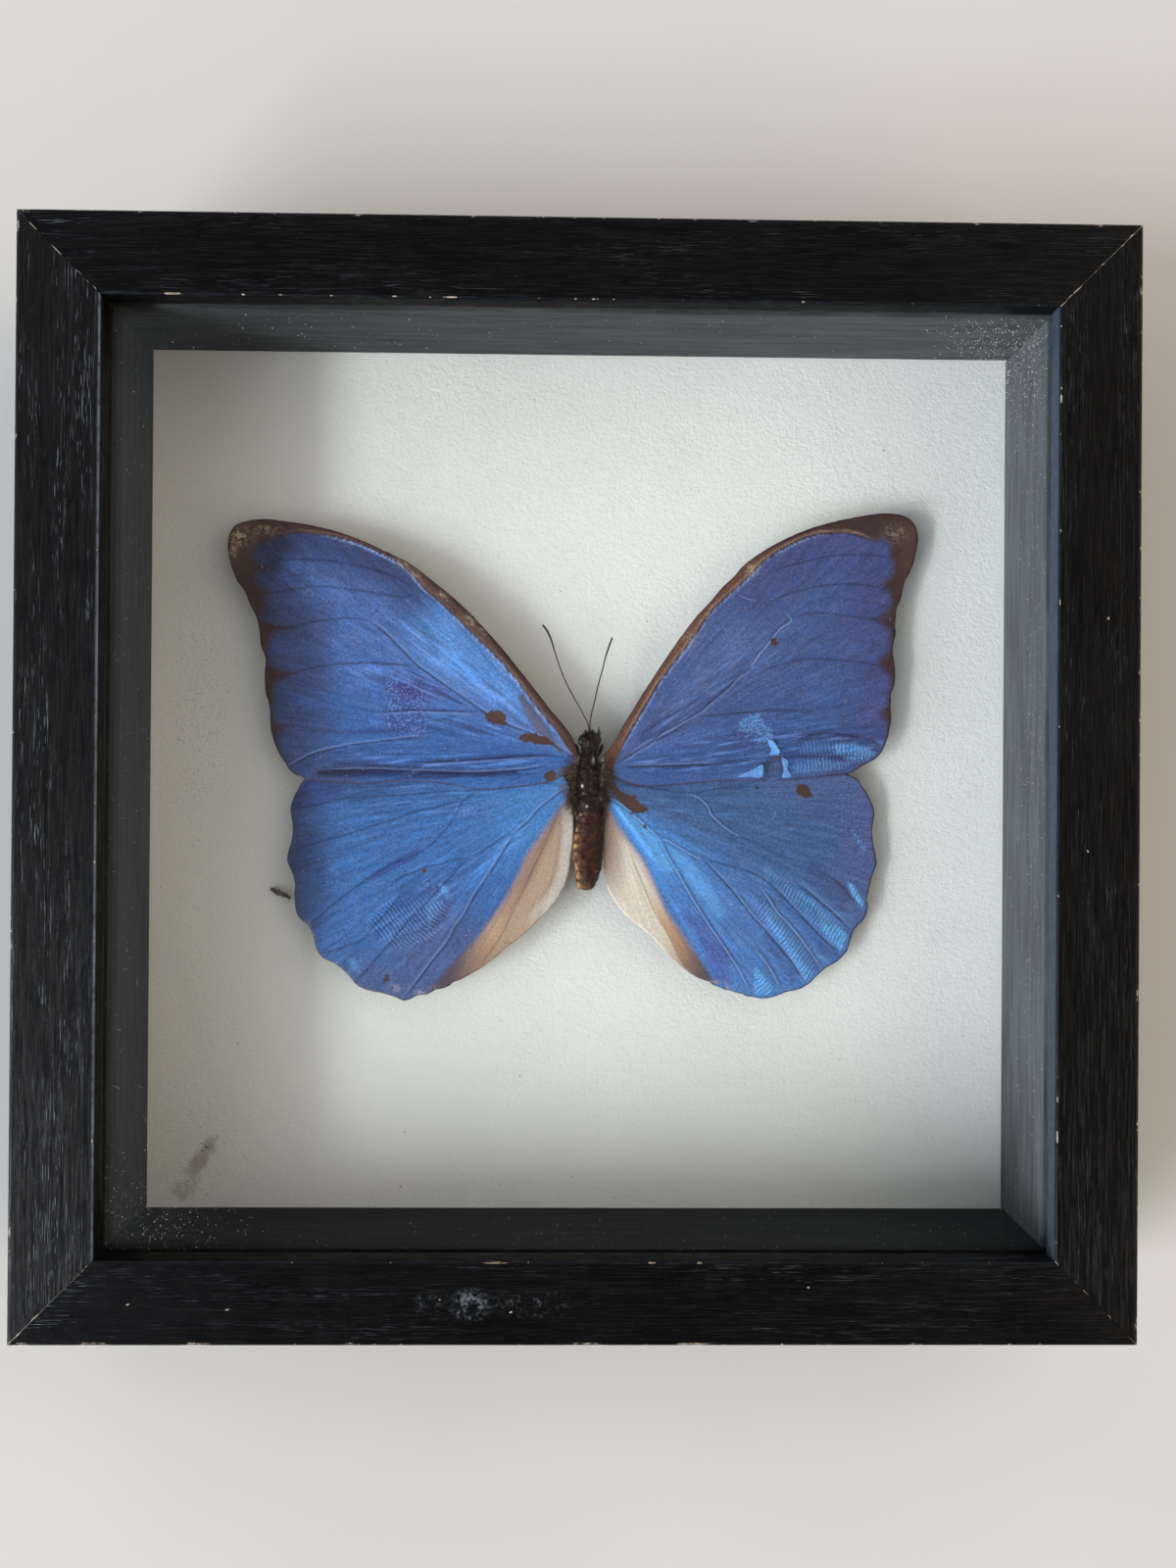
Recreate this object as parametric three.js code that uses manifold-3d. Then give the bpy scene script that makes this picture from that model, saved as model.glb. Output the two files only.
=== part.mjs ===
// Framed butterfly: a square shadow box in black wood with a set Morpho butterfly inside.
// Millimetres, +Z up. The frame lies on its back: +Z goes out through the glass, +Y is the top of the
// frame when it hangs. The origin is the middle of the rear, on the plane that the frame rests on.
import * as THREE from 'three';
import * as BufferGeometryUtils from 'three/addons/utils/BufferGeometryUtils.js';
import Module from 'manifold-3d';

const wasm = await Module();
wasm.setup();

// ---------------------------------------------------------------- driving dimensions
const OUTER = 200;            // outer side of the square frame
const DEPTH = 36;             // front face to rear face
const FACE = 15;              // width of the moulding's front face
const WALL = 10;              // moulding behind the lip, so the rebate is 180 square
const LIP = 4;                // thickness of the lip in front of the glass
const ARRIS_OUT = 0.8;        // round on the outer front edge
const ARRIS_IN = 0.6;         // round on the lip's front edge
const ARRIS_BACK = 0.5;       // round on the outer rear edge
const MITRE_GAP = 0.2;        // each rail stops this short of the mitre plane
const FIT = 0.3;              // clearance of what lies in the rebate
const GLASS_T = 2;
const RECESS = 3.2;           // rear recess behind the back panel
const PANEL_T = 3;
const BOARD_T = 2;
const STACK_GAP = 0.2;        // clearance between stacked sheets
const SPACER_W = 4.7;         // spacer strip, inner face in line with the lip
const TAB = { along: 45, width: 6, reach: 10, thick: 0.6, driven: 3.3, z: 2.4 };
const HANGER = { y: 76, length: 46, width: 10, thick: 0.7, rise: 1.3, rivetX: 19.5 };
const WING_T = 0.3;           // plate that stands for a wing with its veins
const FORE_Z = 16.0;          // wing planes at the body's middle line
const HIND_Z = 15.0;
const DROOP = 0.0429;         // wings sink towards their tips
const BODY_X = 1.95;          // middle line of the body
const BODY_Z = 14.6;
const BODY_CLEAR = 0.35;      // gap between the wing roots and the body

const half = OUTER / 2;
const rebate = half - WALL;
const panelZ = RECESS;
const boardZ = panelZ + PANEL_T + STACK_GAP;
const boardTop = boardZ + BOARD_T;
const glassTop = DEPTH - LIP - STACK_GAP;
const glassZ = glassTop - GLASS_T;

// ---------------------------------------------------------------- finishes
const blackWood = { color: 0x191615, roughness: 0.55, metalness: 0 };
const finish = {
  rail: blackWood,
  glass: { color: 0xe9f1ef, roughness: 0.05, metalness: 0 },
  spacer: { color: 0x3b3b3d, roughness: 0.7, metalness: 0 },
  board: { color: 0xdad9d2, roughness: 0.9, metalness: 0 },
  panel: { color: 0x7b5a3c, roughness: 0.75, metalness: 0 },
  steel: { color: 0x9a9ca0, roughness: 0.4, metalness: 1 },
  brassy: { color: 0xb79a55, roughness: 0.4, metalness: 1 },
  body: { color: 0x2a1a12, roughness: 0.85, metalness: 0 },
  blueLeft: { color: 0x3866b8, roughness: 0.4, metalness: 0.2 },
  blueRight: { color: 0x45599a, roughness: 0.4, metalness: 0.2 },
  antenna: { color: 0x2b1a14, roughness: 0.7, metalness: 0 },
  cork: { color: 0xa97c4f, roughness: 0.95, metalness: 0 },
  crumb: { color: 0x5a4632, roughness: 0.9, metalness: 0 },
};

const model = new THREE.Group();
function add(name, geometry, look) {
  const mesh = new THREE.Mesh(geometry, new THREE.MeshStandardMaterial(look));
  mesh.name = name;
  model.add(mesh);
  return mesh;
}

// ---------------------------------------------------------------- solids
function toSolid(geometry) {
  let g = geometry.clone();
  g.deleteAttribute('normal');
  g.deleteAttribute('uv');
  g = BufferGeometryUtils.mergeVertices(g, 1e-4);
  return new wasm.Manifold(new wasm.Mesh({
    numProp: 3,
    vertProperties: new Float32Array(g.attributes.position.array),
    triVerts: new Uint32Array(g.index.array),
  }));
}
function toGeometry(solid) {
  const m = solid.getMesh();
  const g = new THREE.BufferGeometry();
  g.setAttribute('position', new THREE.BufferAttribute(new Float32Array(m.vertProperties), 3));
  g.setIndex(new THREE.BufferAttribute(new Uint32Array(m.triVerts), 1));
  g.computeVertexNormals();
  return g;
}
function box(w, d, h, x, y, z) {       // x, y: middle; z: underside
  const g = new THREE.BoxGeometry(w, d, h);
  g.translate(x, y, z + h / 2);
  return g;
}
function mapPoints(g, f) {
  const p = g.attributes.position;
  const v = new THREE.Vector3();
  for (let i = 0; i < p.count; i++) {
    v.fromBufferAttribute(p, i);
    f(v);
    p.setXYZ(i, v.x, v.y, v.z);
  }
  g.computeVertexNormals();
  return g;
}

// ---------------------------------------------------------------- frame rails
// Profile in (u, z): u runs from the outer side face inwards, z from the rear face to the front.
function railProfile() {
  const s = new THREE.Shape();
  s.moveTo(ARRIS_BACK, 0);
  s.lineTo(WALL, 0);
  s.lineTo(WALL, DEPTH - LIP);
  s.lineTo(FACE, DEPTH - LIP);
  s.lineTo(FACE, DEPTH - ARRIS_IN);
  s.absarc(FACE - ARRIS_IN, DEPTH - ARRIS_IN, ARRIS_IN, 0, Math.PI / 2, false);
  s.lineTo(ARRIS_OUT, DEPTH);
  s.absarc(ARRIS_OUT, DEPTH - ARRIS_OUT, ARRIS_OUT, Math.PI / 2, Math.PI, false);
  s.lineTo(0, ARRIS_BACK);
  s.absarc(ARRIS_BACK, ARRIS_BACK, ARRIS_BACK, Math.PI, 1.5 * Math.PI, false);
  return s;
}
function rail() {
  const g = new THREE.ExtrudeGeometry(railProfile(), { depth: 1, steps: 1, bevelEnabled: false, curveSegments: 5 });
  mapPoints(g, (v) => {
    const u = v.x;
    const end = half - u - MITRE_GAP;
    v.set(v.z < 0.5 ? -end : end, -half + u, v.y);
  });
  let solid = toSolid(g);
  for (const x of [-TAB.along, TAB.along]) {
    const slot = box(TAB.width + 0.6, TAB.driven + 0.5, TAB.thick + 0.4, x, -rebate - (TAB.driven + 0.5) / 2 + 0.2, TAB.z - 0.2);
    solid = solid.subtract(toSolid(slot));
  }
  return toGeometry(solid);
}
for (const [name, turn] of [['bottom', 0], ['right', 1], ['top', 2], ['left', 3]]) {
  add('frame_rail_' + name, rail(), finish.rail).rotation.z = turn * Math.PI / 2;
}

// ---------------------------------------------------------------- sheets in the rebate
const sheet = 2 * (rebate - FIT);
add('glass_pane', box(sheet, sheet, GLASS_T, 0, 0, glassZ), finish.glass);
add('backing_board', box(sheet, sheet, BOARD_T, 0, 0, boardZ), finish.board);

const rivetHole = (x) => {
  const g = new THREE.CylinderGeometry(1.4, 1.4, 3, 20);
  g.rotateX(Math.PI / 2);
  g.translate(x, HANGER.y, panelZ + 2.4 - 1.5);
  return toSolid(g);
};
let panel = toSolid(box(sheet, sheet, PANEL_T, 0, 0, panelZ));
for (const x of [-HANGER.rivetX, HANGER.rivetX]) panel = panel.subtract(rivetHole(x));
add('back_panel', toGeometry(panel), finish.panel);

// spacer strips hold the glass off the board all round
const spacerZ = boardTop + STACK_GAP;
const spacerH = glassZ - STACK_GAP - spacerZ;
const spacerMid = rebate - FIT - SPACER_W / 2;
const spacerIn = rebate - FIT - SPACER_W;
add('spacer_top', box(sheet, SPACER_W, spacerH, 0, spacerMid, spacerZ), finish.spacer);
add('spacer_bottom', box(sheet, SPACER_W, spacerH, 0, -spacerMid, spacerZ), finish.spacer);
add('spacer_left', box(SPACER_W, 2 * (spacerIn - FIT), spacerH, -spacerMid, 0, spacerZ), finish.spacer);
add('spacer_right', box(SPACER_W, 2 * (spacerIn - FIT), spacerH, spacerMid, 0, spacerZ), finish.spacer);

// ---------------------------------------------------------------- framer's tabs
// A flat steel point, its arrow end driven into the rebate wall.
function tab() {
  const w = TAB.width / 2;
  const s = new THREE.Shape();
  s.moveTo(-w, 0.4);
  s.lineTo(-w + 0.8, -0.6);
  s.lineTo(0, -TAB.driven + 0.4);
  s.lineTo(w - 0.8, -0.6);
  s.lineTo(w, 0.4);
  s.lineTo(w, TAB.reach - 1.5);
  s.absarc(w - 1.5, TAB.reach - 1.5, 1.5, 0, Math.PI / 2, false);
  s.absarc(-w + 1.5, TAB.reach - 1.5, 1.5, Math.PI / 2, Math.PI, false);
  const g = new THREE.ExtrudeGeometry(s, { depth: TAB.thick, bevelEnabled: false, curveSegments: 5 });
  g.translate(0, 0, TAB.z);
  return g;
}
for (const [side, turn] of [['bottom', 0], ['right', 1], ['top', 2], ['left', 3]]) {
  for (const [end, x] of [['a', -TAB.along], ['b', TAB.along]]) {
    const g = tab();
    g.translate(x, -rebate + 0.1, 0);
    add('tab_' + side + '_' + end, g, finish.steel).rotation.z = turn * Math.PI / 2;
  }
}

// ---------------------------------------------------------------- sawtooth hanger
// The middle stands off the panel so that a nail head goes behind its toothed edge.
function hanger() {
  const L = HANGER.length / 2;
  const t = HANGER.thick;
  const hi = RECESS - 0.2;            // side that lies against the panel
  const lo = hi - HANGER.rise;
  const line = [[-L, hi], [-L + 8, hi], [-L + 10.5, lo], [L - 10.5, lo], [L - 8, hi], [L, hi]];
  const s = new THREE.Shape();
  line.forEach(([x, z], i) => (i ? s.lineTo(x, z) : s.moveTo(x, z)));
  [...line].reverse().forEach(([x, z]) => s.lineTo(x, z - t));
  const g = new THREE.ExtrudeGeometry(s, { depth: HANGER.width, bevelEnabled: false });
  g.rotateX(Math.PI / 2);
  g.translate(0, HANGER.y + HANGER.width / 2, 0);
  let solid = toSolid(g);
  const slot = new THREE.Shape();
  const teeth = 9;
  const x0 = -11.7;
  slot.moveTo(x0, -2.6);
  slot.lineTo(-x0, -2.6);
  slot.lineTo(-x0, 1.6);
  for (let i = 0; i < teeth; i++) {
    const pitch = (-2 * x0) / teeth;
    slot.lineTo(-x0 - pitch * (i + 0.5), 2.9);
    slot.lineTo(-x0 - pitch * (i + 1), 1.6);
  }
  const cut = new THREE.ExtrudeGeometry(slot, { depth: 6, bevelEnabled: false });
  cut.translate(0, HANGER.y, -1);
  solid = solid.subtract(toSolid(cut));
  for (const x of [-HANGER.rivetX, HANGER.rivetX]) {
    const h = new THREE.CylinderGeometry(1.4, 1.4, 8, 20);
    h.rotateX(Math.PI / 2);
    h.translate(x, HANGER.y, 2);
    solid = solid.subtract(toSolid(h));
  }
  return toGeometry(solid);
}
add('hanger_plate', hanger(), finish.brassy);
for (const [name, x] of [['left', -HANGER.rivetX], ['right', HANGER.rivetX]]) {
  // head under the plate, shank up through it into the panel
  const top = panelZ + 2.1;
  const seat = RECESS - 0.2 - HANGER.thick - 0.2;
  const pts = [[0, seat - 0.9], [0.9, seat - 0.82], [1.7, seat - 0.5], [2.1, seat], [1.1, seat], [1.1, top], [0, top]];
  const g = new THREE.LatheGeometry(pts.map(([r, z]) => new THREE.Vector2(r, z)), 20);
  g.rotateX(Math.PI / 2);
  g.translate(x, HANGER.y, 0);
  add('hanger_rivet_' + name, g, finish.brassy);
}

// ---------------------------------------------------------------- butterfly
// Half widths of head, neck, thorax and abdomen along the body's middle line, tail first.
const bodyLine = [
  [-21.3, 0], [-21.1, 0.7], [-20.6, 1.3], [-19.6, 1.9], [-18.2, 2.45], [-16.4, 2.85], [-14.2, 3.1], [-12.0, 3.15],
  [-10.0, 3.0], [-8.4, 2.75], [-7.4, 2.55], [-6.6, 2.6], [-5.4, 2.75], [-3.6, 2.9], [-1.4, 3.0], [0.8, 2.95],
  [2.8, 2.75], [4.4, 2.4], [5.6, 1.95], [6.5, 1.7], [7.3, 1.85], [8.2, 2.15], [9.2, 2.1], [10.1, 1.6],
  [10.7, 0.9], [10.9, 0],
];
function bodySolid(grow) {
  const pts = bodyLine.map(([y, r], i) => new THREE.Vector2(r > 0 ? r + grow : 0, y + (i === 0 ? -grow : i === bodyLine.length - 1 ? grow : 0)));
  const g = new THREE.LatheGeometry(pts, 24);
  g.scale(1, 1, 0.95);
  g.translate(BODY_X, 0, BODY_Z);
  let solid = toSolid(g);
  for (const side of [-1, 1]) {
    const eye = new THREE.SphereGeometry(1.2 + grow, 14, 10);
    eye.translate(BODY_X + side * 1.35, 8.75, BODY_Z + 0.35);
    solid = solid.add(toSolid(eye));
  }
  return solid;
}
add('body', toGeometry(bodySolid(0)), finish.body);
const bodyRoom = bodySolid(BODY_CLEAR);

// Wing outlines in plan, from the costa round the outer margin to the root.
const FOREWING_LEFT = [
  [-1.01, 7.56], [-3.24, 10.98], [-5.05, 13.49], [-5.64, 14.20], [-6.67, 15.09], [-8.60, 17.45],
  [-10.83, 20.40], [-11.45, 21.76], [-15.44, 26.80], [-16.81, 28.40], [-18.94, 30.51], [-21.97, 33.15],
  [-28.17, 38.25], [-32.49, 41.56], [-33.46, 42.16], [-35.66, 43.26], [-43.08, 46.68], [-46.70, 48.00],
  [-48.47, 48.51], [-52.78, 49.54], [-58.42, 50.36], [-61.59, 50.75], [-64.06, 50.55], [-65.72, 50.22],
  [-67.40, 49.58], [-67.80, 49.24], [-68.35, 48.45], [-68.74, 47.57], [-69.08, 45.59], [-68.96, 44.67],
  [-67.31, 39.18], [-66.78, 38.20], [-66.08, 37.34], [-65.50, 36.42], [-64.40, 33.82], [-63.26, 31.58],
  [-62.88, 30.45], [-62.50, 28.08], [-62.38, 26.47], [-61.30, 22.98], [-61.44, 21.41], [-61.39, 17.61],
  [-60.46, 13.66], [-60.17, 9.55], [-59.73, 7.86], [-58.40, 4.63], [-57.23, 3.03], [-56.36, 1.58],
  [-55.27, 0.76], [-54.32, 0.48], [-53.68, 0.17], [-50.89, -0.48], [-46.64, -0.78], [-43.99, -0.87],
  [-36.62, -0.53], [-29.18, -0.47], [-27.63, -0.60], [-24.93, -1.04], [-19.36, -1.83], [-18.44, -1.87],
  [-16.98, -1.82], [-13.33, -1.46], [-7.16, -0.62], [-6.35, -0.45], [-4.94, 0.06], [-3.54, 0.78],
  [-2.23, 1.67], [-0.97, 2.81], [-0.51, 4.14], [-0.42, 5.85]
];
const FOREWING_RIGHT = [
  [4.72, 4.94], [5.63, 6.00], [6.12, 6.74], [9.15, 12.12], [15.88, 23.64], [19.17, 28.52], [21.59, 31.46],
  [25.81, 35.75], [27.44, 37.74], [30.25, 40.49], [31.35, 41.38], [32.44, 42.82], [32.88, 43.25],
  [33.89, 43.99], [35.21, 44.47], [36.45, 45.60], [39.08, 47.16], [40.38, 47.83], [44.29, 49.55],
  [49.65, 51.27], [55.42, 52.63], [58.18, 53.12], [61.97, 53.22], [63.53, 52.99], [64.12, 52.80],
  [64.75, 52.50], [65.45, 51.94], [66.03, 51.20], [66.40, 50.42], [66.63, 49.54], [66.79, 48.30],
  [66.57, 46.82], [65.50, 42.64], [65.01, 41.49], [64.39, 40.44], [63.84, 39.02], [63.40, 36.62],
  [62.66, 34.82], [62.43, 33.93], [62.38, 32.40], [62.20, 31.18], [62.38, 29.65], [61.92, 27.77],
  [61.78, 26.51], [62.26, 22.54], [62.28, 20.60], [62.02, 19.04], [61.55, 17.90], [61.40, 17.18],
  [61.45, 16.20], [61.37, 15.24], [61.54, 13.10], [61.34, 10.99], [60.33, 7.57], [59.08, 5.39],
  [58.57, 4.96], [54.60, 2.64], [53.90, 2.11], [52.61, 1.76], [49.41, 1.39], [42.83, 0.65], [40.09, 0.40],
  [36.71, 0.26], [27.70, 0.09], [23.68, -0.21], [16.81, -0.85], [13.89, -1.00], [12.62, -0.95],
  [11.43, -0.82], [10.54, -0.64], [9.60, -0.36], [8.72, -0.03], [7.89, 0.38], [6.26, 1.53], [5.11, 2.67],
  [4.53, 3.80]
];
const HINDWING_LEFT = [
  [-54.03, -0.31], [-56.19, -4.63], [-56.41, -5.36], [-56.44, -6.27], [-56.17, -7.91], [-56.08, -11.11],
  [-56.30, -12.36], [-56.79, -14.04], [-57.02, -15.49], [-56.92, -16.31], [-56.07, -18.29], [-55.63, -19.75],
  [-55.49, -20.98], [-55.55, -22.30], [-55.45, -24.42], [-55.03, -26.44], [-54.48, -27.23], [-53.03, -28.49],
  [-52.26, -29.58], [-51.72, -30.92], [-51.23, -32.93], [-50.66, -34.04], [-50.08, -34.73], [-47.55, -35.99],
  [-46.24, -36.89], [-44.59, -38.45], [-43.30, -39.99], [-42.85, -40.31], [-41.93, -40.75], [-35.82, -42.35],
  [-34.71, -42.99], [-34.13, -43.07], [-33.28, -42.98], [-32.14, -42.70], [-28.69, -41.64], [-27.25, -41.11],
  [-22.48, -38.66], [-19.61, -37.01], [-16.44, -34.79], [-13.90, -32.56], [-10.72, -30.04], [-7.90, -27.35],
  [-4.99, -24.12], [-3.72, -22.36], [-2.86, -20.76], [-2.15, -18.75], [-1.69, -16.64], [-1.19, -12.56],
  [-1.02, -9.70], [-1.08, -7.23], [-1.47, -3.75], [-1.51, -1.75], [-2.48, 0.53], [-3.90, 1.81],
  [-4.47, 2.22], [-5.26, 2.68], [-6.35, 3.19], [-7.86, 3.79], [-10.50, 4.59], [-13.57, 5.22], [-17.04, 5.72],
  [-22.27, 6.21], [-26.70, 6.47], [-31.00, 6.54], [-34.69, 6.44], [-38.81, 6.10], [-42.74, 5.56],
  [-45.68, 4.97], [-48.19, 4.23], [-49.50, 3.62], [-51.61, 2.30]
];
const HINDWING_RIGHT = [
  [53.12, 1.64], [54.31, 1.22], [54.87, 0.87], [55.28, 0.46], [55.86, -0.46], [56.68, -1.45], [57.38, -2.73],
  [58.46, -5.56], [58.36, -7.35], [58.10, -9.11], [58.09, -10.00], [58.36, -12.12], [58.84, -14.24],
  [59.01, -15.94], [58.91, -16.47], [58.20, -18.24], [57.66, -20.29], [57.38, -21.82], [57.32, -24.58],
  [56.77, -26.57], [56.41, -27.10], [55.05, -28.50], [53.93, -30.76], [53.41, -32.53], [53.13, -33.14],
  [51.90, -34.62], [48.40, -36.86], [46.74, -38.35], [45.70, -39.46], [45.02, -39.92], [43.22, -40.74],
  [41.18, -41.09], [38.48, -42.08], [37.01, -42.35], [35.60, -42.35], [34.41, -42.04], [33.19, -41.96],
  [32.09, -41.45], [30.79, -41.13], [29.75, -40.73], [28.75, -40.65], [28.15, -40.50], [25.89, -39.60],
  [22.41, -37.70], [20.69, -36.53], [19.29, -35.38], [12.77, -28.90], [10.08, -26.86], [8.02, -24.61],
  [6.93, -23.13], [6.00, -21.57], [5.42, -20.15], [5.06, -18.66], [4.92, -17.20], [4.89, -15.07],
  [5.03, -6.37], [4.80, -3.24], [4.98, -1.14], [5.56, -0.26], [6.02, 0.30], [6.70, 0.93], [7.62, 1.65],
  [8.44, 2.20], [9.32, 2.70], [10.58, 3.28], [11.95, 3.81], [14.40, 4.54], [17.01, 5.08], [21.45, 5.77],
  [25.77, 6.28], [30.15, 6.62], [34.55, 6.77], [39.27, 6.74], [42.60, 6.53], [44.21, 6.29], [45.56, 6.01],
  [48.19, 5.24], [49.48, 4.67], [51.38, 3.44]
];
// a patch torn out of the right forewing
const TEAR = [[39.6, 0.9], [39.4, 4.2], [37.8, 4.9], [36.4, 4.1], [35.5, 3.8], [35.5, 0.9]];

function wing(outline, z, side, tear) {
  const s = new THREE.Shape(outline.map(([x, y]) => new THREE.Vector2(x, y)));
  if (tear) s.holes.push(new THREE.Path(tear.map(([x, y]) => new THREE.Vector2(x, y))));
  const g = new THREE.ExtrudeGeometry(s, { depth: WING_T, bevelEnabled: false });
  mapPoints(g, (v) => { v.z += z - WING_T / 2 - DROOP * side * v.x; });
  return toGeometry(toSolid(g).subtract(bodyRoom));
}
add('forewing_left', wing(FOREWING_LEFT, FORE_Z, -1), finish.blueLeft);
add('forewing_right', wing(FOREWING_RIGHT, FORE_Z, 1, TEAR), finish.blueRight);
add('hindwing_left', wing(HINDWING_LEFT, HIND_Z, -1), finish.blueLeft);
add('hindwing_right', wing(HINDWING_RIGHT, HIND_Z, 1), finish.blueRight);

// Antennae: thin stems that thicken slightly at the tip.
function antenna(points) {
  const path = new THREE.CatmullRomCurve3(points.map((p) => new THREE.Vector3(...p)));
  const ring = new THREE.Shape();
  ring.absarc(0, 0, 0.19, 0, 2 * Math.PI, false);
  return new THREE.ExtrudeGeometry(ring, { steps: 26, curveSegments: 4, bevelEnabled: false, extrudePath: path });
}
add('antenna_left', antenna([[1.35, 12.1, 15.6], [0.4, 14.3, 15.7], [-0.75, 16.2, 15.6], [-2.15, 18.3, 15.4], [-3.3, 20.9, 15.1],
  [-4.45, 23.8, 14.7], [-5.5, 26.7, 14.3], [-6.7, 29.3, 13.9], [-7.4, 30.4, 13.8]]), finish.antenna);
add('antenna_right', antenna([[2.05, 12.4, 15.7], [2.75, 15.4, 15.8], [3.5, 18.4, 15.6], [4.25, 21.7, 15.2], [5.0, 24.3, 14.8],
  [5.7, 26.1, 14.5], [6.25, 28.0, 14.2]]), finish.antenna);

// ---------------------------------------------------------------- pad and crumb
const pad = new THREE.CylinderGeometry(2.1, 2.3, 2.5, 24);
pad.rotateX(Math.PI / 2);
pad.translate(BODY_X, -1.0, boardTop + 0.2 + 1.25);
add('mount_pad', pad, finish.cork);

const crumb = new THREE.SphereGeometry(1, 12, 8);
crumb.scale(2.55, 0.72, 0.62);
crumb.rotateZ(-0.52);
crumb.translate(-58.9, -22.7, boardTop + 0.2 + 0.66);
add('loose_fragment', crumb, finish.crumb);

export default model;
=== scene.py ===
# Looks of the framed butterfly. Lengths below are millimetres unless a name says otherwise; meshes are written in metres.
import math

import bpy
import numpy as np
from mathutils import Matrix, Vector, geometry


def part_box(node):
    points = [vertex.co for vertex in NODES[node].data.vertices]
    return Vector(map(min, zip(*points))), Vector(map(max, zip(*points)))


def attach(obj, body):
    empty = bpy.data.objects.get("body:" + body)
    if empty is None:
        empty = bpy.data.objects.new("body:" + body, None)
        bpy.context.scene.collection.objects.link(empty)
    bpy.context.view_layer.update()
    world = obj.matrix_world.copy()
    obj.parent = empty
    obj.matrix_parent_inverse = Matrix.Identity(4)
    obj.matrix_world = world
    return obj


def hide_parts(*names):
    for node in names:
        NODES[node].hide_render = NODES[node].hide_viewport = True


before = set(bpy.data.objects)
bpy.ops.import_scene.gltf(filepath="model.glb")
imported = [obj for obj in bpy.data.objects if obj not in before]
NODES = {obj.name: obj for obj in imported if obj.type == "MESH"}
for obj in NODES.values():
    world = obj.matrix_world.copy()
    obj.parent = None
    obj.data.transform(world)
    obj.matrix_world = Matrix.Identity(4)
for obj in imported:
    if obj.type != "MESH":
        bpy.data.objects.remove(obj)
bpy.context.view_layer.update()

# ------------------------------------------------------------------ levels, taken from the frame itself
def lo(node): return np.array(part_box(node)[0]) * 1000.0
def hi(node): return np.array(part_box(node)[1]) * 1000.0
OUT = 100.0
DEPTH = float(hi("frame_rail_top")[2])
BOARD_Z = float(hi("backing_board")[2])
BOARD_LOW = float(lo("backing_board")[2])
GLASS_TOP = float(hi("glass_pane")[2])
FACE, WALL, LIP = 15.0, 10.0, 4.0
FORE_Z, HIND_Z, DROOP = 16.0, 15.0, 0.0429
BODY_X, BODY_Z = 1.95, 14.6

# ------------------------------------------------------------------ numbers
def _hash(ix, iy, seed):
    h = (ix * 374761393 + iy * 668265263 + seed * 144269504) & 0xFFFFFFFF
    h = ((h ^ (h >> 13)) * 1274126177) & 0xFFFFFFFF
    h = h ^ (h >> 16)
    return (h & 0xFFFFFF) / float(0xFFFFFF)

def noise2(x, y, seed=0):
    """Smooth value noise, 0 to 1, one cell per unit."""
    x = np.asarray(x, float); y = np.asarray(y, float)
    ix = np.floor(x).astype(np.int64); iy = np.floor(y).astype(np.int64)
    fx = x - ix; fy = y - iy
    ux = fx * fx * (3 - 2 * fx); uy = fy * fy * (3 - 2 * fy)
    a = _hash(ix, iy, seed); b = _hash(ix + 1, iy, seed)
    c = _hash(ix, iy + 1, seed); d = _hash(ix + 1, iy + 1, seed)
    return (a * (1 - ux) + b * ux) * (1 - uy) + (c * (1 - ux) + d * ux) * uy

def fbm(x, y, seed=0, octaves=4):
    """Sum of octaves, about -1 to 1."""
    t = np.zeros(np.broadcast(x, y).shape); a = 1.0; n = 0.0
    for k in range(octaves):
        t = t + a * (2 * noise2(x * 2 ** k + 17.3 * k, y * 2 ** k - 9.1 * k, seed + 101 * k) - 1)
        n += a; a *= 0.5
    return t / n

def step(e0, e1, x):
    t = np.clip((np.asarray(x, float) - e0) / (e1 - e0), 0, 1)
    return t * t * (3 - 2 * t)

def lin(r, g, b):
    """8-bit display colour to linear."""
    c = np.array([r, g, b], float) / 255.0
    return np.where(c <= 0.04045, c / 12.92, ((c + 0.055) / 1.055) ** 2.4)

def catmull(P, spacing, closed=False):
    P = np.asarray(P, float); n = len(P); out = []
    m = n if closed else n - 1
    for i in range(m):
        if closed:
            p0, p1, p2, p3 = P[(i - 1) % n], P[i], P[(i + 1) % n], P[(i + 2) % n]
        else:
            p0, p1, p2, p3 = P[max(i - 1, 0)], P[i], P[i + 1], P[min(i + 2, n - 1)]
        # chordal ends keep short and long spans from overshooting
        k = max(1, int(math.ceil(np.linalg.norm(p2 - p1) / spacing)))
        d1 = np.linalg.norm(p1 - p0) + 1e-9; d2 = np.linalg.norm(p2 - p1) + 1e-9; d3 = np.linalg.norm(p3 - p2) + 1e-9
        m1 = ((p2 - p1) / d2 * d1 + (p1 - p0) / d1 * d2) / (d1 + d2) * d2 if (i > 0 or closed) else (p2 - p1)
        m2 = ((p3 - p2) / d3 * d2 + (p2 - p1) / d2 * d3) / (d2 + d3) * d2 if (i < n - 2 or closed) else (p2 - p1)
        for j in range(k):
            t = j / k
            out.append((2 * t ** 3 - 3 * t ** 2 + 1) * p1 + (t ** 3 - 2 * t ** 2 + t) * m1 + (-2 * t ** 3 + 3 * t ** 2) * p2 + (t ** 3 - t ** 2) * m2)
    if not closed: out.append(P[-1])
    return np.array(out)

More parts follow.
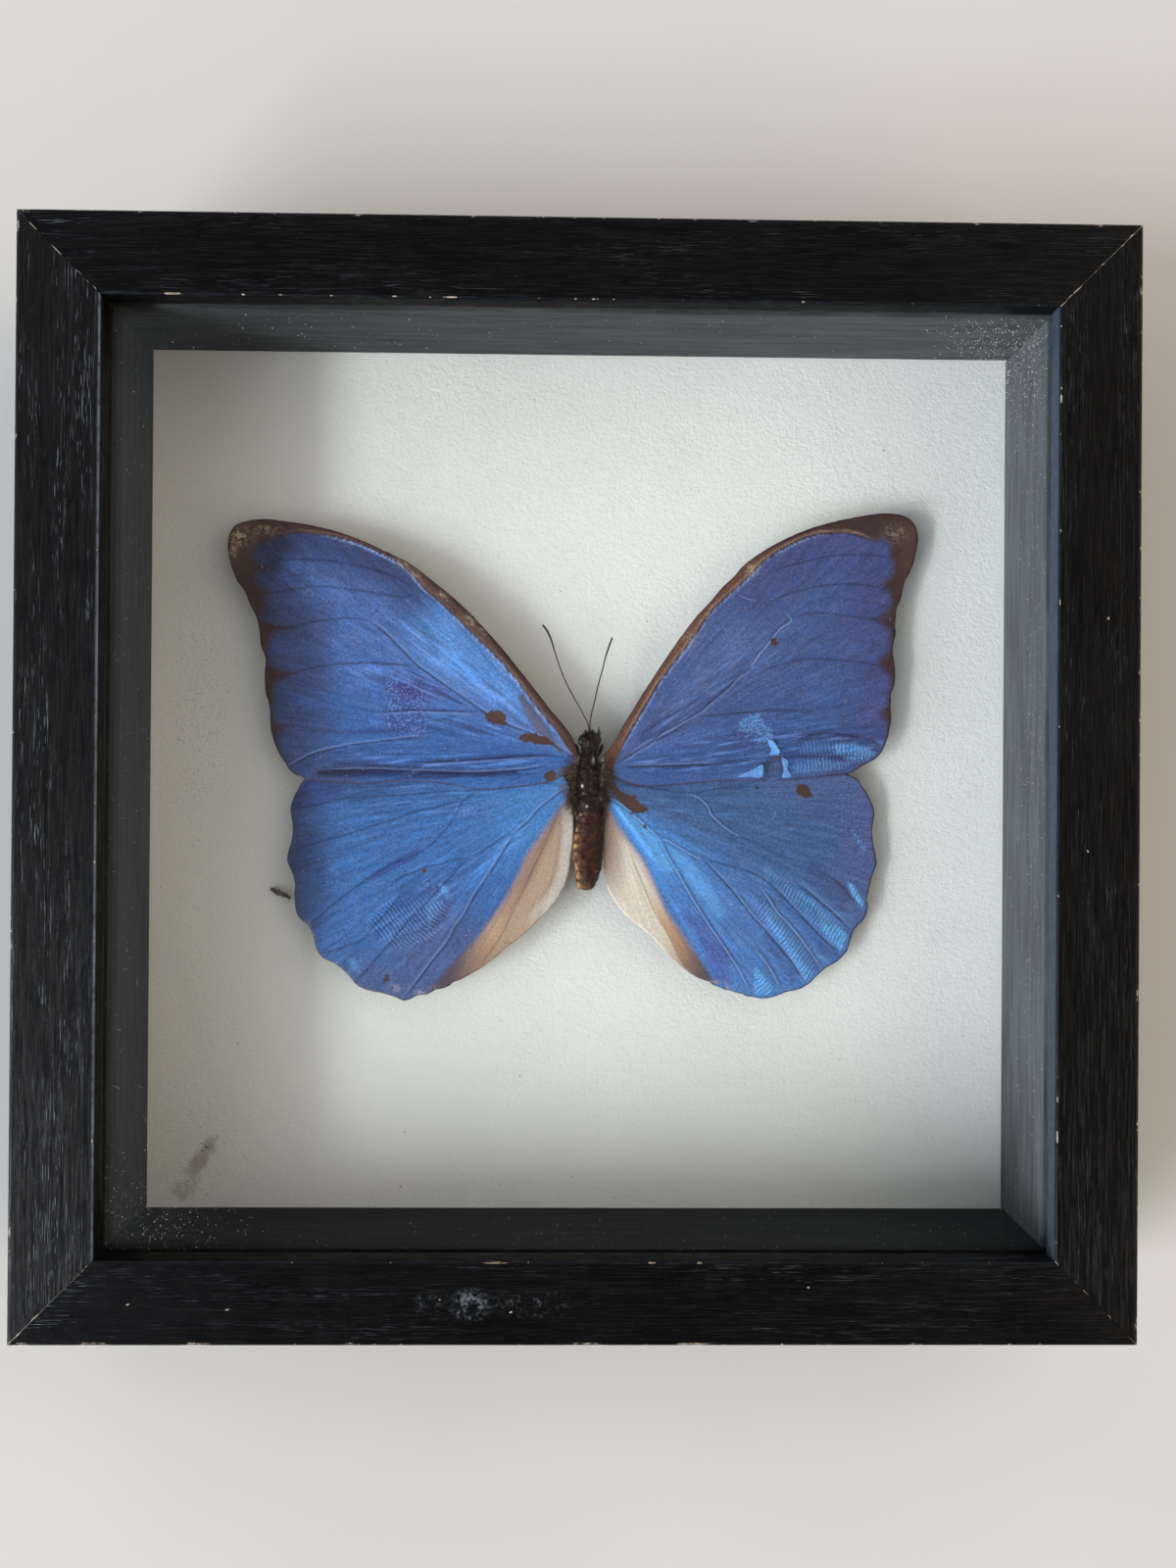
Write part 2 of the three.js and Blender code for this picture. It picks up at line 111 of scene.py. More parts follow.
def seg_dist(P, poly):
    """Distance from points (n,2) to a polyline, the arc length of the nearest point, and the signed side (left is +)."""
    poly = np.asarray(poly, float)
    a = poly[:-1]; d = poly[1:] - a
    L = np.sqrt((d ** 2).sum(1)) + 1e-12
    s0 = np.concatenate([[0], np.cumsum(L)[:-1]])
    best = np.full(len(P), 1e9); arc = np.zeros(len(P)); side = np.zeros(len(P))
    for i in range(len(a)):
        q = P - a[i]
        t = np.clip((q @ d[i]) / L[i] ** 2, 0, 1)
        e = q - t[:, None] * d[i]
        r = (e ** 2).sum(1)
        k = r < best
        best[k] = r[k]; arc[k] = s0[i] + t[k] * L[i]
        side[k] = np.sign(d[i, 0] * q[k, 1] - d[i, 1] * q[k, 0])
    return np.sqrt(best), arc, side

def inside(P, poly):
    x, y = P[:, 0], P[:, 1]; c = np.zeros(len(P), bool)
    n = len(poly); j = n - 1
    for i in range(n):
        xi, yi = poly[i]; xj, yj = poly[j]
        if yi != yj:
            c ^= ((yi > y) != (yj > y)) & (x < (xj - xi) * (y - yi) / (yj - yi) + xi)
        j = i
    return c

def sdf(P, poly):
    """Signed distance to a closed outline, positive inside."""
    q = np.vstack([poly, poly[:1]])
    d = seg_dist(P, q)[0]
    return np.where(inside(P, poly), d, -d)

# ------------------------------------------------------------------ meshes
class Build:
    """Collects vertices, faces and per-vertex values, then writes one mesh."""
    def __init__(self):
        self.v, self.f, self.fm, self.a, self.n = [], [], [], {}, 0
    def add(self, v, faces, mat=0, **attrs):
        v = np.asarray(v, float)
        self.v.append(v)
        for F in (faces if isinstance(faces, (list, tuple)) else [faces]):
            F = np.asarray(F)
            if len(F): self.f.append(F + self.n); self.fm.append(np.full(len(F), mat))
        for k in set(self.a) | set(attrs):
            if k not in self.a:
                w = np.asarray(attrs[k], float); dim = () if w.ndim <= (1 if w.shape[:1] == (len(v),) else 0) else (w.shape[-1],)
                self.a[k] = [np.zeros((self.n,) + dim)] if self.n else []
            val = attrs.get(k)
            if val is None:
                ref = self.a[k][0]; val = np.zeros((len(v),) + ref.shape[1:])
            else:
                val = np.asarray(val, float)
                if val.ndim == 0: val = np.full(len(v), float(val))
                elif val.shape[0] != len(v) or val.ndim == 1 and len(v) != val.shape[0]: val = np.tile(val, (len(v), 1))
            self.a[k].append(val)
        self.n += len(v)
        return self
    def object(self, name, mats, smooth=True, slot=None, replaces=()):
        co = np.vstack(self.v) * 0.001
        me = bpy.data.meshes.new(name)
        me.vertices.add(len(co)); me.vertices.foreach_set("co", co.astype(np.float32).ravel())
        loops = np.concatenate([F.ravel() for F in self.f]).astype(np.int32)
        total = np.concatenate([np.full(len(F), F.shape[1]) for F in self.f]).astype(np.int32)
        start = np.concatenate([[0], np.cumsum(total)[:-1]]).astype(np.int32)
        me.loops.add(len(loops)); me.loops.foreach_set("vertex_index", loops)
        me.polygons.add(len(total)); me.polygons.foreach_set("loop_start", start); me.polygons.foreach_set("loop_total", total)
        me.polygons.foreach_set("material_index", np.concatenate(self.fm).astype(np.int32))
        me.polygons.foreach_set("use_smooth", np.full(len(total), bool(smooth)))
        for k, parts in self.a.items():
            val = np.concatenate(parts).astype(np.float32)
            if val.ndim == 1:
                me.attributes.new(k, "FLOAT", "POINT").data.foreach_set("value", val)
            elif val.shape[1] == 3:
                me.attributes.new(k, "FLOAT_VECTOR", "POINT").data.foreach_set("vector", val.ravel())
            else:
                me.attributes.new(k, "FLOAT_COLOR", "POINT").data.foreach_set("color", val.ravel())
        me.update(calc_edges=True); me.validate()
        for m in (mats if isinstance(mats, (list, tuple)) else [mats]): me.materials.append(m)
        ob = bpy.data.objects.new(name, me)
        bpy.context.scene.collection.objects.link(ob)
        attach(ob, "root")
        if replaces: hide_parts(*replaces)
        return ob

def grid_faces(nu, nv, wrap_u=False, wrap_v=False, flip=False):
    """Quads of an nu by nv grid, index u * nv + v."""
    U = nu if wrap_u else nu - 1; V = nv if wrap_v else nv - 1
    i, j = np.meshgrid(np.arange(U), np.arange(V), indexing="ij"); i = i.ravel(); j = j.ravel()
    i2 = (i + 1) % nu; j2 = (j + 1) % nv
    F = np.stack([i * nv + j, i2 * nv + j, i2 * nv + j2, i * nv + j2], 1)
    return F[:, ::-1] if flip else F

def frames_along(P):
    """Two unit normals at each point of a path, carried along without twist."""
    T = np.gradient(P, axis=0); T /= np.linalg.norm(T, axis=1)[:, None] + 1e-12
    n = np.cross(T[0], [0, 0, 1.0])
    if np.linalg.norm(n) < 1e-3: n = np.cross(T[0], [1.0, 0, 0])
    n /= np.linalg.norm(n); N = [n]
    for k in range(1, len(P)):
        n = N[-1] - T[k] * (N[-1] @ T[k]); N.append(n / (np.linalg.norm(n) + 1e-12))
    N = np.array(N); return N, np.cross(T, N)

def tube(P, R, sides=8, squash=None):
    """Closed tube along P with radius R at each point."""
    P = np.asarray(P, float); R = np.broadcast_to(np.asarray(R, float), (len(P),))
    N, B = frames_along(P)
    a = np.linspace(0, 2 * np.pi, sides, endpoint=False)
    V = P[:, None] + R[:, None, None] * (np.cos(a)[None, :, None] * N[:, None] + np.sin(a)[None, :, None] * B[:, None])
    m = len(P); V = V.reshape(-1, 3)
    F = grid_faces(m, sides, wrap_v=True)
    V = np.vstack([V, P[0] - (P[1] - P[0]) * 0.02, P[-1] + (P[-1] - P[-2]) * 0.02])
    j = np.arange(sides); j2 = (j + 1) % sides; c0 = m * sides; c1 = c0 + 1
    caps = np.vstack([np.stack([np.full(sides, c0), j, j2], 1), np.stack([np.full(sides, c1), (m - 1) * sides + j2, (m - 1) * sides + j], 1)])
    return V, [F, caps]

def strands(roots, dirs, length, radius, sag, seed, k=3, curl=0.25):
    """Tapered three-sided hairs as one mesh. Returns vertices, faces, the 0-1 position along each hair and the hair's random number."""
    rng = np.random.default_rng(seed); n = len(roots)
    D = dirs / (np.linalg.norm(dirs, axis=1)[:, None] + 1e-12)
    side = np.cross(D, rng.normal(size=(n, 3))); side /= np.linalg.norm(side, axis=1)[:, None] + 1e-12
    bend = side * curl + np.asarray(sag)[None, :]
    pts = []
    for j in range(k + 1):
        t = j / k
        pts.append(roots + D * (length * t)[:, None] + bend * (length * t * t)[:, None])
    T = D + bend
    N = np.cross(T, side); N /= np.linalg.norm(N, axis=1)[:, None] + 1e-12
    B = np.cross(D, N); B /= np.linalg.norm(B, axis=1)[:, None] + 1e-12
    V = np.zeros((n, 3 * k + 1, 3)); tt = np.zeros((n, 3 * k + 1))
    for j in range(k):
        r = radius * (1 - 0.75 * j / k)
        for q in range(3):
            a = 2 * np.pi * q / 3
            V[:, 3 * j + q] = pts[j] + r[:, None] * (np.cos(a) * N + np.sin(a) * B)
            tt[:, 3 * j + q] = j / k
    V[:, -1] = pts[k]; tt[:, -1] = 1
    f = [[0, 2, 1]]
    for j in range(k - 1):
        for q in range(3):
            a, b = 3 * j + q, 3 * j + (q + 1) % 3
            f += [[a, b, b + 3], [a, b + 3, a + 3]]
    for q in range(3): f.append([3 * (k - 1) + q, 3 * (k - 1) + (q + 1) % 3, 3 * k])
    f = np.array(f)
    F = (f[None] + (np.arange(n) * (3 * k + 1))[:, None, None]).reshape(-1, 3)
    rnd = np.repeat(rng.random(n), 3 * k + 1)
    return V.reshape(-1, 3), F, tt.ravel(), rnd

def flecks(pos, size, seed, flat=0.45, normal=(0, 0, 1)):
    """Small irregular closed chips lying at pos: squashed octahedra of uneven shape."""
    rng = np.random.default_rng(seed); n = len(pos)
    a = rng.random(n) * 2 * np.pi; st = 0.55 + 0.9 * rng.random(n)
    V = np.zeros((n, 6, 3))
    for q in range(4):
        ang = a + q * np.pi / 2 + rng.normal(0, 0.25, n)
        r = size * (0.7 + 0.6 * rng.random(n)) * np.where(q % 2, st, 1 / st)
        V[:, q, 0] = np.cos(ang) * r; V[:, q, 1] = np.sin(ang) * r; V[:, q, 2] = size * flat * 0.4 * rng.random(n)
    V[:, 4, 2] = size * flat * (0.6 + 0.6 * rng.random(n)); V[:, 5, 2] = -size * flat * 0.15
    V += pos[:, None]
    f = np.array([[0, 1, 4], [1, 2, 4], [2, 3, 4], [3, 0, 4], [1, 0, 5], [2, 1, 5], [3, 2, 5], [0, 3, 5]])
    F = (f[None] + (np.arange(n) * 6)[:, None, None]).reshape(-1, 3)
    return V.reshape(-1, 3), F, np.repeat(rng.random(n), 6)

# ------------------------------------------------------------------ materials
class Mat:
    def __init__(self, name):
        self.m = bpy.data.materials.new(name); self.m.use_nodes = True
        self.t = self.m.node_tree; self.p = self.t.nodes["Principled BSDF"]; self.out = self.t.nodes["Material Output"]
    def n(self, kind, **props):
        o = self.t.nodes.new(kind)
        for k, v in props.items(): setattr(o, k, v)
        return o
    def put(self, socket, value):
        if isinstance(value, bpy.types.NodeSocket): self.t.links.new(value, socket)
        elif value is not None:
            if hasattr(socket.default_value, "__len__") and not hasattr(value, "__len__"): value = [value] * len(socket.default_value)
            if hasattr(value, "__len__") and len(value) == 3 and len(socket.default_value) == 4: value = list(value) + [1.0]
            socket.default_value = value
    def set(self, **kw):
        for k, v in kw.items(): self.put(self.p.inputs[k.replace("_", " ")], v)
        return self
    def attr(self, name, what="Fac"):
        return self.n("ShaderNodeAttribute", attribute_name=name).outputs[what]
    def mm(self):
        tc = self.n("ShaderNodeTexCoord"); s = self.n("ShaderNodeVectorMath", operation="SCALE")
        self.put(s.inputs[0], tc.outputs["Object"]); s.inputs["Scale"].default_value = 1000.0
        return s.outputs[0]
    def stretch(self, vec, sx, sy, sz, shift=(0, 0, 0)):
        o = self.n("ShaderNodeMapping"); self.put(o.inputs["Vector"], vec)
        o.inputs["Scale"].default_value = (sx, sy, sz); o.inputs["Location"].default_value = shift
        return o.outputs[0]
    def noise(self, vec, scale=1.0, detail=3.0, rough=0.5, distortion=0.0):
        o = self.n("ShaderNodeTexNoise"); self.put(o.inputs["Vector"], vec)
        o.inputs["Scale"].default_value = scale; o.inputs["Detail"].default_value = detail
        o.inputs["Roughness"].default_value = rough; o.inputs["Distortion"].default_value = distortion
        return o.outputs[0]
    def cells(self, vec, scale=1.0, feature="F1", rand=1.0):
        o = self.n("ShaderNodeTexVoronoi", feature=feature); self.put(o.inputs["Vector"], vec)
        o.inputs["Scale"].default_value = scale; o.inputs["Randomness"].default_value = rand
        return o.outputs["Distance"]
    def map(self, x, a, b, c=0.0, d=1.0, smooth=True):
        o = self.n("ShaderNodeMapRange", interpolation_type="SMOOTHSTEP" if smooth else "LINEAR")
        self.put(o.inputs[0], x)
        for i, v in zip((1, 2, 3, 4), (a, b, c, d)): self.put(o.inputs[i], v)
        return o.outputs[0]
    def math(self, op, a, b=None, clamp=False):
        o = self.n("ShaderNodeMath", operation=op, use_clamp=clamp); self.put(o.inputs[0], a)
        if b is not None: self.put(o.inputs[1], b)
        return o.outputs[0]
    def mix(self, fac, a, b, mode="MIX"):
        o = self.n("ShaderNodeMix", data_type="RGBA", blend_type=mode)
        self.put(o.inputs[0], fac); self.put(o.inputs[6], a); self.put(o.inputs[7], b)
        return o.outputs[2]
    def bump(self, height, strength=0.5, distance=0.0001, normal=None):
        o = self.n("ShaderNodeBump"); self.put(o.inputs["Height"], height)
        o.inputs["Strength"].default_value = strength; o.inputs["Distance"].default_value = distance
        if normal is not None: self.put(o.inputs["Normal"], normal)
        return o.outputs[0]

# ------------------------------------------------------------------ wing drawing: outlines, veins, folds and patches in mm
WINGS = {
 'FL': {
  "outline": [(-1.01,7.56),(-3.24,10.98),(-5.05,13.49),(-5.64,14.20),(-6.67,15.09),(-8.60,17.45),(-10.83,20.40),(-11.45,21.76),(-15.44,26.80),(-16.81,28.40),(-18.94,30.51),(-21.97,33.15),(-28.17,38.25),(-32.49,41.56),(-33.46,42.16),(-35.66,43.26),(-43.08,46.68),(-46.70,48.00),(-48.47,48.51),(-52.78,49.54),(-58.42,50.36),(-61.59,50.75),(-64.06,50.55),(-65.72,50.22),(-67.40,49.58),(-67.80,49.24),(-68.35,48.45),(-68.74,47.57),(-69.08,45.59),(-68.96,44.67),(-67.31,39.18),(-66.78,38.20),(-66.08,37.34),(-65.50,36.42),(-64.40,33.82),(-63.26,31.58),(-62.88,30.45),(-62.50,28.08),(-62.38,26.47),(-61.30,22.98),(-61.44,21.41),(-61.39,17.61),(-60.46,13.66),(-60.17,9.55),(-59.73,7.86),(-58.40,4.63),(-57.23,3.03),(-56.36,1.58),(-55.27,0.76),(-54.32,0.48),(-53.68,0.17),(-50.89,-0.48),(-46.64,-0.78),(-43.99,-0.87),(-36.62,-0.53),(-29.18,-0.47),(-27.63,-0.60),(-24.93,-1.04),(-19.36,-1.83),(-18.44,-1.87),(-16.98,-1.82),(-13.33,-1.46),(-7.16,-0.62),(-6.35,-0.45),(-4.94,0.06),(-3.54,0.78),(-2.23,1.67),(-0.97,2.81),(-0.51,4.14),(-0.42,5.85)],
  "veins": [('d',[(-63.1,41.1),(-59.4,42.5),(-55,42.8),(-49.8,42.6),(-44.6,41.7),(-39,40.4),(-35,38.8),(-32.5,37.1)]),
   ('f',[(-60.3,39),(-55.7,39.7),(-51.3,39.6)]),
   ('d',[(-61.7,36.2),(-58.2,36.6),(-54.2,37.3),(-49.7,37.5),(-45.3,37),(-40.9,36.4),(-37.3,35.8),(-34,35.5),(-31.9,36.4)]),
   ('f',[(-60.9,32.5),(-56.4,33.3),(-52,33.9),(-49.1,34.2),(-46.3,34.2)]),
   ('d',[(-62.4,30.2),(-57.8,29.4),(-55.5,29.7),(-52.6,30.5),(-48.9,31.1),(-44.9,31.4),(-40.9,30.9)]),
   ('f',[(-46.8,33.5),(-43,33.9),(-39.9,33.6)]),
   ('d',[(-40.9,30.8),(-40.5,31.8),(-39.7,32.6),(-39,33.7)]),
   ('m',[(-40.9,30.7),(-38.4,28.9),(-35.7,26.3),(-33.5,24.1),(-31.6,22.2),(-29.1,20.4),(-26.6,18.6),(-23.9,16.8),(-21.4,15.1),(-18.7,13.3),(-16.4,12),(-13.4,10.5),(-9,8.9),(-5.4,7),(-2.5,5.4),(-1.2,4.7)]),
   ('f',[(-61.2,23.6),(-56.6,24.4),(-52.9,25)]),
   ('d',[(-61,22.1),(-59.2,19.7),(-56.2,20.6),(-53.3,21.4),(-49.6,22.1),(-46,22.5),(-42.5,22.7),(-38.5,22.4),(-34.9,22.3),(-32,22)]),
   ('f',[(-59.9,10.3),(-56.1,10.4),(-51.5,9.7),(-46.6,9),(-42.2,9),(-38.4,9.3),(-35.5,9.6)]),
   ('d',[(-39.2,12.9),(-35.6,13.2),(-31.7,13.5),(-27.9,13.5),(-22.7,13.3),(-19.7,13.2)]),
   ('m',[(-56.8,2.1),(-54.3,3.6),(-51.6,4.9),(-48.7,5.7),(-44.3,6.6),(-39.9,7.2),(-34.8,7.8),(-30.4,8.3)]),
   ('d',[(-33.8,3.4),(-27.8,3.4),(-22.1,3.8),(-17,4.2),(-11.8,4.6),(-6.7,4.8),(-2.9,4.6)]),
   ('f',[(-34.1,42.5),(-30.4,39.6),(-26.2,35.8),(-21.7,31.4),(-17.5,26.9),(-13.7,22.5),(-9.8,17.6),(-6.7,13.2),(-4.4,10),(-1.9,6.2)])],
  "folds": [(1.1,-0.55,[(-50.8,0.8),(-44.3,1.7),(-38.3,2.1),(-31.6,1.8),(-27.1,1.6),(-21.3,1.4),(-15.4,1.3),(-10.3,1.2),(-6.7,1.3)]),
   (0.8,0.3,[(-47,3.7),(-40.3,4.7),(-32.6,5.3),(-25,5.3),(-17.4,5.6),(-8.8,6.2)]),
   (0.7,0.22,[(-37.6,27.8),(-32.7,20.1),(-28.9,16.3)]),
   (0.8,0.3,[(-36.7,33.5),(-30.9,26.8),(-24.7,20.2),(-18.4,15.4),(-11.7,10.7)]),
   (0.7,-0.25,[(-34.8,35.4),(-28,27.8),(-21.3,20.2),(-14.6,14.5),(-8.8,10.4)]),
   (0.7,0.25,[(-31.3,37.3),(-24.2,29.7),(-17.5,22.1),(-11.7,16.1),(-6,9.8)]),
   (0.5,-0.16,[(-50,20.1),(-44.2,18.8),(-37.5,16.3),(-30.8,12.9)]),
   (0.5,0.16,[(-47.1,21.2),(-40.4,19.3),(-33.7,16.7),(-26.9,12.5),(-19.3,9.7)]),
   (0.5,-0.16,[(-43.3,21.6),(-36.6,19.7),(-28.9,16),(-22.2,11.6)]),
   (0.6,-0.22,[(-49.9,8.2),(-40.3,10.2),(-30.8,10.2),(-21.2,9.1),(-11.7,7.7)])],
  "blue": [(-1,4.1),(-1.7,5.4),(-2.8,6.8),(-4.6,9.7),(-6.8,12.2),(-9.7,15.9),(-11.9,18.8),(-14.9,22.4),(-17.8,25.3),(-21.5,28.9),(-25.2,32.4),(-28.1,35.1),(-30.3,36.9),(-32.5,39.5),(-35,42),(-37.5,43.2),(-40.6,44.7),(-44.1,46.1),(-47.3,47),(-49.8,47.5),(-53.1,47.8),(-55.7,48),(-59.4,47.2),(-63.8,45.3),(-63.9,43.5),(-63.1,42),(-61.7,41.4),(-63.1,40.5),(-63.4,39.1),(-63,37.8),(-60.5,36.3),(-62,35.3),(-61.5,34),(-61.8,32.5),(-62.4,31.3),(-61.2,30.3),(-55.5,29.5),(-60,28.6),(-60.5,27),(-61.2,24.1),(-61,22.7),(-58.9,21.6),(-55.4,20.5),(-58.8,19.3),(-59.7,17.5),(-59.5,14.9),(-60,12.4),(-59.2,10.7),(-56.1,10.4),(-58.4,9.1),(-59.1,7.2),(-58.1,4.5),(-56.8,2.8),(-55.6,0.5),(-54.4,-2.1),(-32.6,-3.1),(-1.1,-2.9)],
  "rub": [[(-18.5,12.9),(-17,13.5),(-14.8,13.3),(-14.3,12.6),(-14.4,11.7),(-13.5,10.6),(-15.1,10.8),(-16.4,10.8),(-17.8,11.5)],[(-11.9,8.2),(-11.1,9),(-9.8,9.1),(-8.6,9.1),(-6.4,8.6),(-5.2,7.5),(-4,6.5),(-5.7,7),(-7.5,6.9),(-9.3,7.3),(-10.8,7.5)],[(-6.8,1.1),(-6.3,1.8),(-5.3,2),(-4.4,1.6),(-4.6,0.3),(-5.5,-0.2),(-6.5,0.1)]],
  "worn": [[(-12.3,16.8),(-11,16.6),(-8.8,14.2),(-6.9,11.1),(-4.8,8.1),(-3.1,5.8),(-4,5.4),(-5.9,7.5),(-8.2,9.2),(-9.6,11.3),(-11.1,14)],[(-4.2,1.3),(-2.5,2.6),(-1,2),(-0.2,-0.2),(-2.1,-0.6),(-3.8,-0.1)]],
  "azure": [],
  "ribs": [],
 },
 'FR': {
  "outline": [(4.72,4.94),(5.63,6.00),(6.12,6.74),(9.15,12.12),(15.88,23.64),(19.17,28.52),(21.59,31.46),(25.81,35.75),(27.44,37.74),(30.25,40.49),(31.35,41.38),(32.44,42.82),(32.88,43.25),(33.89,43.99),(35.21,44.47),(36.45,45.60),(39.08,47.16),(40.38,47.83),(44.29,49.55),(49.65,51.27),(55.42,52.63),(58.18,53.12),(61.97,53.22),(63.53,52.99),(64.12,52.80),(64.75,52.50),(65.45,51.94),(66.03,51.20),(66.40,50.42),(66.63,49.54),(66.79,48.30),(66.57,46.82),(65.50,42.64),(65.01,41.49),(64.39,40.44),(63.84,39.02),(63.40,36.62),(62.66,34.82),(62.43,33.93),(62.38,32.40),(62.20,31.18),(62.38,29.65),(61.92,27.77),(61.78,26.51),(62.26,22.54),(62.28,20.60),(62.02,19.04),(61.55,17.90),(61.40,17.18),(61.45,16.20),(61.37,15.24),(61.54,13.10),(61.34,10.99),(60.33,7.57),(59.08,5.39),(58.57,4.96),(54.60,2.64),(53.90,2.11),(52.61,1.76),(49.41,1.39),(42.83,0.65),(40.09,0.40),(36.71,0.26),(27.70,0.09),(23.68,-0.21),(16.81,-0.85),(13.89,-1.00),(12.62,-0.95),(11.43,-0.82),(10.54,-0.64),(9.60,-0.36),(8.72,-0.03),(7.89,0.38),(6.26,1.53),(5.11,2.67),(4.53,3.80)],
  "veins": [('d',[(61.6,44.4),(59.5,44.8),(56.4,44.9),(52.6,44.9),(48.6,44.4),(44.1,43.3),(39.8,42.1),(37.1,40.9)]),
   ('d',[(60.1,38.4),(58,38.8),(54.2,39.1),(50.5,39),(46.1,38.4),(42.4,37.4),(38.9,36.1),(36,34.4)]),
   ('f',[(60.9,35.1),(57.2,35.6),(54.3,35.9),(50.9,36.2),(47.2,36.1)]),
   ('d',[(60.6,31.3),(58.8,32.1),(55.8,32.5),(51.9,32.9),(47.6,33.3),(43.8,33),(41.4,32.3)]),
   ('f',[(60.6,27),(56.5,27.7),(52,28.3)]),
   ('d',[(60.2,22.8),(58.1,23.3),(54.3,23.8),(50.6,24.1),(47.7,24.2),(43.8,24.2),(40.5,23.4),(37.6,22.5),(35.3,21.9)]),
   ('b',[(40.1,33.3),(40.7,32.5),(41.2,31.9),(39.1,30),(37.6,28.1),(36.4,26.5),(34.9,24.8),(33.2,22.2)]),
   ('m',[(33.2,22.2),(30.7,20.5),(28.8,18.4),(25.7,15.8),(23.2,13.6),(21.7,12.7),(19.2,11.2),(16.2,9.7),(14,7.7),(11.6,6.2),(9.3,4.7),(7.2,3.3)]),
   ('d',[(23.2,12.4),(26.5,12.9),(30.1,13.3),(33.4,13.6),(38.1,14.2),(43.9,14.2)]),
   ('f',[(44.7,10),(49.2,10.4),(54.4,10.9),(58.5,11.1)]),
   ('d',[(43.2,8.7),(47.8,9.7),(52.1,9.4),(56,8.7),(58.2,7.9),(60.1,7.3)]),
   ('d',[(39.5,4.9),(44.7,5.1),(50,5.1),(54.5,5.4)]),
   ('d',[(15.4,2.4),(20.6,3),(25.8,3.4),(31,4),(35,4.2)]),
   ('f',[(7.8,3.1),(10.4,6.3),(13.8,11.3),(17.6,16.9),(21.4,22.1),(25.6,27.3),(29.8,32.1),(32.9,35.1)])],
  "folds": [(0.9,0.3,[(9.3,5.2),(14,9),(18.8,12.1),(23,15.6),(28,19.5)]),
   (0.7,-0.25,[(10.2,6.3),(14.6,10.6),(19.4,14.4),(23.8,17.9),(28.7,21.8)]),
   (0.7,0.22,[(11.2,8.6),(15.4,13.2),(20.1,17.5),(24.9,21.7)]),
   (0.8,-0.35,[(35.2,6.9),(41,8.9),(46.8,9.7),(53.6,9.8),(59.5,9.5)]),
   (0.9,0.45,[(40.1,6.6),(46.8,7.4),(53.7,7.7),(59.5,7.5)]),
   (0.7,-0.3,[(40.1,5.6),(47.8,5.9),(55.6,6.2)]),
   (0.6,0.2,[(26.5,9.1),(36.2,10.2),(43.9,12.2),(51.7,14.2)]),
   (0.9,-0.25,[(11.2,2),(20.8,1.5),(32.3,1.5)])],
  "blue": [(5.9,-2.8),(6.3,1.3),(6.9,3.4),(7.6,5.1),(9.8,9.5),(12.4,13.9),(14.9,18.3),(17.5,22),(20.1,25.3),(22.9,29.3),(25.9,32.7),(29.4,35.6),(31.7,37.7),(33.1,40.4),(35.5,43.6),(38.2,45.3),(41,46.8),(44.1,48),(46.8,48.7),(49.5,48.9),(51.9,49.1),(54.2,48.7),(57.2,47.8),(59.8,47.9),(61.3,46.9),(60.9,45.2),(61.6,43.6),(61.8,42.1),(61.1,40.9),(59.3,39),(60.7,37.7),(61.3,36.2),(61.1,34.9),(60.3,33.6),(57.8,32.2),(60,31.2),(61,29.9),(61.4,27.7),(60.8,25.9),(58.6,23.7),(60,22.5),(61.1,21.1),(61.3,18.9),(60.9,15.9),(59.3,13.5),(60.7,11.9),(61.2,9.7),(61.1,7.2),(60.3,4.7),(58,1.7),(52.9,-2.5)],
  "rub": [[(37.2,27.9),(37.9,28.3),(38.6,28),(38.8,27.3),(38.3,26.7),(37.5,26.8),(37.1,27.3)],[(38.1,5.1),(39.3,5.2),(39.5,4.4),(38.5,4.1),(37.7,4.5)]],
  "worn": [],
  "azure": [(0.9,[(29.4,10.3),(30.3,12.1),(31.7,13.2),(33.8,12.9),(36,11.5),(37.3,9.8),(37.5,7.9),(35.2,7.1),(33.1,8.8),(30.8,9.6)])],
  "ribs": [],
 },
 'HL': {
  "outline": [(-54.03,-0.31),(-56.19,-4.63),(-56.41,-5.36),(-56.44,-6.27),(-56.17,-7.91),(-56.08,-11.11),(-56.30,-12.36),(-56.79,-14.04),(-57.02,-15.49),(-56.92,-16.31),(-56.07,-18.29),(-55.63,-19.75),(-55.49,-20.98),(-55.55,-22.30),(-55.45,-24.42),(-55.03,-26.44),(-54.48,-27.23),(-53.03,-28.49),(-52.26,-29.58),(-51.72,-30.92),(-51.23,-32.93),(-50.66,-34.04),(-50.08,-34.73),(-47.55,-35.99),(-46.24,-36.89),(-44.59,-38.45),(-43.30,-39.99),(-42.85,-40.31),(-41.93,-40.75),(-35.82,-42.35),(-34.71,-42.99),(-34.13,-43.07),(-33.28,-42.98),(-32.14,-42.70),(-28.69,-41.64),(-27.25,-41.11),(-22.48,-38.66),(-19.61,-37.01),(-16.44,-34.79),(-13.90,-32.56),(-10.72,-30.04),(-7.90,-27.35),(-4.99,-24.12),(-3.72,-22.36),(-2.86,-20.76),(-2.15,-18.75),(-1.69,-16.64),(-1.19,-12.56),(-1.02,-9.70),(-1.08,-7.23),(-1.47,-3.75),(-1.51,-1.75),(-2.48,0.53),(-3.90,1.81),(-4.47,2.22),(-5.26,2.68),(-6.35,3.19),(-7.86,3.79),(-10.50,4.59),(-13.57,5.22),(-17.04,5.72),(-22.27,6.21),(-26.70,6.47),(-31.00,6.54),(-34.69,6.44),(-38.81,6.10),(-42.74,5.56),(-45.68,4.97),(-48.19,4.23),(-49.50,3.62),(-51.61,2.30)],
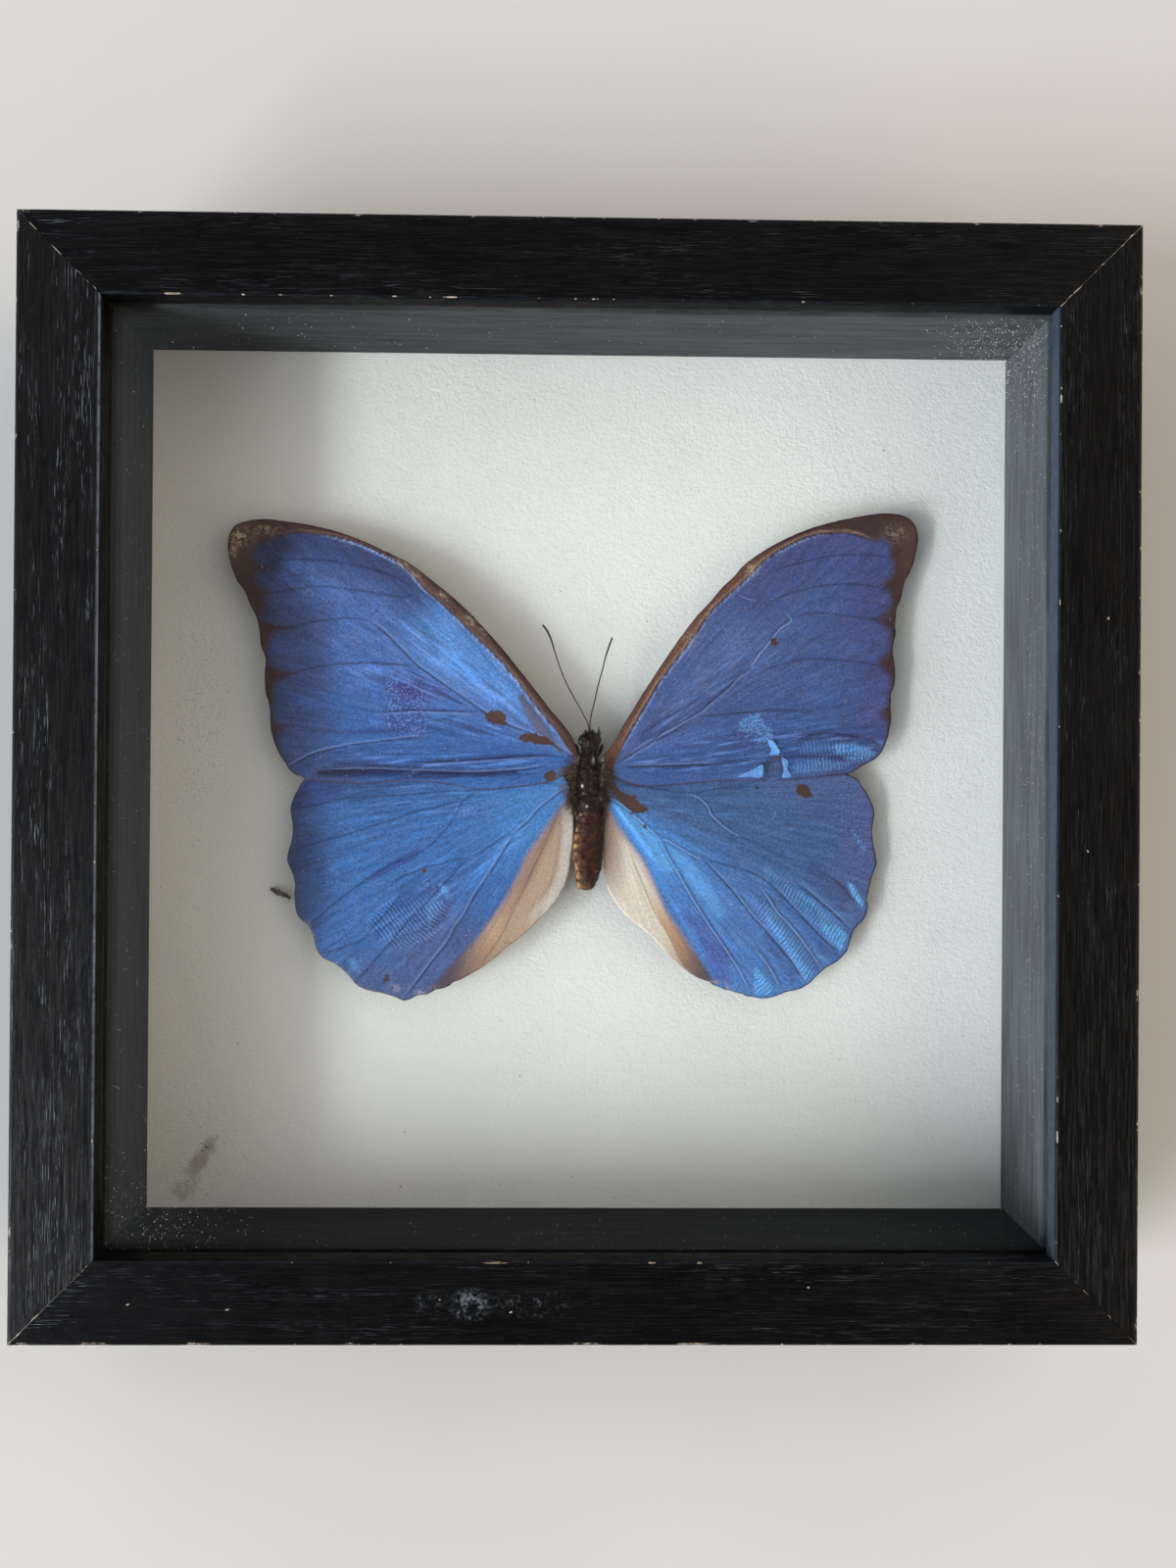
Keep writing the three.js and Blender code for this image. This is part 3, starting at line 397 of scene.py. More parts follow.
  "veins": [('d',[(-56.4,-6),(-51.9,-5.2),(-46.2,-3.8),(-38.5,-3.2),(-30.8,-2.7),(-23.9,-2.1),(-19.3,-2)]),
   ('d',[(-19.3,-2),(-15.3,-1.5),(-12.4,-1.2),(-9.5,-0.8),(-6.7,-0.4),(-3.6,-1)]),
   ('d',[(-19.3,-2),(-21.3,-3.1),(-22.7,-4.3),(-23.3,-5.7),(-23.8,-6.9)]),
   ('d',[(-56.1,-14),(-50,-12.1),(-43.2,-10.1),(-37.3,-8.1),(-35,-7.4),(-32.7,-6.5),(-30.4,-5.8),(-28.1,-5.5),(-25.6,-4.7),(-23.1,-4.1)]),
   ('f',[(-55.7,-17.1),(-49.9,-16),(-45.9,-14.5),(-39.9,-11.3),(-35.5,-10.7)]),
   ('f',[(-48.5,-20),(-45.7,-18.5),(-42.4,-17.1)]),
   ('d',[(-53.7,-29),(-51,-27.2),(-48.4,-24.9),(-45.8,-22.8),(-43.5,-21.1),(-41.2,-19.4),(-38.9,-17.9),(-36.1,-16.4),(-32.6,-15),(-29.5,-13.2),(-26.5,-10.3),(-23.8,-6.9)]),
   ('d',[(-50.7,-34),(-49.2,-33.8),(-46.9,-33.2),(-44,-32),(-42.1,-31.2),(-40,-28.8),(-37.7,-26.2),(-35,-22.9),(-34,-20)]),
   ('d',[(-36.6,-20.8),(-34.1,-18.7),(-31.8,-17.9),(-29.4,-16.8),(-26.9,-16.4),(-24.6,-15.6),(-21.5,-15.2)]),
   ('d',[(-43.6,-39.8),(-40.5,-36.5),(-38.2,-33.6),(-35.9,-31.1),(-34.6,-29.4),(-32.5,-26.7),(-30.6,-25),(-28.9,-23.3),(-26.9,-20.9),(-24.9,-18.9),(-23.5,-17.2),(-21.5,-15.2),(-19.2,-13.9),(-16.9,-12.6),(-14.6,-11.1),(-12.6,-10.4)]),
   ('m',[(-33.9,-42.7),(-30.5,-38.3),(-27.5,-34.3),(-24.8,-30.7),(-24,-28.9),(-22.5,-26.9),(-21.4,-24.9),(-20,-22.3),(-18.3,-19.7),(-16.6,-17.1),(-14.9,-14.3),(-13.5,-12),(-12.6,-10.4)]),
   ('m',[(-12.6,-10.4),(-11.2,-9.2),(-9.5,-7.6),(-7.8,-5.6),(-6.1,-4.2),(-3.8,-2.4),(-2.1,-1.2)]),
   ('t',[(-3.8,-4.4),(-4.9,-8.2),(-6.3,-11.6),(-8.3,-15.9),(-10,-19.6),(-11.1,-22.2),(-12.5,-25.1),(-14.5,-29.3),(-17.1,-33.4),(-18.8,-35.7)])],
  "folds": [(1,-0.4,[(-29.5,-13.2),(-36.4,-16.6),(-41.8,-19.7),(-47.9,-24.5)]),
   (0.9,0.25,[(-30.7,-19),(-36.4,-23.8),(-41.7,-29.6),(-45.9,-34.5)]),
   (1,0.25,[(-23,-20.8),(-27.7,-26.6),(-32.5,-33.4),(-37.2,-40.1)]),
   (0.9,-0.25,[(-52.2,-18.2),(-47,-15.3),(-40.3,-12.8),(-30.7,-10)]),
   (1.2,0.3,[(-55.8,-10.6),(-48.1,-8.6),(-38.4,-6.2)]),
   (0.8,-0.3,[(-3,-4.8),(-6.6,-9.4),(-10,-14.2),(-13.4,-20.9),(-17.2,-27.5),(-21.4,-32.9)]),
   (1.2,0.35,[(-2.2,-7.9),(-2.6,-14),(-3.9,-18.7),(-6.1,-23.2)])],
  "blue": [(-0.2,-0.6),(-2.4,-3.6),(-3.8,-5.3),(-5.5,-7.6),(-7.2,-10.2),(-8.9,-12.5),(-10.6,-15.1),(-11.7,-17.9),(-12.9,-20.2),(-14,-22.5),(-15.7,-25.1),(-17.4,-27.4),(-19.1,-29.8),(-20.8,-31.8),(-22.8,-34.1),(-24.8,-36.1),(-26.5,-38.1),(-27.9,-39.9),(-29.3,-41.3),(-30.8,-44.8),(-61.2,-50.9),(-63.7,10.5),(-0.3,10.8)],
  "rub": [[(-38,-38.8),(-37.4,-38),(-36.9,-38.3),(-36.9,-39.1),(-37.6,-39.7)],[(-30.6,-17.6),(-30.1,-17.2),(-29.5,-17.4),(-29.7,-18.1),(-30.3,-18.3)]],
  "worn": [],
  "azure": [],
  "ribs": [],
 },
 'HR': {
  "outline": [(53.12,1.64),(54.31,1.22),(54.87,0.87),(55.28,0.46),(55.86,-0.46),(56.68,-1.45),(57.38,-2.73),(58.46,-5.56),(58.36,-7.35),(58.10,-9.11),(58.09,-10.00),(58.36,-12.12),(58.84,-14.24),(59.01,-15.94),(58.91,-16.47),(58.20,-18.24),(57.66,-20.29),(57.38,-21.82),(57.32,-24.58),(56.77,-26.57),(56.41,-27.10),(55.05,-28.50),(53.93,-30.76),(53.41,-32.53),(53.13,-33.14),(51.90,-34.62),(48.40,-36.86),(46.74,-38.35),(45.70,-39.46),(45.02,-39.92),(43.22,-40.74),(41.18,-41.09),(38.48,-42.08),(37.01,-42.35),(35.60,-42.35),(34.41,-42.04),(33.19,-41.96),(32.09,-41.45),(30.79,-41.13),(29.75,-40.73),(28.75,-40.65),(28.15,-40.50),(25.89,-39.60),(22.41,-37.70),(20.69,-36.53),(19.29,-35.38),(12.77,-28.90),(10.08,-26.86),(8.02,-24.61),(6.93,-23.13),(6.00,-21.57),(5.42,-20.15),(5.06,-18.66),(4.92,-17.20),(4.89,-15.07),(5.03,-6.37),(4.80,-3.24),(4.98,-1.14),(5.56,-0.26),(6.02,0.30),(6.70,0.93),(7.62,1.65),(8.44,2.20),(9.32,2.70),(10.58,3.28),(11.95,3.81),(14.40,4.54),(17.01,5.08),(21.45,5.77),(25.77,6.28),(30.15,6.62),(34.55,6.77),(39.27,6.74),(42.60,6.53),(44.21,6.29),(45.56,6.01),(48.19,5.24),(49.48,4.67),(51.38,3.44)],
  "veins": [('b',[(5.1,-3.1),(6.5,-3.5),(8.1,-4.4),(11,-6.9),(13.3,-8.9),(15.6,-10.9)]),
   ('b',[(15.6,-10.9),(17.9,-11.8),(20.2,-13.2),(22.5,-14.5),(24.3,-15.2)]),
   ('m',[(24.3,-15.2),(26.2,-17.2),(28.4,-19.5),(30.7,-22.1),(32.5,-24.4),(34.2,-26.4),(35.7,-28),(37.8,-30.4),(39.9,-32.8),(42.1,-35.5),(43.8,-38.1),(44.8,-39.6)]),
   ('b',[(15.6,-10.9),(17,-13.8),(18.8,-16.9),(20.5,-19.8),(22.3,-22.9),(24,-25.5),(25.8,-28.4),(27.9,-31.3),(30.4,-35),(32.2,-38),(33.6,-41.1)]),
   ('d',[(24.3,-15.2),(27.2,-15.8),(29.3,-16.3),(32.4,-17.2),(35.3,-18.4),(38.3,-20.7),(40.7,-23.1),(43.2,-25.4),(45.5,-27.8),(47.9,-30.2),(50,-32.2),(52.2,-33.7)]),
   ('b',[(35.6,-20.5),(37.3,-22.8),(38.9,-25.2),(41,-27.5),(43.2,-29.8),(45,-32.2),(46.7,-34.6),(48.1,-36.5)]),
   ('d',[(42.5,-19.6),(44.9,-21.6),(47.3,-23.4),(49.7,-25.4),(51.8,-27.2),(54.1,-29.3)]),
   ('d',[(46.6,-17.2),(49.7,-18.6),(52.1,-20.7),(54.1,-22.7),(56.7,-25.4)]),
   ('d',[(7.7,-0.4),(12.6,-1.1),(16.3,-1.6),(19.4,-2),(21.7,-2.4)]),
   ('d',[(21.7,-2.4),(25.2,-1.7),(28.3,-1.2),(33.3,-0.9)]),
   ('b',[(21.7,-2.4),(23.2,-3.1),(24.4,-4),(25.2,-5),(25.7,-6.3),(26.7,-7.3),(28.3,-8.7),(31.2,-10.5)]),
   ('f',[(31.2,-10.5),(37.4,-13.4),(43.3,-16.5),(46.6,-17.2)]),
   ('f',[(26.3,-4.2),(29.6,-5),(35.5,-5.3),(44.2,-6.5),(57.9,-7)]),
   ('b',[(34.9,-32.8),(36.3,-34.8),(37.8,-36.9),(39.4,-39.6)]),
   ('t',[(9.5,-12.4),(11.3,-17.2),(12.8,-20.7),(14.2,-24.1),(15.7,-27),(17.5,-29.8),(19.2,-33.3),(20.8,-36.1)])],
  "folds": [(0.9,0.5,[(35.5,-18.2),(40.4,-21.1),(45.3,-25.3),(50.2,-30.2)]),
   (0.8,-0.4,[(40.4,-20),(45.3,-23.4),(50.2,-27.6),(53.4,-31.1)]),
   (0.9,0.5,[(32.6,-20.5),(37.5,-26.3),(41.5,-32.1),(44.4,-36.9)]),
   (0.8,-0.35,[(38.5,-24.4),(42.8,-29.2),(46.7,-34)]),
   (0.8,0.4,[(53.7,-19.5),(55.7,-22.4),(56.9,-24.9)]),
   (1,-0.35,[(50.1,-17.6),(53.1,-20.5),(55.7,-24.4)]),
   (0.8,-0.35,[(6,-4.4),(9.4,-9.7),(12.9,-14.5),(16,-20.6),(19.5,-26.9),(23.4,-32.3)]),
   (0.7,0.4,[(6.5,-3.8),(10.4,-8.6),(13.7,-13.1),(17.2,-18.7)]),
   (0.7,0.3,[(15.6,-9.1),(21,-11.6),(26.4,-13.8),(30.7,-15.7)]),
   (0.6,-0.25,[(17.1,-7.8),(21.9,-10.4),(27.8,-13.1)]),
   (0.6,0.25,[(19,-7),(23.9,-9.6),(29.1,-12.3)]),
   (0.8,0.35,[(34.7,-35.9),(36.6,-38.4),(37.4,-41.1)]),
   (1,0.3,[(5.4,-10.1),(6.1,-17.7),(7.6,-22.5),(11.5,-26.9)])],
  "blue": [(3.6,-0.6),(5,-3.5),(6.1,-5.8),(7.8,-8.7),(9.5,-11.2),(11.3,-13.5),(12.7,-15.5),(13.9,-17.8),(14.8,-19.8),(15.9,-22.4),(17.1,-25),(18.6,-27.3),(20.3,-29.6),(21.8,-31.6),(22.9,-33.3),(24.4,-35.6),(25.6,-37.3),(26.5,-39),(27.2,-40.5),(27.8,-46.5),(66,-46.6),(65.7,11.5),(3.6,10.9)],
  "rub": [[(42.8,-0.6),(43.6,-0.3),(44.8,-0.5),(45.4,-1.4),(46.1,-2.1),(45.7,-2.8),(44.2,-3),(42.8,-2.3)],[(5.4,-0.6),(6.5,-2.2),(7.6,-3.7),(8.8,-4.7),(10.2,-5.9),(11.3,-6.2),(13.5,-6),(13.5,-5.1),(11.6,-4),(11,-2.9),(9.4,-2.6),(7.9,-1.8),(7.1,-0.5)],[(12.3,-8.5),(12.9,-8.4),(13.1,-9),(12.6,-9.2)],[(9.8,-6.1),(10.4,-6),(10.6,-6.5),(10,-6.6)]],
  "worn": [],
  "azure": [(1,[(5.4,-3.4),(8.3,-4.6),(11.3,-7.2),(15.4,-10.8),(19.1,-17.7),(16.4,-17.7),(13.3,-13.5),(10.4,-9.7),(7.5,-6.3)]),(0.55,[(16.2,-11.4),(21,-14.2),(25.3,-18.6),(28.8,-25.4),(27.3,-27.3),(22.6,-21.9),(18.7,-15.8)]),(0.9,[(53.7,-19.1),(55.1,-20.1),(56.9,-24.4),(57.3,-26.3),(56.1,-26.9),(54.5,-23)]),(0.8,[(34.7,-36.5),(36.2,-36.9),(37.8,-39.6),(38.2,-41.7),(35.5,-42.3),(34.3,-39.8)]),(0.45,[(54,-9.9),(55.2,-9.9),(58,-13.3),(57.2,-14.5)]),(0.6,[(42.8,-35.9),(44.4,-36.9),(45.6,-39.4),(43.8,-40)])],
  "ribs": [[(34.9,-17.3),(40.4,-19.2),(45.5,-22.4),(53.7,-29.2),(53.4,-31.1),(51.8,-33.8),(47.9,-30.2),(42.8,-25.3),(38.5,-20.7)],[(34.6,-19.6),(38.5,-24.4),(43,-29.6),(47.9,-36.3),(45.2,-39.4),(42.1,-35.7),(37.8,-30.3),(34.2,-26.3)]],
 },
}
# ------------------------------------------------------------------ wings
DIM = 0.80                                  # display value of an upward surface with albedo 1 where the key light reaches it

# LEVEL: per-wing brightness and tint, as painted light and shade: the left wings are set darker to offset the stronger
# sheen they catch from the light on the left.
LEVEL = {"FL": np.array([0.78, 0.82, 0.88]), "FR": np.array([0.88, 0.93, 1.02]), "HL": np.array([0.78, 0.88, 0.92]), "HR": np.array([0.90, 0.99, 1.06])}

# A few scale colours for each wing. Where each one shows follows from the wing's own shape: how far out from
# the root, at which angle, and how far inside the border of the blue.
# The right wings' colours are painted duller and more violet than the left ones: painted shading of the blue by how the
# light falls on each side.
PALETTE = {"FL": dict(hind=(66, 107, 170), upper=(90, 121, 182), cell=(100, 150, 214), rim=(64, 74, 114)),
           "FR": dict(hind=(66, 94, 145), upper=(75, 92, 138), cell=(88, 107, 152), rim=(76, 84, 128)),
           "HL": dict(field=(69, 112, 174), root=(82, 132, 194), rim=(57, 73, 112), tail=(84, 96, 142)),
           "HR": dict(field=(71, 98, 140), lower=(84, 124, 182), root=(78, 136, 200), rim=(94, 98, 142))}

def wing_tone(key, P, rad, ang, blue, seed):
    c = {k: lin(*v) for k, v in PALETTE[key].items()}
    lay = lambda base, w, q: base * (1 - w[:, None]) + w[:, None] * q
    deg = np.degrees(ang) + 3.0 * fbm(P[:, 0] * 0.08, P[:, 1] * 0.08, seed + 81, 2)
    inn = blue + 1.6 * fbm(P[:, 0] * 0.14, P[:, 1] * 0.14, seed + 82, 3)
    if key[0] == "F":
        t = np.tile(c["hind"], (len(P), 1))
        t = lay(t, step(6, 32, deg), c["upper"])
        t = lay(t, 0.9 * np.exp(-((deg - 42) / 9.0) ** 2) * step(8, 18, rad) * step(50, 34, rad), c["cell"])
        t = lay(t, 0.92 * step(12, 1.5, inn) * step(34, 48, rad), c["rim"])
    elif key == "HL":
        t = np.tile(c["field"], (len(P), 1))
        t = lay(t, step(30, 8, rad), c["root"])
        t = lay(t, step(19, 6, inn) * step(-46, -26, deg) * step(26, 38, rad), c["rim"])
        t = lay(t, 0.9 * step(17, 6, inn) * step(-28, -44, deg) * step(26, 38, rad), c["tail"])
    else:
        t = np.tile(c["field"], (len(P), 1))
        t = lay(t, step(-14, -42, deg), c["lower"])
        t = lay(t, step(30, 10, rad) * step(-20, -44, deg), c["root"])
        t = lay(t, 0.9 * step(20, 5, inn) * step(-50, -24, deg) * step(26, 40, rad), c["rim"])
    return t * (1 + 0.07 * fbm(P[:, 0] * 0.10, P[:, 1] * 0.10, seed + 83, 3))[:, None]

def reline(key, first, last, new):
    o = WINGS[key]["outline"]; i, j = o.index(first), o.index(last)
    WINGS[key]["outline"] = o[:i] + new + o[j + 1:]
reline("FL", (-5.05, 13.49), (-28.17, 38.25), [(-5.3, 13.3), (-7.35, 15.95), (-9.45, 18.6), (-11.6, 21.3), (-13.75, 23.95), (-16.0, 26.6), (-18.3, 29.15), (-20.75, 31.7), (-23.5, 34.35), (-26.0, 36.5), (-28.5, 38.45)])
reline("FR", (9.15, 12.12), (21.59, 31.46), [(9.25, 12.15), (10.0, 13.35), (11.55, 16.0), (13.2, 18.65), (14.9, 21.3), (16.65, 23.95), (18.5, 26.65), (20.4, 29.3), (22.4, 31.95)])
reline("FR", (31.35, 41.38), (36.45, 45.60), [(31.2, 41.7), (32.6, 42.95), (34.3, 44.25), (36.3, 45.55)])
WINGS["FL"]["worn"] += [[(-4.6, .2), (-4.2, 2.4), (-2.4, 3.4), (-1.0, 3.2), (-.9, 1.2), (-2.4, .6)]]
WINGS["HL"]["worn"] += [[(-1.4, -1.2), (-3.6, -.6), (-4.4, -1.8), (-2.6, -3.0), (-1.2, -3.2)]]
WINGS["FR"]["blue"][10:18] = [(25.9, 33.6), (29.4, 36.8), (31.7, 38.9), (33.4, 40.6), (35.5, 42.8), (38.2, 44.8), (41.0, 46.4), (44.1, 47.9)]

# wrinkles that don't follow the veins: strength, direction in degrees, width, polygon
STRIPES = {
 "FL": [(1.0, -24, 1.0, [(-48.5, 22.6), (-40, 21.9), (-32, 21.4), (-26, 18.2), (-20.5, 14.3), (-25, 13.6), (-32, 16.0), (-40, 18.6), (-47, 20.2)]), (0.9, -17, 1.2, [(-38, 12.9), (-28, 12.8), (-18, 12.6), (-12, 9.6), (-10, 7.6), (-18, 7.2), (-30, 8.6), (-38, 10.6)]),
        (0.8, -39, 1.6, [(-40.5, 31.5), (-35, 32.5), (-25, 27.5), (-14.5, 17.2), (-8, 9.8), (-11.5, 10.6), (-17.2, 14.2), (-26, 20.5), (-36, 28)]), (0.65, 3, 1.3, [(-58, 8), (-40, 8.4), (-24, 6.4), (-8, 6), (-6, 1), (-20, .4), (-40, .2), (-54, 1.5)])],
 "FR": [(0.8, 9, 1.3, [(8, 1.6), (9, 5), (20, 8), (34, 12), (48, 12), (60, 9), (58, 5), (52, 2.6), (40, 1), (24, .6)]), (0.5, 36, 1.8, [(8, 8), (16, 17), (26, 25), (38, 29), (40, 25), (30, 17), (20, 10.5), (11, 6)])],
 "HL": [(0.5, 8, 1.4, [(-50, -2), (-30, .5), (-10, -1.5), (-6, -3), (-20, -8), (-40, -10)]), (0.45, 36, 1.5, [(-8, -6), (-26, -14), (-44, -27), (-36, -38), (-22, -26), (-10, -12)])],
 "HR": [(0.5, -4, 1.6, [(10, -3), (30, -1), (34, -6), (20, -9), (12, -6)]), (0.4, -52, 1.5, [(20, -18), (30, -22), (40, -34), (34, -41), (24, -32)])]}

COSTA = {"FL": [(-1.01, 7.56), (-5.64, 14.2), (-11.45, 21.76), (-16.81, 28.4), (-21.97, 33.15), (-28.17, 38.25), (-35.66, 43.26), (-46.7, 48.0), (-58.42, 50.36)],
         "FR": [(4.9, 7.0), (9.3, 14.0), (14.0, 21.5), (19.2, 28.6), (24.8, 34.9), (31.5, 41.0), (39.0, 46.0), (47.0, 49.8), (56.0, 52.4)]}
MOTTLE = {"FL": [(1.0, [(-38, 20), (-31.5, 19.5), (-29, 15.5), (-29.5, 9), (-33, 7.5), (-37.5, 10)])], "FR": [(0.6, [(29, 9), (32, 14), (37.5, 12.5), (38.5, 7), (33, 6)])],
          "HL": [(0.5, [(-33, -18), (-27, -20), (-25, -24), (-30, -23)]), (0.45, [(-26, -4), (-16, -4), (-18, -9), (-25, -8)])], "HR": [(0.45, [(49, -3), (57, -6), (56, -20), (52, -12)])]}
# tan worn flecks: strength, x, y, reach x, reach y
TAN = {"FL": [(1.0, -66.6, 47.3, 2.2, 1.6), (0.8, -61.5, 48.6, 2.6, 0.9), (0.9, -31.5, 40.7, 1.6, 1.2), (1.0, -34.6, 42.2, 1.4, .8), (0.75, -26.2, 36.2, 1.2, 1.0), (0.8, -21.0, 31.3, 1.4, 1.3), (0.7, -18.6, 28.8, 1.0, .9), (0.8, -67.9, 44.3, .7, 1.8)],
       "FR": [(1.0, 33.3, 41.4, 1.3, 1.1), (0.5, 62.0, 49.5, 2.2, 1.6), (0.35, 20, 28.3, 3, 3)], "HL": [(0.9, -35.5, -40.6, 1.0, .6), (0.9, -30.5, -41.4, 1.2, .5), (0.8, -27.6, -40.4, .9, .4), (0.5, -53, -28.4, .6, .6)],
       "HR": [(0.9, 26.5, -39.3, 1.2, .5), (0.8, 58.3, -21.5, .4, 2.2), (0.7, 29.2, -40.2, .8, .4)]}

# shaded or lit slopes: factor, colour factors, softness, polygon
SLOPES = {
 "FL": [(.34, (1.22, .78, 1.0), .6, [(-52, 1.3), (-46, 3.0), (-40, 3.3), (-33, 2.9), (-27, 2.4), (-20, 2.1), (-12, 2.2), (-12, 1.3), (-20, .8), (-28, .5), (-36, .5), (-44, .6), (-50, .7)]),
        (.72, (1.2, .86, 1.0), .5, [(-36, 18), (-30, 20), (-25, 17), (-29, 15.4), (-34, 16)]), (1.35, (1, 1, 1), .8, [(-20, 21), (-15, 15.5), (-16.5, 14.5), (-23, 19), (-29, 23.5), (-27, 24.5)]),
        (1.25, (1, 1, 1), .6, [(-10, 17.5), (-16, 24), (-15, 24.7), (-8.5, 17)]), (.70, (1.1, .9, 1), .5, [(-6, 5.4), (-14, 5.2), (-22, 4.4), (-30, 3.8), (-30, 3.2), (-20, 3.4), (-8, 4.2)]),
        (1.22, (1, 1, 1), .5, [(-50, 21), (-43, 22.4), (-36, 21.6), (-36, 20.6), (-43, 20.8)]), (1.25, (1, 1, 1), .4, [(-42.5, 12.2), (-36.5, 10.8), (-36.5, 10.2), (-40, 10.8)]), (.8, (1.1, .9, 1), .4, [(-50, 9.6), (-36, 10), (-36, 9.2), (-44, 9)]),
        (.66, (1.1, .95, .9), 1.5, [(-69, 50), (-58, 51), (-56, 45), (-61, 38), (-60, 28), (-66, 30)])],
 "FR": [(.66, (1.25, .85, 1.0), .6, [(37, 9.7), (45, 9.9), (54, 9.6), (60.5, 9.3), (60, 8.7), (52, 8.8), (44, 8.7), (38, 8.6)]), (.80, (1.1, .92, 1), .5, [(38, 5.6), (44, 5.9), (52, 5.2), (58, 6.9), (58, 6.2), (52, 4.6), (44, 5.0)]),
        (1.22, (1, 1, 1), .6, [(8, 6.5), (12, 8), (19, 9.5), (30, 11), (30, 9.8), (19, 7.2), (10, 5)]), (.74, (1.1, .95, 1), .45, [(9, 3.0), (16, 3.2), (28, 3.7), (28, 3.1), (16, 2.6), (9, 2.4)]),
        (1.20, (.95, 1, 1), .5, [(33, 22.5), (36.8, 26.8), (37.6, 26.4), (34, 22)]), (1.16, (1, 1, 1), .8, [(43, 34.5), (50, 35.5), (50, 33.5), (43, 33)]), (1.2, (1, 1, 1), .8, [(51, 28.5), (58, 25), (58.5, 23.6), (51, 26.6)]),
        (1.16, (1.05, .97, 1), 1.0, [(53, 18.5), (61, 17), (61, 14.5), (54, 15)]), (.8, (1.1, .92, 1), .5, [(12, 8.6), (24, 15.3), (32, 21), (32, 20), (24, 14.2), (12, 7.6)]), (1.25, (1, .98, 1), .35, [(23, 14.3), (31, 20.2), (31.2, 19.8), (23.2, 13.8)])],
 "HL": [(.66, (1.15, .82, 1.05), .6, [(-30.5, -14), (-34, -16.3), (-40, -19.7), (-40.6, -18.8), (-35, -15), (-31, -13.2)]), (.80, (1.1, .85, 1), .8, [(-57, 0), (-48, 0), (-46, -3), (-52, -6), (-57, -6)]), (1.25, (.95, 1, 1), .6, [(-33.8, -18.2), (-28, -15.2), (-22, -13.8), (-21, -14.8), (-27, -16.7)]),
        (1.18, (1, 1, 1), .8, [(-23, -20), (-12, -9), (-10, -10), (-17, -19), (-24.5, -27), (-26, -26)]), (.78, (1.1, .88, 1), .5, [(-18, -29), (-24, -35.5), (-29, -40), (-27, -40.3), (-22.5, -36), (-17, -30)]), (.84, (1.05, .95, 1), 1.2, [(-57, -8), (-50, -9), (-49, -24), (-52, -33), (-57, -24)]),
        (1.15, (1, 1, 1), .7, [(-44, -17), (-49, -19), (-49, -17.5), (-44, -15.5)])],
 "HR": [(.80, (1.0, .95, 1.0), .9, [(38, -19.8), (41, -22.8), (45, -27), (49, -31.5), (51, -33.8), (49, -34.3), (46, -31), (42, -26.8), (39.2, -23.6)]), (.80, (1.08, .94, 1), 1.0, [(46, -15), (52, -19), (53.5, -22.5), (52.5, -24.5), (48, -22.5), (44, -19)]),
        (.78, (1.1, .95, 1), .5, [(37, -28.4), (41.2, -33), (43, -37.6), (42, -39.5), (39, -35), (36, -30)]), (1.2, (1, 1, 1), .8, [(20, -13.5), (23, -16.5), (30, -26), (28, -27.5), (22, -19.5)]), (.82, (1.2, .85, 1), .9, [(20, -25), (24, -31), (27, -38.5), (30, -40), (30, -34), (25, -27)]),
        (.80, (1, 1, 1), .5, [(10, -3), (20, -2.6), (33, -1.4), (33, -2.0), (20, -3.4), (12, -3.8)]), (1.3, (.95, 1, 1), .5, [(49, -25.2), (55, -25.8), (55, -26.4), (51, -26.4)])]}
# azure patches: painted highlights where folds and crinkles catch the light
WINGS["HR"]["azure"] = [(1, [(5.4, -3.4), (8.3, -4.6), (11.3, -7.2), (15.4, -10.8), (19.1, -17.7), (16.4, -17.7), (13.3, -13.5), (10.4, -9.7), (7.5, -6.3)]), (.55, [(16.2, -11.4), (21, -14.2), (25.3, -18.6), (28.8, -25.4), (27.3, -27.3), (22.6, -21.9), (18.7, -15.8)]),
    (.55, [(39, -19.3), (43, -20.9), (46.5, -23.3), (50, -26.8), (48.5, -28.2), (44.5, -25), (41, -21.8)]), (1.0, [(46.2, -24.2), (50, -27), (53.4, -29.9), (52.6, -32.4), (51.8, -33.4), (48.2, -29.8)]), (.30, [(35.2, -16), (37, -16.2), (40.4, -19), (39, -20), (36.5, -18.4)]),
    (.50, [(36.4, -23.2), (39, -25.6), (42, -30.6), (45, -35.4), (46.6, -38.2), (44.4, -39.8), (42.5, -36), (39.5, -31.5), (36.5, -27)]), (.95, [(40.8, -31), (42.2, -31.6), (44.8, -36), (45.8, -38.6), (44.2, -39.7), (42.4, -35.4)]), (.9, [(34.5, -35.5), (36.4, -37.3), (38.5, -40.5), (37.6, -42), (34.5, -41.6), (34.2, -38)]),
    (1.1, [(52.9, -19.1), (54.4, -20.1), (56.6, -23.6), (56.4, -25.3), (55.2, -24.3), (53.6, -21.6)]), (.8, [(54.1, -9.6), (55.3, -10.6), (57.2, -13.2), (56.6, -13.9), (55, -12)]), (.5, [(46.2, -33), (50, -34.6), (49.5, -35.4), (46.8, -35)])]
WINGS["HR"]["ribs"] = [[(34.6, -15.4), (40.4, -18.6), (45.5, -22), (53.7, -29.2), (53.4, -31.1), (51.8, -33.8), (47.9, -30.4), (42.8, -25.5), (38.5, -20.9)], [(34.6, -19.6), (38.5, -24.4), (43, -29.6), (48.5, -36.3), (45.2, -39.8), (42.1, -36), (37.8, -30.5), (34.2, -26.3)],
    [(52.6, -18.4), (54.6, -19.4), (57.2, -23.8), (56.8, -25.8), (54.6, -24.6), (52.8, -21.6)], [(53.6, -9), (55.6, -10), (57.8, -13.4), (56.6, -14.4), (54.4, -12.2)], [(33.8, -35), (36.6, -36.6), (39.2, -40.6), (37.8, -42.2), (34, -42)]]
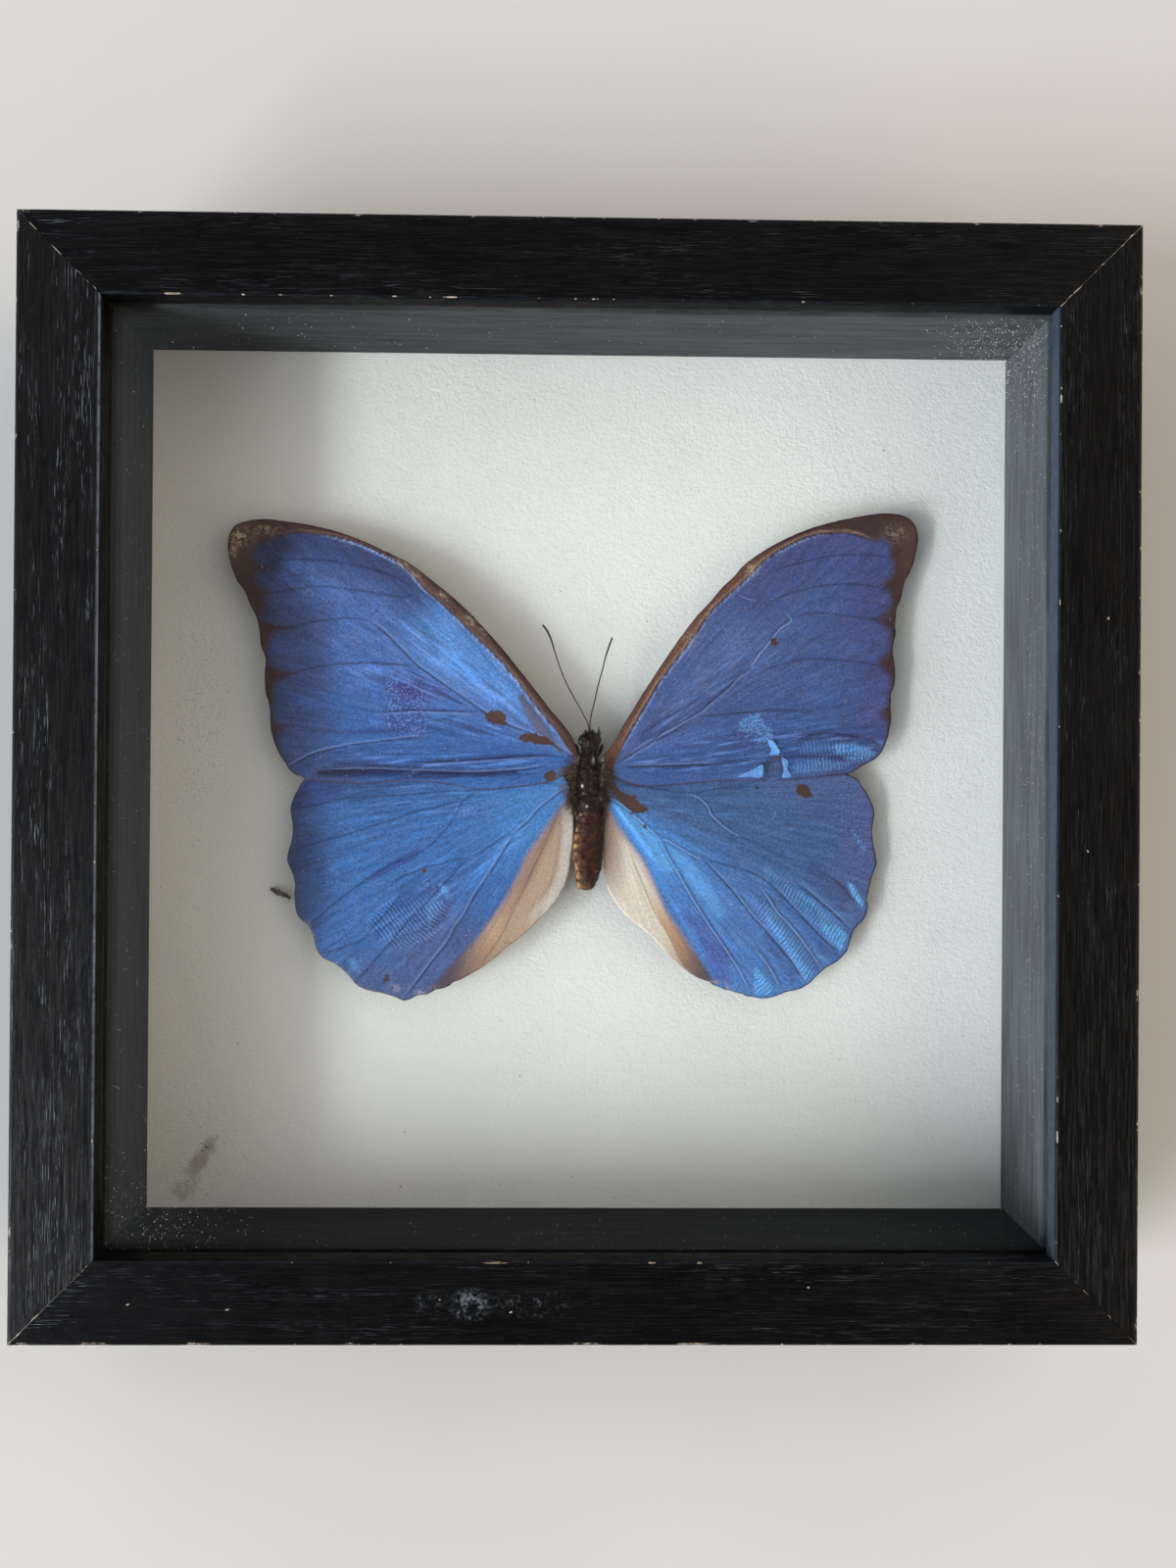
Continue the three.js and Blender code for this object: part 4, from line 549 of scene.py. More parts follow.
WINGS["FR"]["azure"] = [(.72, [(30.4, 10.2), (31, 12.1), (33.2, 13.2), (35.2, 13.6), (36.2, 11.5), (35.4, 10.2), (33, 9.4)]), (.55, [(35.2, 12.5), (38, 10.4), (38, 8), (34.6, 7.2), (34, 9)]), (.60, [(50, 8.0), (54, 8.0), (57, 7.0), (58.8, 5.9), (57, 4.4), (53, 4.2), (50, 5.6)]), (.20, [(43.5, 8.2), (50, 8.2), (50, 6.1), (44, 6.2)]),
    (.35, [(42, 4.2), (48, 4.7), (54, 3.9), (52, 2.7), (46, 1.8), (41.8, 1.9)]), (.8, [(58.5, 8.8), (59.9, 8.2), (60.1, 7.2), (59, 7.6)]), (.75, [(39.9, 33.4), (40.4, 33.5), (41.5, 31.8), (40.7, 30.9), (39.6, 30.2), (38.2, 28.3), (38.7, 28.3), (40.2, 29.7), (41.9, 31.6), (40.6, 33.7)])]
WINGS["FR"]["ribs"] = [[(43, 8.8), (50, 8.6), (57, 7.8), (59.6, 6.2), (58, 4), (52, 2.4), (44, 1.6), (41.4, 2), (42, 5)]]
WINGS["HL"]["azure"] = [(.9, [(-27.4, -20.2), (-26.4, -19.8), (-24.9, -22), (-25.4, -23.2), (-26.6, -22)]), (.35, [(-30, -25), (-27, -22), (-26, -24), (-29, -29)]), (.5, [(-42, -38), (-44.4, -37.2), (-45, -35), (-43.4, -34.4)])]
WINGS["HL"]["ribs"] = [[(-24, -24), (-30, -22), (-38, -23), (-42, -28), (-36, -34), (-28, -32)]]
WINGS["FL"]["azure"] = [(.35, [(-38, 16.4), (-36, 15), (-33.6, 13.2), (-37, 12.8)]), (.4, [(-13.4, 9.9), (-9, 9.3), (-6.6, 8.6), (-5.2, 6), (-7, 7.4), (-10.4, 8.7)])]
WINGS["FL"]["veins"] += [("m", [(-20, 13.1), (-24, 13.3), (-28, 13.4), (-32, 13.5), (-36, 13.3), (-39.5, 13)]), ("m", [(-6.5, 4.9), (-12, 4.6), (-18, 4.1), (-24, 3.7), (-30, 3.4)]), ("d", [(-24, 12.4), (-27, 11.6), (-30, 11.2)]), ("d", [(-46, 22.3), (-42, 22.6), (-38, 22.6), (-33.5, 22), (-31, 21.2)])]
WINGS["FL"]["veins"] += [("m", [(-48.5, 1.7), (-40, 1.8), (-30, 1.55), (-20.3, 1.35), (-12, 1.9), (-6, 2.8)]), ("d", [(-38, -.1), (-31.4, .3), (-20.3, .8), (-7.1, 1.4)]), ("d", [(-29, 17.4), (-25.6, 16.2), (-22, 14.4)])]
WINGS["FR"]["veins"] += [("b", [(31, 36.3), (32.2, 35.8), (34.3, 35.4)]), ("m", [(9.4, 2.8), (14, 2.9), (20, 3.1), (27, 3.5)]), ("m", [(10, 5.2), (14, 7.6), (18, 9.6), (22.4, 12.6)]), ("d", [(22, 12.6), (27, 13), (32, 13.6), (38, 13.9), (46, 13.8)]), ("d", [(12, 9.3), (16, 11.8), (20, 14.2), (24, 17)])]
WINGS["HR"]["veins"] += [("b", [(30.4, -21), (33.6, -25.2), (36, -28)]), ("b", [(40.3, -26.2), (43, -29.8), (45.6, -33.2), (47.4, -35.8)]), ("b", [(35.6, -33.4), (37.6, -36.2), (39.6, -39.8)]), ("m", [(44, -20.4), (47.5, -23.4), (50.6, -26), (53.6, -29)]), ("m", [(38.5, -20.6), (43, -25.4), (47, -29.6), (51.2, -33.6)])]

WINGS["HR"]["rub"] += [[(34.7, -1.0), (35.2, -.9), (35.45, -1.3), (35.0, -1.6), (34.6, -1.4)]]

def thin(points, keep, cell):
    """Drops points that fall in the same small cell as an earlier one."""
    q = np.floor(points / cell).astype(np.int64)
    key = q[:, 0] * 100003 + q[:, 1]
    _, first = np.unique(key, return_index=True)
    return np.sort(first)

def wing(key, node, z0, root, seed, tear=None):
    W = WINGS[key]; rng = np.random.default_rng(seed)
    edge = catmull(W["outline"], 0.42, closed=True)
    t = np.roll(edge, -1, 0) - np.roll(edge, 1, 0); t /= np.linalg.norm(t, axis=1)[:, None] + 1e-9
    nrm = np.stack([-t[:, 1], t[:, 0]], 1)
    area = 0.5 * np.sum(edge[:, 0] * np.roll(edge[:, 1], -1) - np.roll(edge[:, 0], -1) * edge[:, 1])
    if area < 0: edge = edge[::-1]; nrm = nrm[::-1]        # counterclockwise; nrm points inwards
    if area < 0: nrm = nrm * 1.0
    test = inside(edge + nrm * 0.05, edge)
    if test.mean() < 0.5: nrm = -nrm
    rag = 0.055 * fbm(edge[:, 0] * 1.3, edge[:, 1] * 1.3, seed, 3) + 0.045 * (rng.random(len(edge)) - 0.5)
    far = np.hypot(edge[:, 0] - root[0], edge[:, 1] - root[1])
    rag = (rag + 0.03) * step(8, 20, far)
    for x, y, r, depth in W.get("nibbles", ()):            # bites out of the margin
        rag += depth * np.exp(-(((edge[:, 0] - x) ** 2 + (edge[:, 1] - y) ** 2) / r ** 2)) * (0.6 + 0.8 * rng.random(len(edge)))
    edge = edge + nrm * rag[:, None]
    veins = [(k, catmull(p, 0.5)) for k, p in W["veins"]]
    folds = [(w, h, catmull(p, 1.0)) for w, h, p in W["folds"]]
    # points: outline first, then the lines of the veins, then a jittered field
    pts = [edge]; hole = None
    if tear is not None:
        hole = catmull(np.array(tear), 0.3, closed=True); pts.append(hole)
    n_fixed = sum(len(p) for p in pts)
    extra = []
    for k, p in veins:
        q = catmull(p[::2] if len(p) > 6 else p, 0.36)
        t = np.gradient(q, axis=0); t /= np.linalg.norm(t, axis=1)[:, None] + 1e-9
        s = np.stack([-t[:, 1], t[:, 0]], 1)
        extra.append(q)
        for off in ((0.15, 0.36) if k != "f" else (0.2,)):
            extra += [q + s * off, q - s * off]
    lines = np.vstack([p for k, p in veins])
    for w, h, p in folds:
        q = catmull(p, 0.5); t = np.gradient(q, axis=0); t /= np.linalg.norm(t, axis=1)[:, None] + 1e-9
        s = np.stack([-t[:, 1], t[:, 0]], 1)
        extra += [q, q + s * 0.4 * w, q - s * 0.4 * w]
    lowc, hic = edge.min(0), edge.max(0); pitch = 0.43
    gx, gy = np.meshgrid(np.arange(lowc[0], hic[0], pitch), np.arange(lowc[1], hic[1], pitch * 0.866))
    gx = gx + (np.arange(gx.shape[0]) % 2)[:, None] * pitch / 2
    G = np.stack([gx.ravel(), gy.ravel()], 1); G += rng.uniform(-0.25, 0.25, G.shape) * pitch
    G = G[inside(G, edge)]
    fine = []
    for poly in W["ribs"]:
        a, b = np.min(poly, 0), np.max(poly, 0); p2 = 0.185
        hx, hy = np.meshgrid(np.arange(a[0], b[0], p2), np.arange(a[1], b[1], p2 * 0.866))
        hx = hx + (np.arange(hx.shape[0]) % 2)[:, None] * p2 / 2
        H = np.stack([hx.ravel(), hy.ravel()], 1); H += rng.uniform(-0.2, 0.2, H.shape) * p2
        H = H[inside(H, poly)]; fine.append(H); G = G[~inside(G, poly)]
    extra = np.vstack(extra + fine) if extra or fine else np.zeros((0, 2))
    cand = np.vstack([extra, G])
    cand = cand[thin(cand, None, 0.115)]
    e2 = np.vstack([edge, edge[:1]])
    d = seg_dist(cand, e2)[0]
    ok = inside(cand, edge) & (d > 0.17)
    if hole is not None:
        ok &= ~inside(cand, hole) & (seg_dist(cand, np.vstack([hole, hole[:1]]))[0] > 0.12)
    pts.append(cand[ok]); P = np.vstack(pts)
    n = len(edge); E = [(i, (i + 1) % n) for i in range(n)]
    if hole is not None: E += [(n + i, n + (i + 1) % len(hole)) for i in range(len(hole))]
    out = geometry.delaunay_2d_cdt([Vector(p) for p in P], E, [], 0, 1e-6)
    P = np.array([tuple(v) for v in out[0]]); T = np.array([tuple(f) for f in out[2]])
    c = P[T].mean(1)
    keep = inside(c, edge)
    if hole is not None: keep &= ~inside(c, hole)
    T = T[keep]
    a2 = (P[T[:, 1], 0] - P[T[:, 0], 0]) * (P[T[:, 2], 1] - P[T[:, 0], 1]) - (P[T[:, 2], 0] - P[T[:, 0], 0]) * (P[T[:, 1], 1] - P[T[:, 0], 1])
    T = np.where((a2 < 0)[:, None], T[:, ::-1], T); T = T[np.abs(a2) > 1e-7]
    used = np.unique(T); remap = np.full(len(P), -1); remap[used] = np.arange(len(used)); P = P[used]; T = remap[T]

    # values at every point
    dedge = seg_dist(P, e2)[0]
    rx, ry = P[:, 0] - root[0], P[:, 1] - root[1]; rad = np.hypot(rx, ry); ang = np.arctan2(ry, np.abs(rx) * 1.0)
    blue = sdf(P, np.array(W["blue"])); rub = np.full(len(P), -3.0)
    for poly in W["rub"]: rub = np.maximum(rub, sdf(P, np.array(poly)))
    worn = np.full(len(P), -3.0)
    for poly in W["worn"]: worn = np.maximum(worn, sdf(P, np.array(poly)))
    # azure: painted highlights, the glints that folds and ribs catch from the light
    azure = np.zeros(len(P))
    for s, poly in W["azure"]: azure = np.maximum(azure, s * step(-0.25, 0.65, sdf(P, np.array(poly))))
    # dark: the vein lines, and beside each 'b' vein a painted shade line; bright: painted highlights on the lit side of
    # the 'm' veins, along the 'b' veins and along the costal rib
    dark = np.zeros(len(P)); bright = np.zeros(len(P)); ridge = np.zeros(len(P))
    for k, p in veins:
        d, arc, side = seg_dist(P, p); L = np.linalg.norm(np.diff(p, axis=0), axis=1).sum()
        taper = 0.35 + 0.65 * np.clip(np.minimum(arc, L - arc) / 2.5, 0, 1)
        broken = 0.75 + 0.25 * fbm(P[:, 0] * 2.1, P[:, 1] * 2.1, seed + 5, 2)
        if k == "m":
            dark = np.maximum(dark, 0.92 * np.exp(-(d / 0.19) ** 2) * taper * broken); ridge += 0.035 * np.exp(-(d / 0.22) ** 2)
            bright = np.maximum(bright, 0.34 * np.exp(-((d - 0.38) / 0.15) ** 2) * taper * broken * (side > 0))
        elif k == "d":
            dark = np.maximum(dark, 0.74 * np.exp(-(d / 0.18) ** 2) * taper * broken); ridge += 0.018 * np.exp(-(d / 0.22) ** 2)
        elif k == "f":
            dark = np.maximum(dark, 0.30 * np.exp(-(d / 0.26) ** 2) * taper * broken); ridge += 0.008 * np.exp(-(d / 0.25) ** 2)
        elif k == "b":
            s = np.where(side < 0, d, -d)
            bright = np.maximum(bright, 0.72 * np.exp(-(d / 0.115) ** 2) * taper * broken); ridge += 0.06 * np.exp(-(d / 0.2) ** 2)
            dark = np.maximum(dark, 0.62 * np.exp(-((d - 0.32) / 0.15) ** 2) * taper * broken)
        elif k == "t":
            dark = np.maximum(dark, 0.30 * np.exp(-(d / 0.15) ** 2) * taper); ridge += 0.03 * np.exp(-(d / 0.2) ** 2)
    z = z0 - DROOP * np.abs(P[:, 0]) + 0.11 - 1.1 * step(22, 68, np.abs(P[:, 0] - BODY_X)) * (1.5 if key[1] == "R" else 0.6)
    inner = step(0, 3.0, dedge)
    z = z + ridge
    for w, h, p in folds:
        d, arc, _ = seg_dist(P, p); L = np.linalg.norm(np.diff(p, axis=0), axis=1).sum()
        z = z + h * (0.40 if key == "FL" else 0.55) * np.exp(-(d / w) ** 2) * np.clip(np.minimum(arc, L - arc) / 3.0, 0, 1) * inner
    z = z + 0.16 * inner * fbm(P[:, 0] * 0.11, P[:, 1] * 0.11, seed + 7, 2)
    a_ = ang * 14
    z = z + 0.045 * inner * (2 * noise2(a_, rad * 0.05, seed + 9) - 1) * step(4, 14, rad)
    z = z + 0.012 * fbm(P[:, 0] * 1.7, P[:, 1] * 1.7, seed + 3, 2)
    rib = np.zeros(len(P))
    for poly in W["ribs"]:
        m = step(-0.4, 1.6, sdf(P, np.array(poly)))
        wob = rad + 0.25 * fbm(P[:, 0] * 0.35, P[:, 1] * 0.35, seed + 31, 2) + 0.40 * np.abs(2 * noise2(ang * 26, rad * 0 + 3.0, seed + 32) - 1)
        s = np.sin(2 * np.pi * wob / 0.74)
        amp = 0.5 + 0.5 * noise2(P[:, 0] * 0.9, P[:, 1] * 0.9, seed + 33)
        rib += m * s * amp; z = z + 0.032 * m * s * amp
    base_t = step(9.0, 1.5, rad)
    z = z - 0.25 * base_t * (1 if key[0] == "F" else 0.3)
    thick = 0.12
    n = len(P)
    e = np.concatenate([T[:, [0, 1]], T[:, [1, 2]], T[:, [2, 0]]])
    code = e[:, 0].astype(np.int64) * n + e[:, 1]; rev = e[:, 1].astype(np.int64) * n + e[:, 0]
    border = e[~np.isin(code, rev)]
    V = np.vstack([np.c_[P, z], np.c_[P, z - thick]])
    rim = np.stack([border[:, 1], border[:, 0], border[:, 0] + n, border[:, 1] + n], 1)
    tone = wing_tone(key, P, rad, ang, blue, seed) * LEVEL[key]
    # the parts without blue scales
    x, y = np.abs(P[:, 0]), P[:, 1]
    lead = np.array(COSTA[key]) if key in COSTA else None
    soft = np.full(n, 1.0 if key[0] == "F" else 0.50); line = np.zeros(n); shine = np.zeros(n)
    if lead is not None:                                    # the front margin: a raised rib of several fused veins
        dc = seg_dist(P, catmull(lead, 0.8))[0]; near = step(6.5, 4.0, dc) * step(60, 54, x)
        soft = (1.0 if key[0] == "F" else 0.55) * (1.0 - 0.80 * near)
        u = np.clip(-blue, -1, 6)
        taper_ = step(1.0, 8.0, rad) * near
        line = 0.85 * np.exp(-((blue + 0.10) / 0.13) ** 2) * taper_ + 0.75 * np.exp(-((dedge - 0.02) / 0.16) ** 2) * near
        shine = 0.75 * np.exp(-((blue - 0.22) / 0.13) ** 2) * taper_ * (0.4 + 0.6 * noise2(P[:, 0] * 0.35, P[:, 1] * 0.35, seed + 91)) * step(52, 44, x)
        pass
        z = z + near * (0.16 * np.exp(-((dedge - 0.75) / 0.45) ** 2) + 0.07 * np.exp(-((blue + 0.35) / 0.25) ** 2) - 0.05 * np.exp(-((blue - 0.25) / 0.3) ** 2))
    dark = np.maximum(dark, line); bright = np.maximum(bright, shine)
    mul = np.ones((n, 3))
    for k_, hue_, sf_, poly in SLOPES.get(key, ()):
        m_ = step(-sf_, sf_, sdf(P, np.array(poly, float)) + 0.35 * fbm(P[:, 0] * 0.6, P[:, 1] * 0.6, seed + 71, 3))
        mul *= 1 + m_[:, None] * (k_ * np.array(hue_) - 1)
        z = z + m_ * (0.10 * (k_ - 1))
    tone = tone * mul
    gv = np.zeros((n, 3)); gm = np.zeros(n)                 # the wrinkle with the most weight at a point sets its direction
    for q_, (s_, th_, wid_, poly) in enumerate(STRIPES.get(key, ())):
        m_ = s_ * step(-0.5, 2.2, sdf(P, np.array(poly, float)))
        c_, s2_ = math.cos(math.radians(th_)), math.sin(math.radians(th_))
        al, ac = P[:, 0] * c_ + P[:, 1] * s2_, -P[:, 0] * s2_ + P[:, 1] * c_
        w_ = m_ > gm; gm = np.where(w_, m_, gm)
        gv[w_] = np.stack([ac / wid_ * 1.6, al * 0.11, np.full(n, q_ * 7.3)], 1)[w_]
        z = z + 0.035 * m_ * (2 * noise2(ac / wid_ * 1.6, al * 0.11, seed + 55) - 1)
    V[:n, 2] = z; V[n:, 2] = z - thick
    mott = np.zeros(n)
    for s_, poly in MOTTLE.get(key, ()): mott = np.maximum(mott, s_ * step(-1.8, 2.2, sdf(P, np.array(poly, float))))
    tan = np.zeros(n)
    for s_, cx, cy, rx_, ry_ in TAN.get(key, ()): tan = np.maximum(tan, s_ * np.exp(-((P[:, 0] - cx) / rx_) ** 2 - ((P[:, 1] - cy) / ry_) ** 2))
    if key[0] == "F":
        brown = np.tile(lin(60, 40, 37), (n, 1)) / DIM
        cost = step(5.0, 0.5, dedge) * step(44, 30, x) * step(-2, 6, y)
        brown = brown * (1 - cost[:, None]) + cost[:, None] * lin(*((66, 42, 33) if key == "FL" else (88, 56, 43))) / DIM
        if lead is not None:
            ll = near * np.exp(-((blue + 0.50) / 0.22) ** 2) * step(2, 9, rad) * (0.45 + 0.55 * noise2(P[:, 0] * 0.3, P[:, 1] * 0.3, seed + 93))
            brown = brown * (1 - ll[:, None]) + ll[:, None] * lin(*((112, 84, 72) if key == "FL" else (150, 122, 108))) / DIM
        tip = step(60, 66, x) * step(38, 44, y)
        brown = brown * (1 - 0.6 * tip[:, None]) + 0.6 * tip[:, None] * lin(*((72, 56, 48) if key == "FL" else (86, 58, 48))) / DIM
    else:
        ln = [p for k, p in veins if k == "t"][0]
        d, arc, side = seg_dist(P, ln); Lt = np.linalg.norm(np.diff(ln, axis=0), axis=1).sum()
        f = arc / Lt
        s = d * side * (1 if key == "HL" else -1)             # positive towards the body
        out_ = np.clip(-blue, 0, 9)
        lay = lambda base, w, c: base * (1 - w[:, None]) + w[:, None] * lin(*c)
        patchy = 0.5 + 0.5 * fbm(P[:, 0] * 0.45, P[:, 1] * 0.16, seed + 61, 3)
        if key == "HL":
            brown = np.tile(lin(166, 142, 122), (n, 1))
            brown = lay(brown, step(0.6, -0.6, s), (152, 122, 106))
            brown = lay(brown, step(0.3, -0.3, s) * step(0.45, 0.85, f), (172, 142, 116))
            brown = lay(brown, 0.8 * step(3.0, 1.2, dedge) * step(0.3, 1.6, s) * step(-30, -22, y), (190, 182, 176))
            brown = lay(brown, 0.35 * np.exp(-((dedge - 2.6) / 0.35) ** 2) * step(-27, -20, y), (112, 84, 76))
            brown = lay(brown, 0.6 * np.exp(-((s - 0.1) / 0.7) ** 2) * step(0.75, 0.4, f), (122, 90, 78))
            brown = lay(brown, 0.6 * step(0.74, 0.98, f) * patchy, (134, 98, 78))
            brown = lay(brown, 0.7 * step(9, 3, rad), (116, 92, 82))
            brown = lay(brown, 0.55 * np.exp(-(out_ / 1.0) ** 2), (126, 104, 124))
        else:
            brown = np.tile(lin(212, 200, 186), (n, 1))
            brown = lay(brown, 0.85 * step(10.5, 5.4, x) * step(-27, -15, y) * step(0.0, 1.2, s), (134, 108, 96))
            brown = lay(brown, 0.45 * step(0.4, 3.4, s) * step(13, 9, x) * step(-16, -8, y), (150, 124, 112))
            brown = lay(brown, step(0.4, -0.4, s) * step(0.30, 0.72, f), (196, 156, 124))
            brown = lay(brown, 0.7 * step(-0.3, -1.2, s) * step(0.55, 0.2, f), (212, 190, 190))
            brown = lay(brown, 0.75 * step(0.62, 0.98, f) * step(3.6, 0.8, np.abs(s)) * (0.4 + 0.6 * patchy), (172, 122, 84))
            brown = lay(brown, 0.7 * step(8, 3, rad), (134, 108, 98))
            brown = lay(brown, 0.5 * np.exp(-(out_ / 0.9) ** 2), (150, 128, 150))
        brown = brown * 1.05
        outer = step(2.0, 4.5, np.hypot(P[:, 0] - root[0], 0)) * step(16, 26, x)            # dark line along the free margin
        brown = brown * (1 - outer[:, None]) + outer[:, None] * lin(70, 60, 72) / DIM
    fan = np.c_[ang * 30, rad, np.zeros(n)]
    B = Build()
    tone = np.minimum(tone, 0.95); two = lambda q: np.concatenate([q, q])
    B.add(V, [T], 0, tone=two(tone), brown=two(brown), blue=two(blue), rub=two(rub), worn=two(worn), azure=two(azure), dark=two(dark),
          bright=two(bright), rib=two(rib), fan=two(fan), edge=two(dedge), rad=two(rad), soft=two(soft), mott=two(mott), tan=two(tan), gv=two(gv), gm=two(gm))
    B.f += [rim, T[:, ::-1] + n]; B.fm += [np.full(len(rim), 1), np.full(len(T), 1)]
    return B, (P, z, T, edge, dedge)

def wing_material(name, warm, beige=False):
    M = Mat(name); v = M.mm()
    g = M.noise(v, 2.3, 2.0, 0.6)                          # scale grain
    g2 = M.noise(v, 0.55, 3.0, 0.55)
    fan = M.attr("fan", "Vector")
    streak = M.noise(M.stretch(fan, 1.6, 0.10, 1), 1.0, 3.0, 0.6)
    fine = M.noise(M.stretch(fan, 5.0, 0.22, 1), 1.0, 2.0, 0.5)
    ragged = M.math("MULTIPLY_ADD", M.math("SUBTRACT", M.noise(v, 1.0, 3.0, 0.65), 0.5), 1.5)
    ragged.node.inputs[2].default_value = 0.0
    sb = M.math("ADD", M.attr("blue"), ragged)
    sf = M.attr("soft")
    sb = M.math("ADD", M.attr("blue"), M.math("MULTIPLY", ragged, M.math("MULTIPLY", sf, sf)))
    mask = M.map(M.math("DIVIDE", sb, M.math("ADD", sf, 0.05)), -1.15, 1.15)
    fringe = M.map(M.attr("edge"), 0.10, 0.42, 0.25, 1.0)
    mask = M.math("MULTIPLY", mask, fringe)
    tone = M.attr("tone", "Color")
    # tone runs in streaks away from the wing root and breaks up into single scales
    k = M.math("MULTIPLY", M.map(streak, 0.34, 0.66, 0.84, 1.16, False), M.map(fine, 0.32, 0.68, 0.86, 1.14, False))
    k = M.math("MULTIPLY", k, M.map(g, 0.34, 0.66, 0.74, 1.28, False))
    # wrinkles: painted shade and painted highlight across each wrinkle, darker and dark violet in the troughs, pale
    # azure on the crests, besides their small relief in the mesh
    wr = M.noise(M.attr("gv", "Vector"), 1.0, 2.0, 0.6); gm = M.attr("gm")
    k = M.math("MULTIPLY", k, M.math("ADD", 1.0, M.math("MULTIPLY", gm, M.map(wr, 0.35, 0.65, -0.36, 0.30, False))))
    hue = M.mix(M.map(g2, 0.3, 0.7), (0.88, 0.99, 1.05), (1.15, 1.00, 0.96))
    col = M.mix(1.0, M.mix(1.0, tone, hue, "MULTIPLY"), M.n_rgb(k), "MULTIPLY")
    spk = M.noise(v, 2.4, 3.0, 0.75)
    col = M.mix(M.math("MULTIPLY", gm, M.map(wr, 0.55, 0.66, 0.0, 0.40)), col, tuple(lin(128, 172, 242)))
    col = M.mix(M.math("MULTIPLY", gm, M.map(wr, 0.40, 0.30, 0.0, 0.45)), col, tuple(lin(44, 52, 112)))
    # painted highlights: speckled azure glints on the azure patches
    az = M.math("MULTIPLY", M.attr("azure"), M.map(spk, 0.42, 0.58, 0.24, 1.0))
    col = M.mix(M.math("MULTIPLY", az, 0.85), col, tuple(lin(112, 184, 246) * 1.0))
    mo = M.attr("mott")
    col = M.mix(M.math("MULTIPLY", mo, M.map(spk, 0.55, 0.45, 0.0, 0.78)), col, tuple(lin(58, 52, 108)))
    col = M.mix(M.math("MULTIPLY", mo, M.map(spk, 0.54, 0.62, 0.0, 0.62)), col, tuple(lin(140, 162, 238)))
    # the fine ribs painted lighter and darker in turn: painted highlight and shade across the ribs, besides their
    # relief in the mesh
    ribk = M.map(M.attr("rib"), -0.7, 0.7, 0.60, 1.46, False)
    col = M.mix(1.0, col, M.n_rgb(ribk), "MULTIPLY")
    brown = M.mix(1.0, M.attr("brown", "Color"), M.n_rgb(M.math("MULTIPLY", M.map(g, 0.2, 0.8, 0.78, 1.22, False), M.map(streak, 0.2, 0.8, 0.82, 1.2, False))), "MULTIPLY")
    flk = M.math("MULTIPLY", M.attr("tan"), M.map(M.noise(v, 1.25, 4.0, 0.72), 0.42, 0.60))
    brown = M.mix(flk, brown, tuple(lin(176, 156, 134)))
    col = M.mix(M.math("MULTIPLY", flk, 0.92), col, tuple(lin(200, 186, 180)))
    col = M.mix(mask, brown, col)
    sub = M.map(M.math("ADD", M.attr("worn"), ragged), -0.3, 0.4, 0.0, 0.80)
    col = M.mix(sub, col, tuple(lin(84, 80, 96) / DIM))
    # painted highlights along the veins and the costal rib
    col = M.mix(M.attr("bright"), col, tuple(lin(150, 176, 224) / DIM))
    # dark vein lines and the dark outline of the costa, with painted shade beside the 'b' veins
    col = M.mix(M.attr("dark"), col, tuple(lin(30, 20, 44)))
    rubn = M.math("MULTIPLY_ADD", M.math("SUBTRACT", M.noise(v, 1.5, 4.0, 0.65), 0.5), 1.7); rubn.node.inputs[2].default_value = 0.0
    bald = M.map(M.math("ADD", M.attr("rub"), rubn), -0.10, 0.10)
    col = M.mix(bald, col, tuple(lin(70, 50, 46) / DIM))
    pin = M.map(M.cells(v, 0.95, "F1"), 0.12, 0.07, 0.0, 1.0)          # loose pale scales
    pin = M.math("MULTIPLY", pin, M.map(M.noise(v, 0.16, 3.0, 0.65), 0.54, 0.66))
    col = M.mix(M.math("MULTIPLY", pin, 0.75), col, tuple(lin(196, 206, 222)))
    pepper = M.math("MULTIPLY", M.map(M.cells(M.stretch(v, 1, 1, 1, (3.1, 7.7, 0)), 1.5), 0.17, 0.10), M.map(M.noise(v, 0.22, 3.0, 0.6), 0.50, 0.68))
    col = M.mix(M.math("MULTIPLY", pepper, M.math("MULTIPLY", mask, 0.55)), col, tuple(lin(46, 44, 78)))
    metal = 0.16
    h = M.math("ADD", M.math("MULTIPLY", g, 0.6), M.math("MULTIPLY", fine, 0.9))
    M.set(Base_Color=col, Roughness=M.map(mask, 0, 1, 0.62, 0.40), Metallic=metal, Normal=M.bump(h, 0.35, 0.00012))
    M.p.inputs["Specular IOR Level"].default_value = 0.35
    return M.m

def _rgb(self, x):
    o = self.n("ShaderNodeCombineColor")
    for i in range(3): self.put(o.inputs[i], x)
    return o.outputs[0]
Mat.n_rgb = _rgb

def underside_material():
    M = Mat("wing_underside"); v = M.mm()
    col = M.mix(M.map(M.noise(v, 0.16, 4, 0.6), 0.35, 0.65), tuple(lin(92, 70, 52)), tuple(lin(128, 104, 78)))
    col = M.mix(M.map(M.noise(M.stretch(M.attr("fan", "Vector"), 0.5, 0.3, 1), 1.0, 2, 0.5), 0.52, 0.6), col, tuple(lin(66, 48, 38)))
    col = M.mix(M.math("MULTIPLY", M.attr("dark"), 0.7), col, tuple(lin(40, 28, 22)))
    M.set(Base_Color=col, Roughness=0.7, Normal=M.bump(M.noise(v, 2.0, 2, 0.5), 0.3, 0.0001))
    return M.m

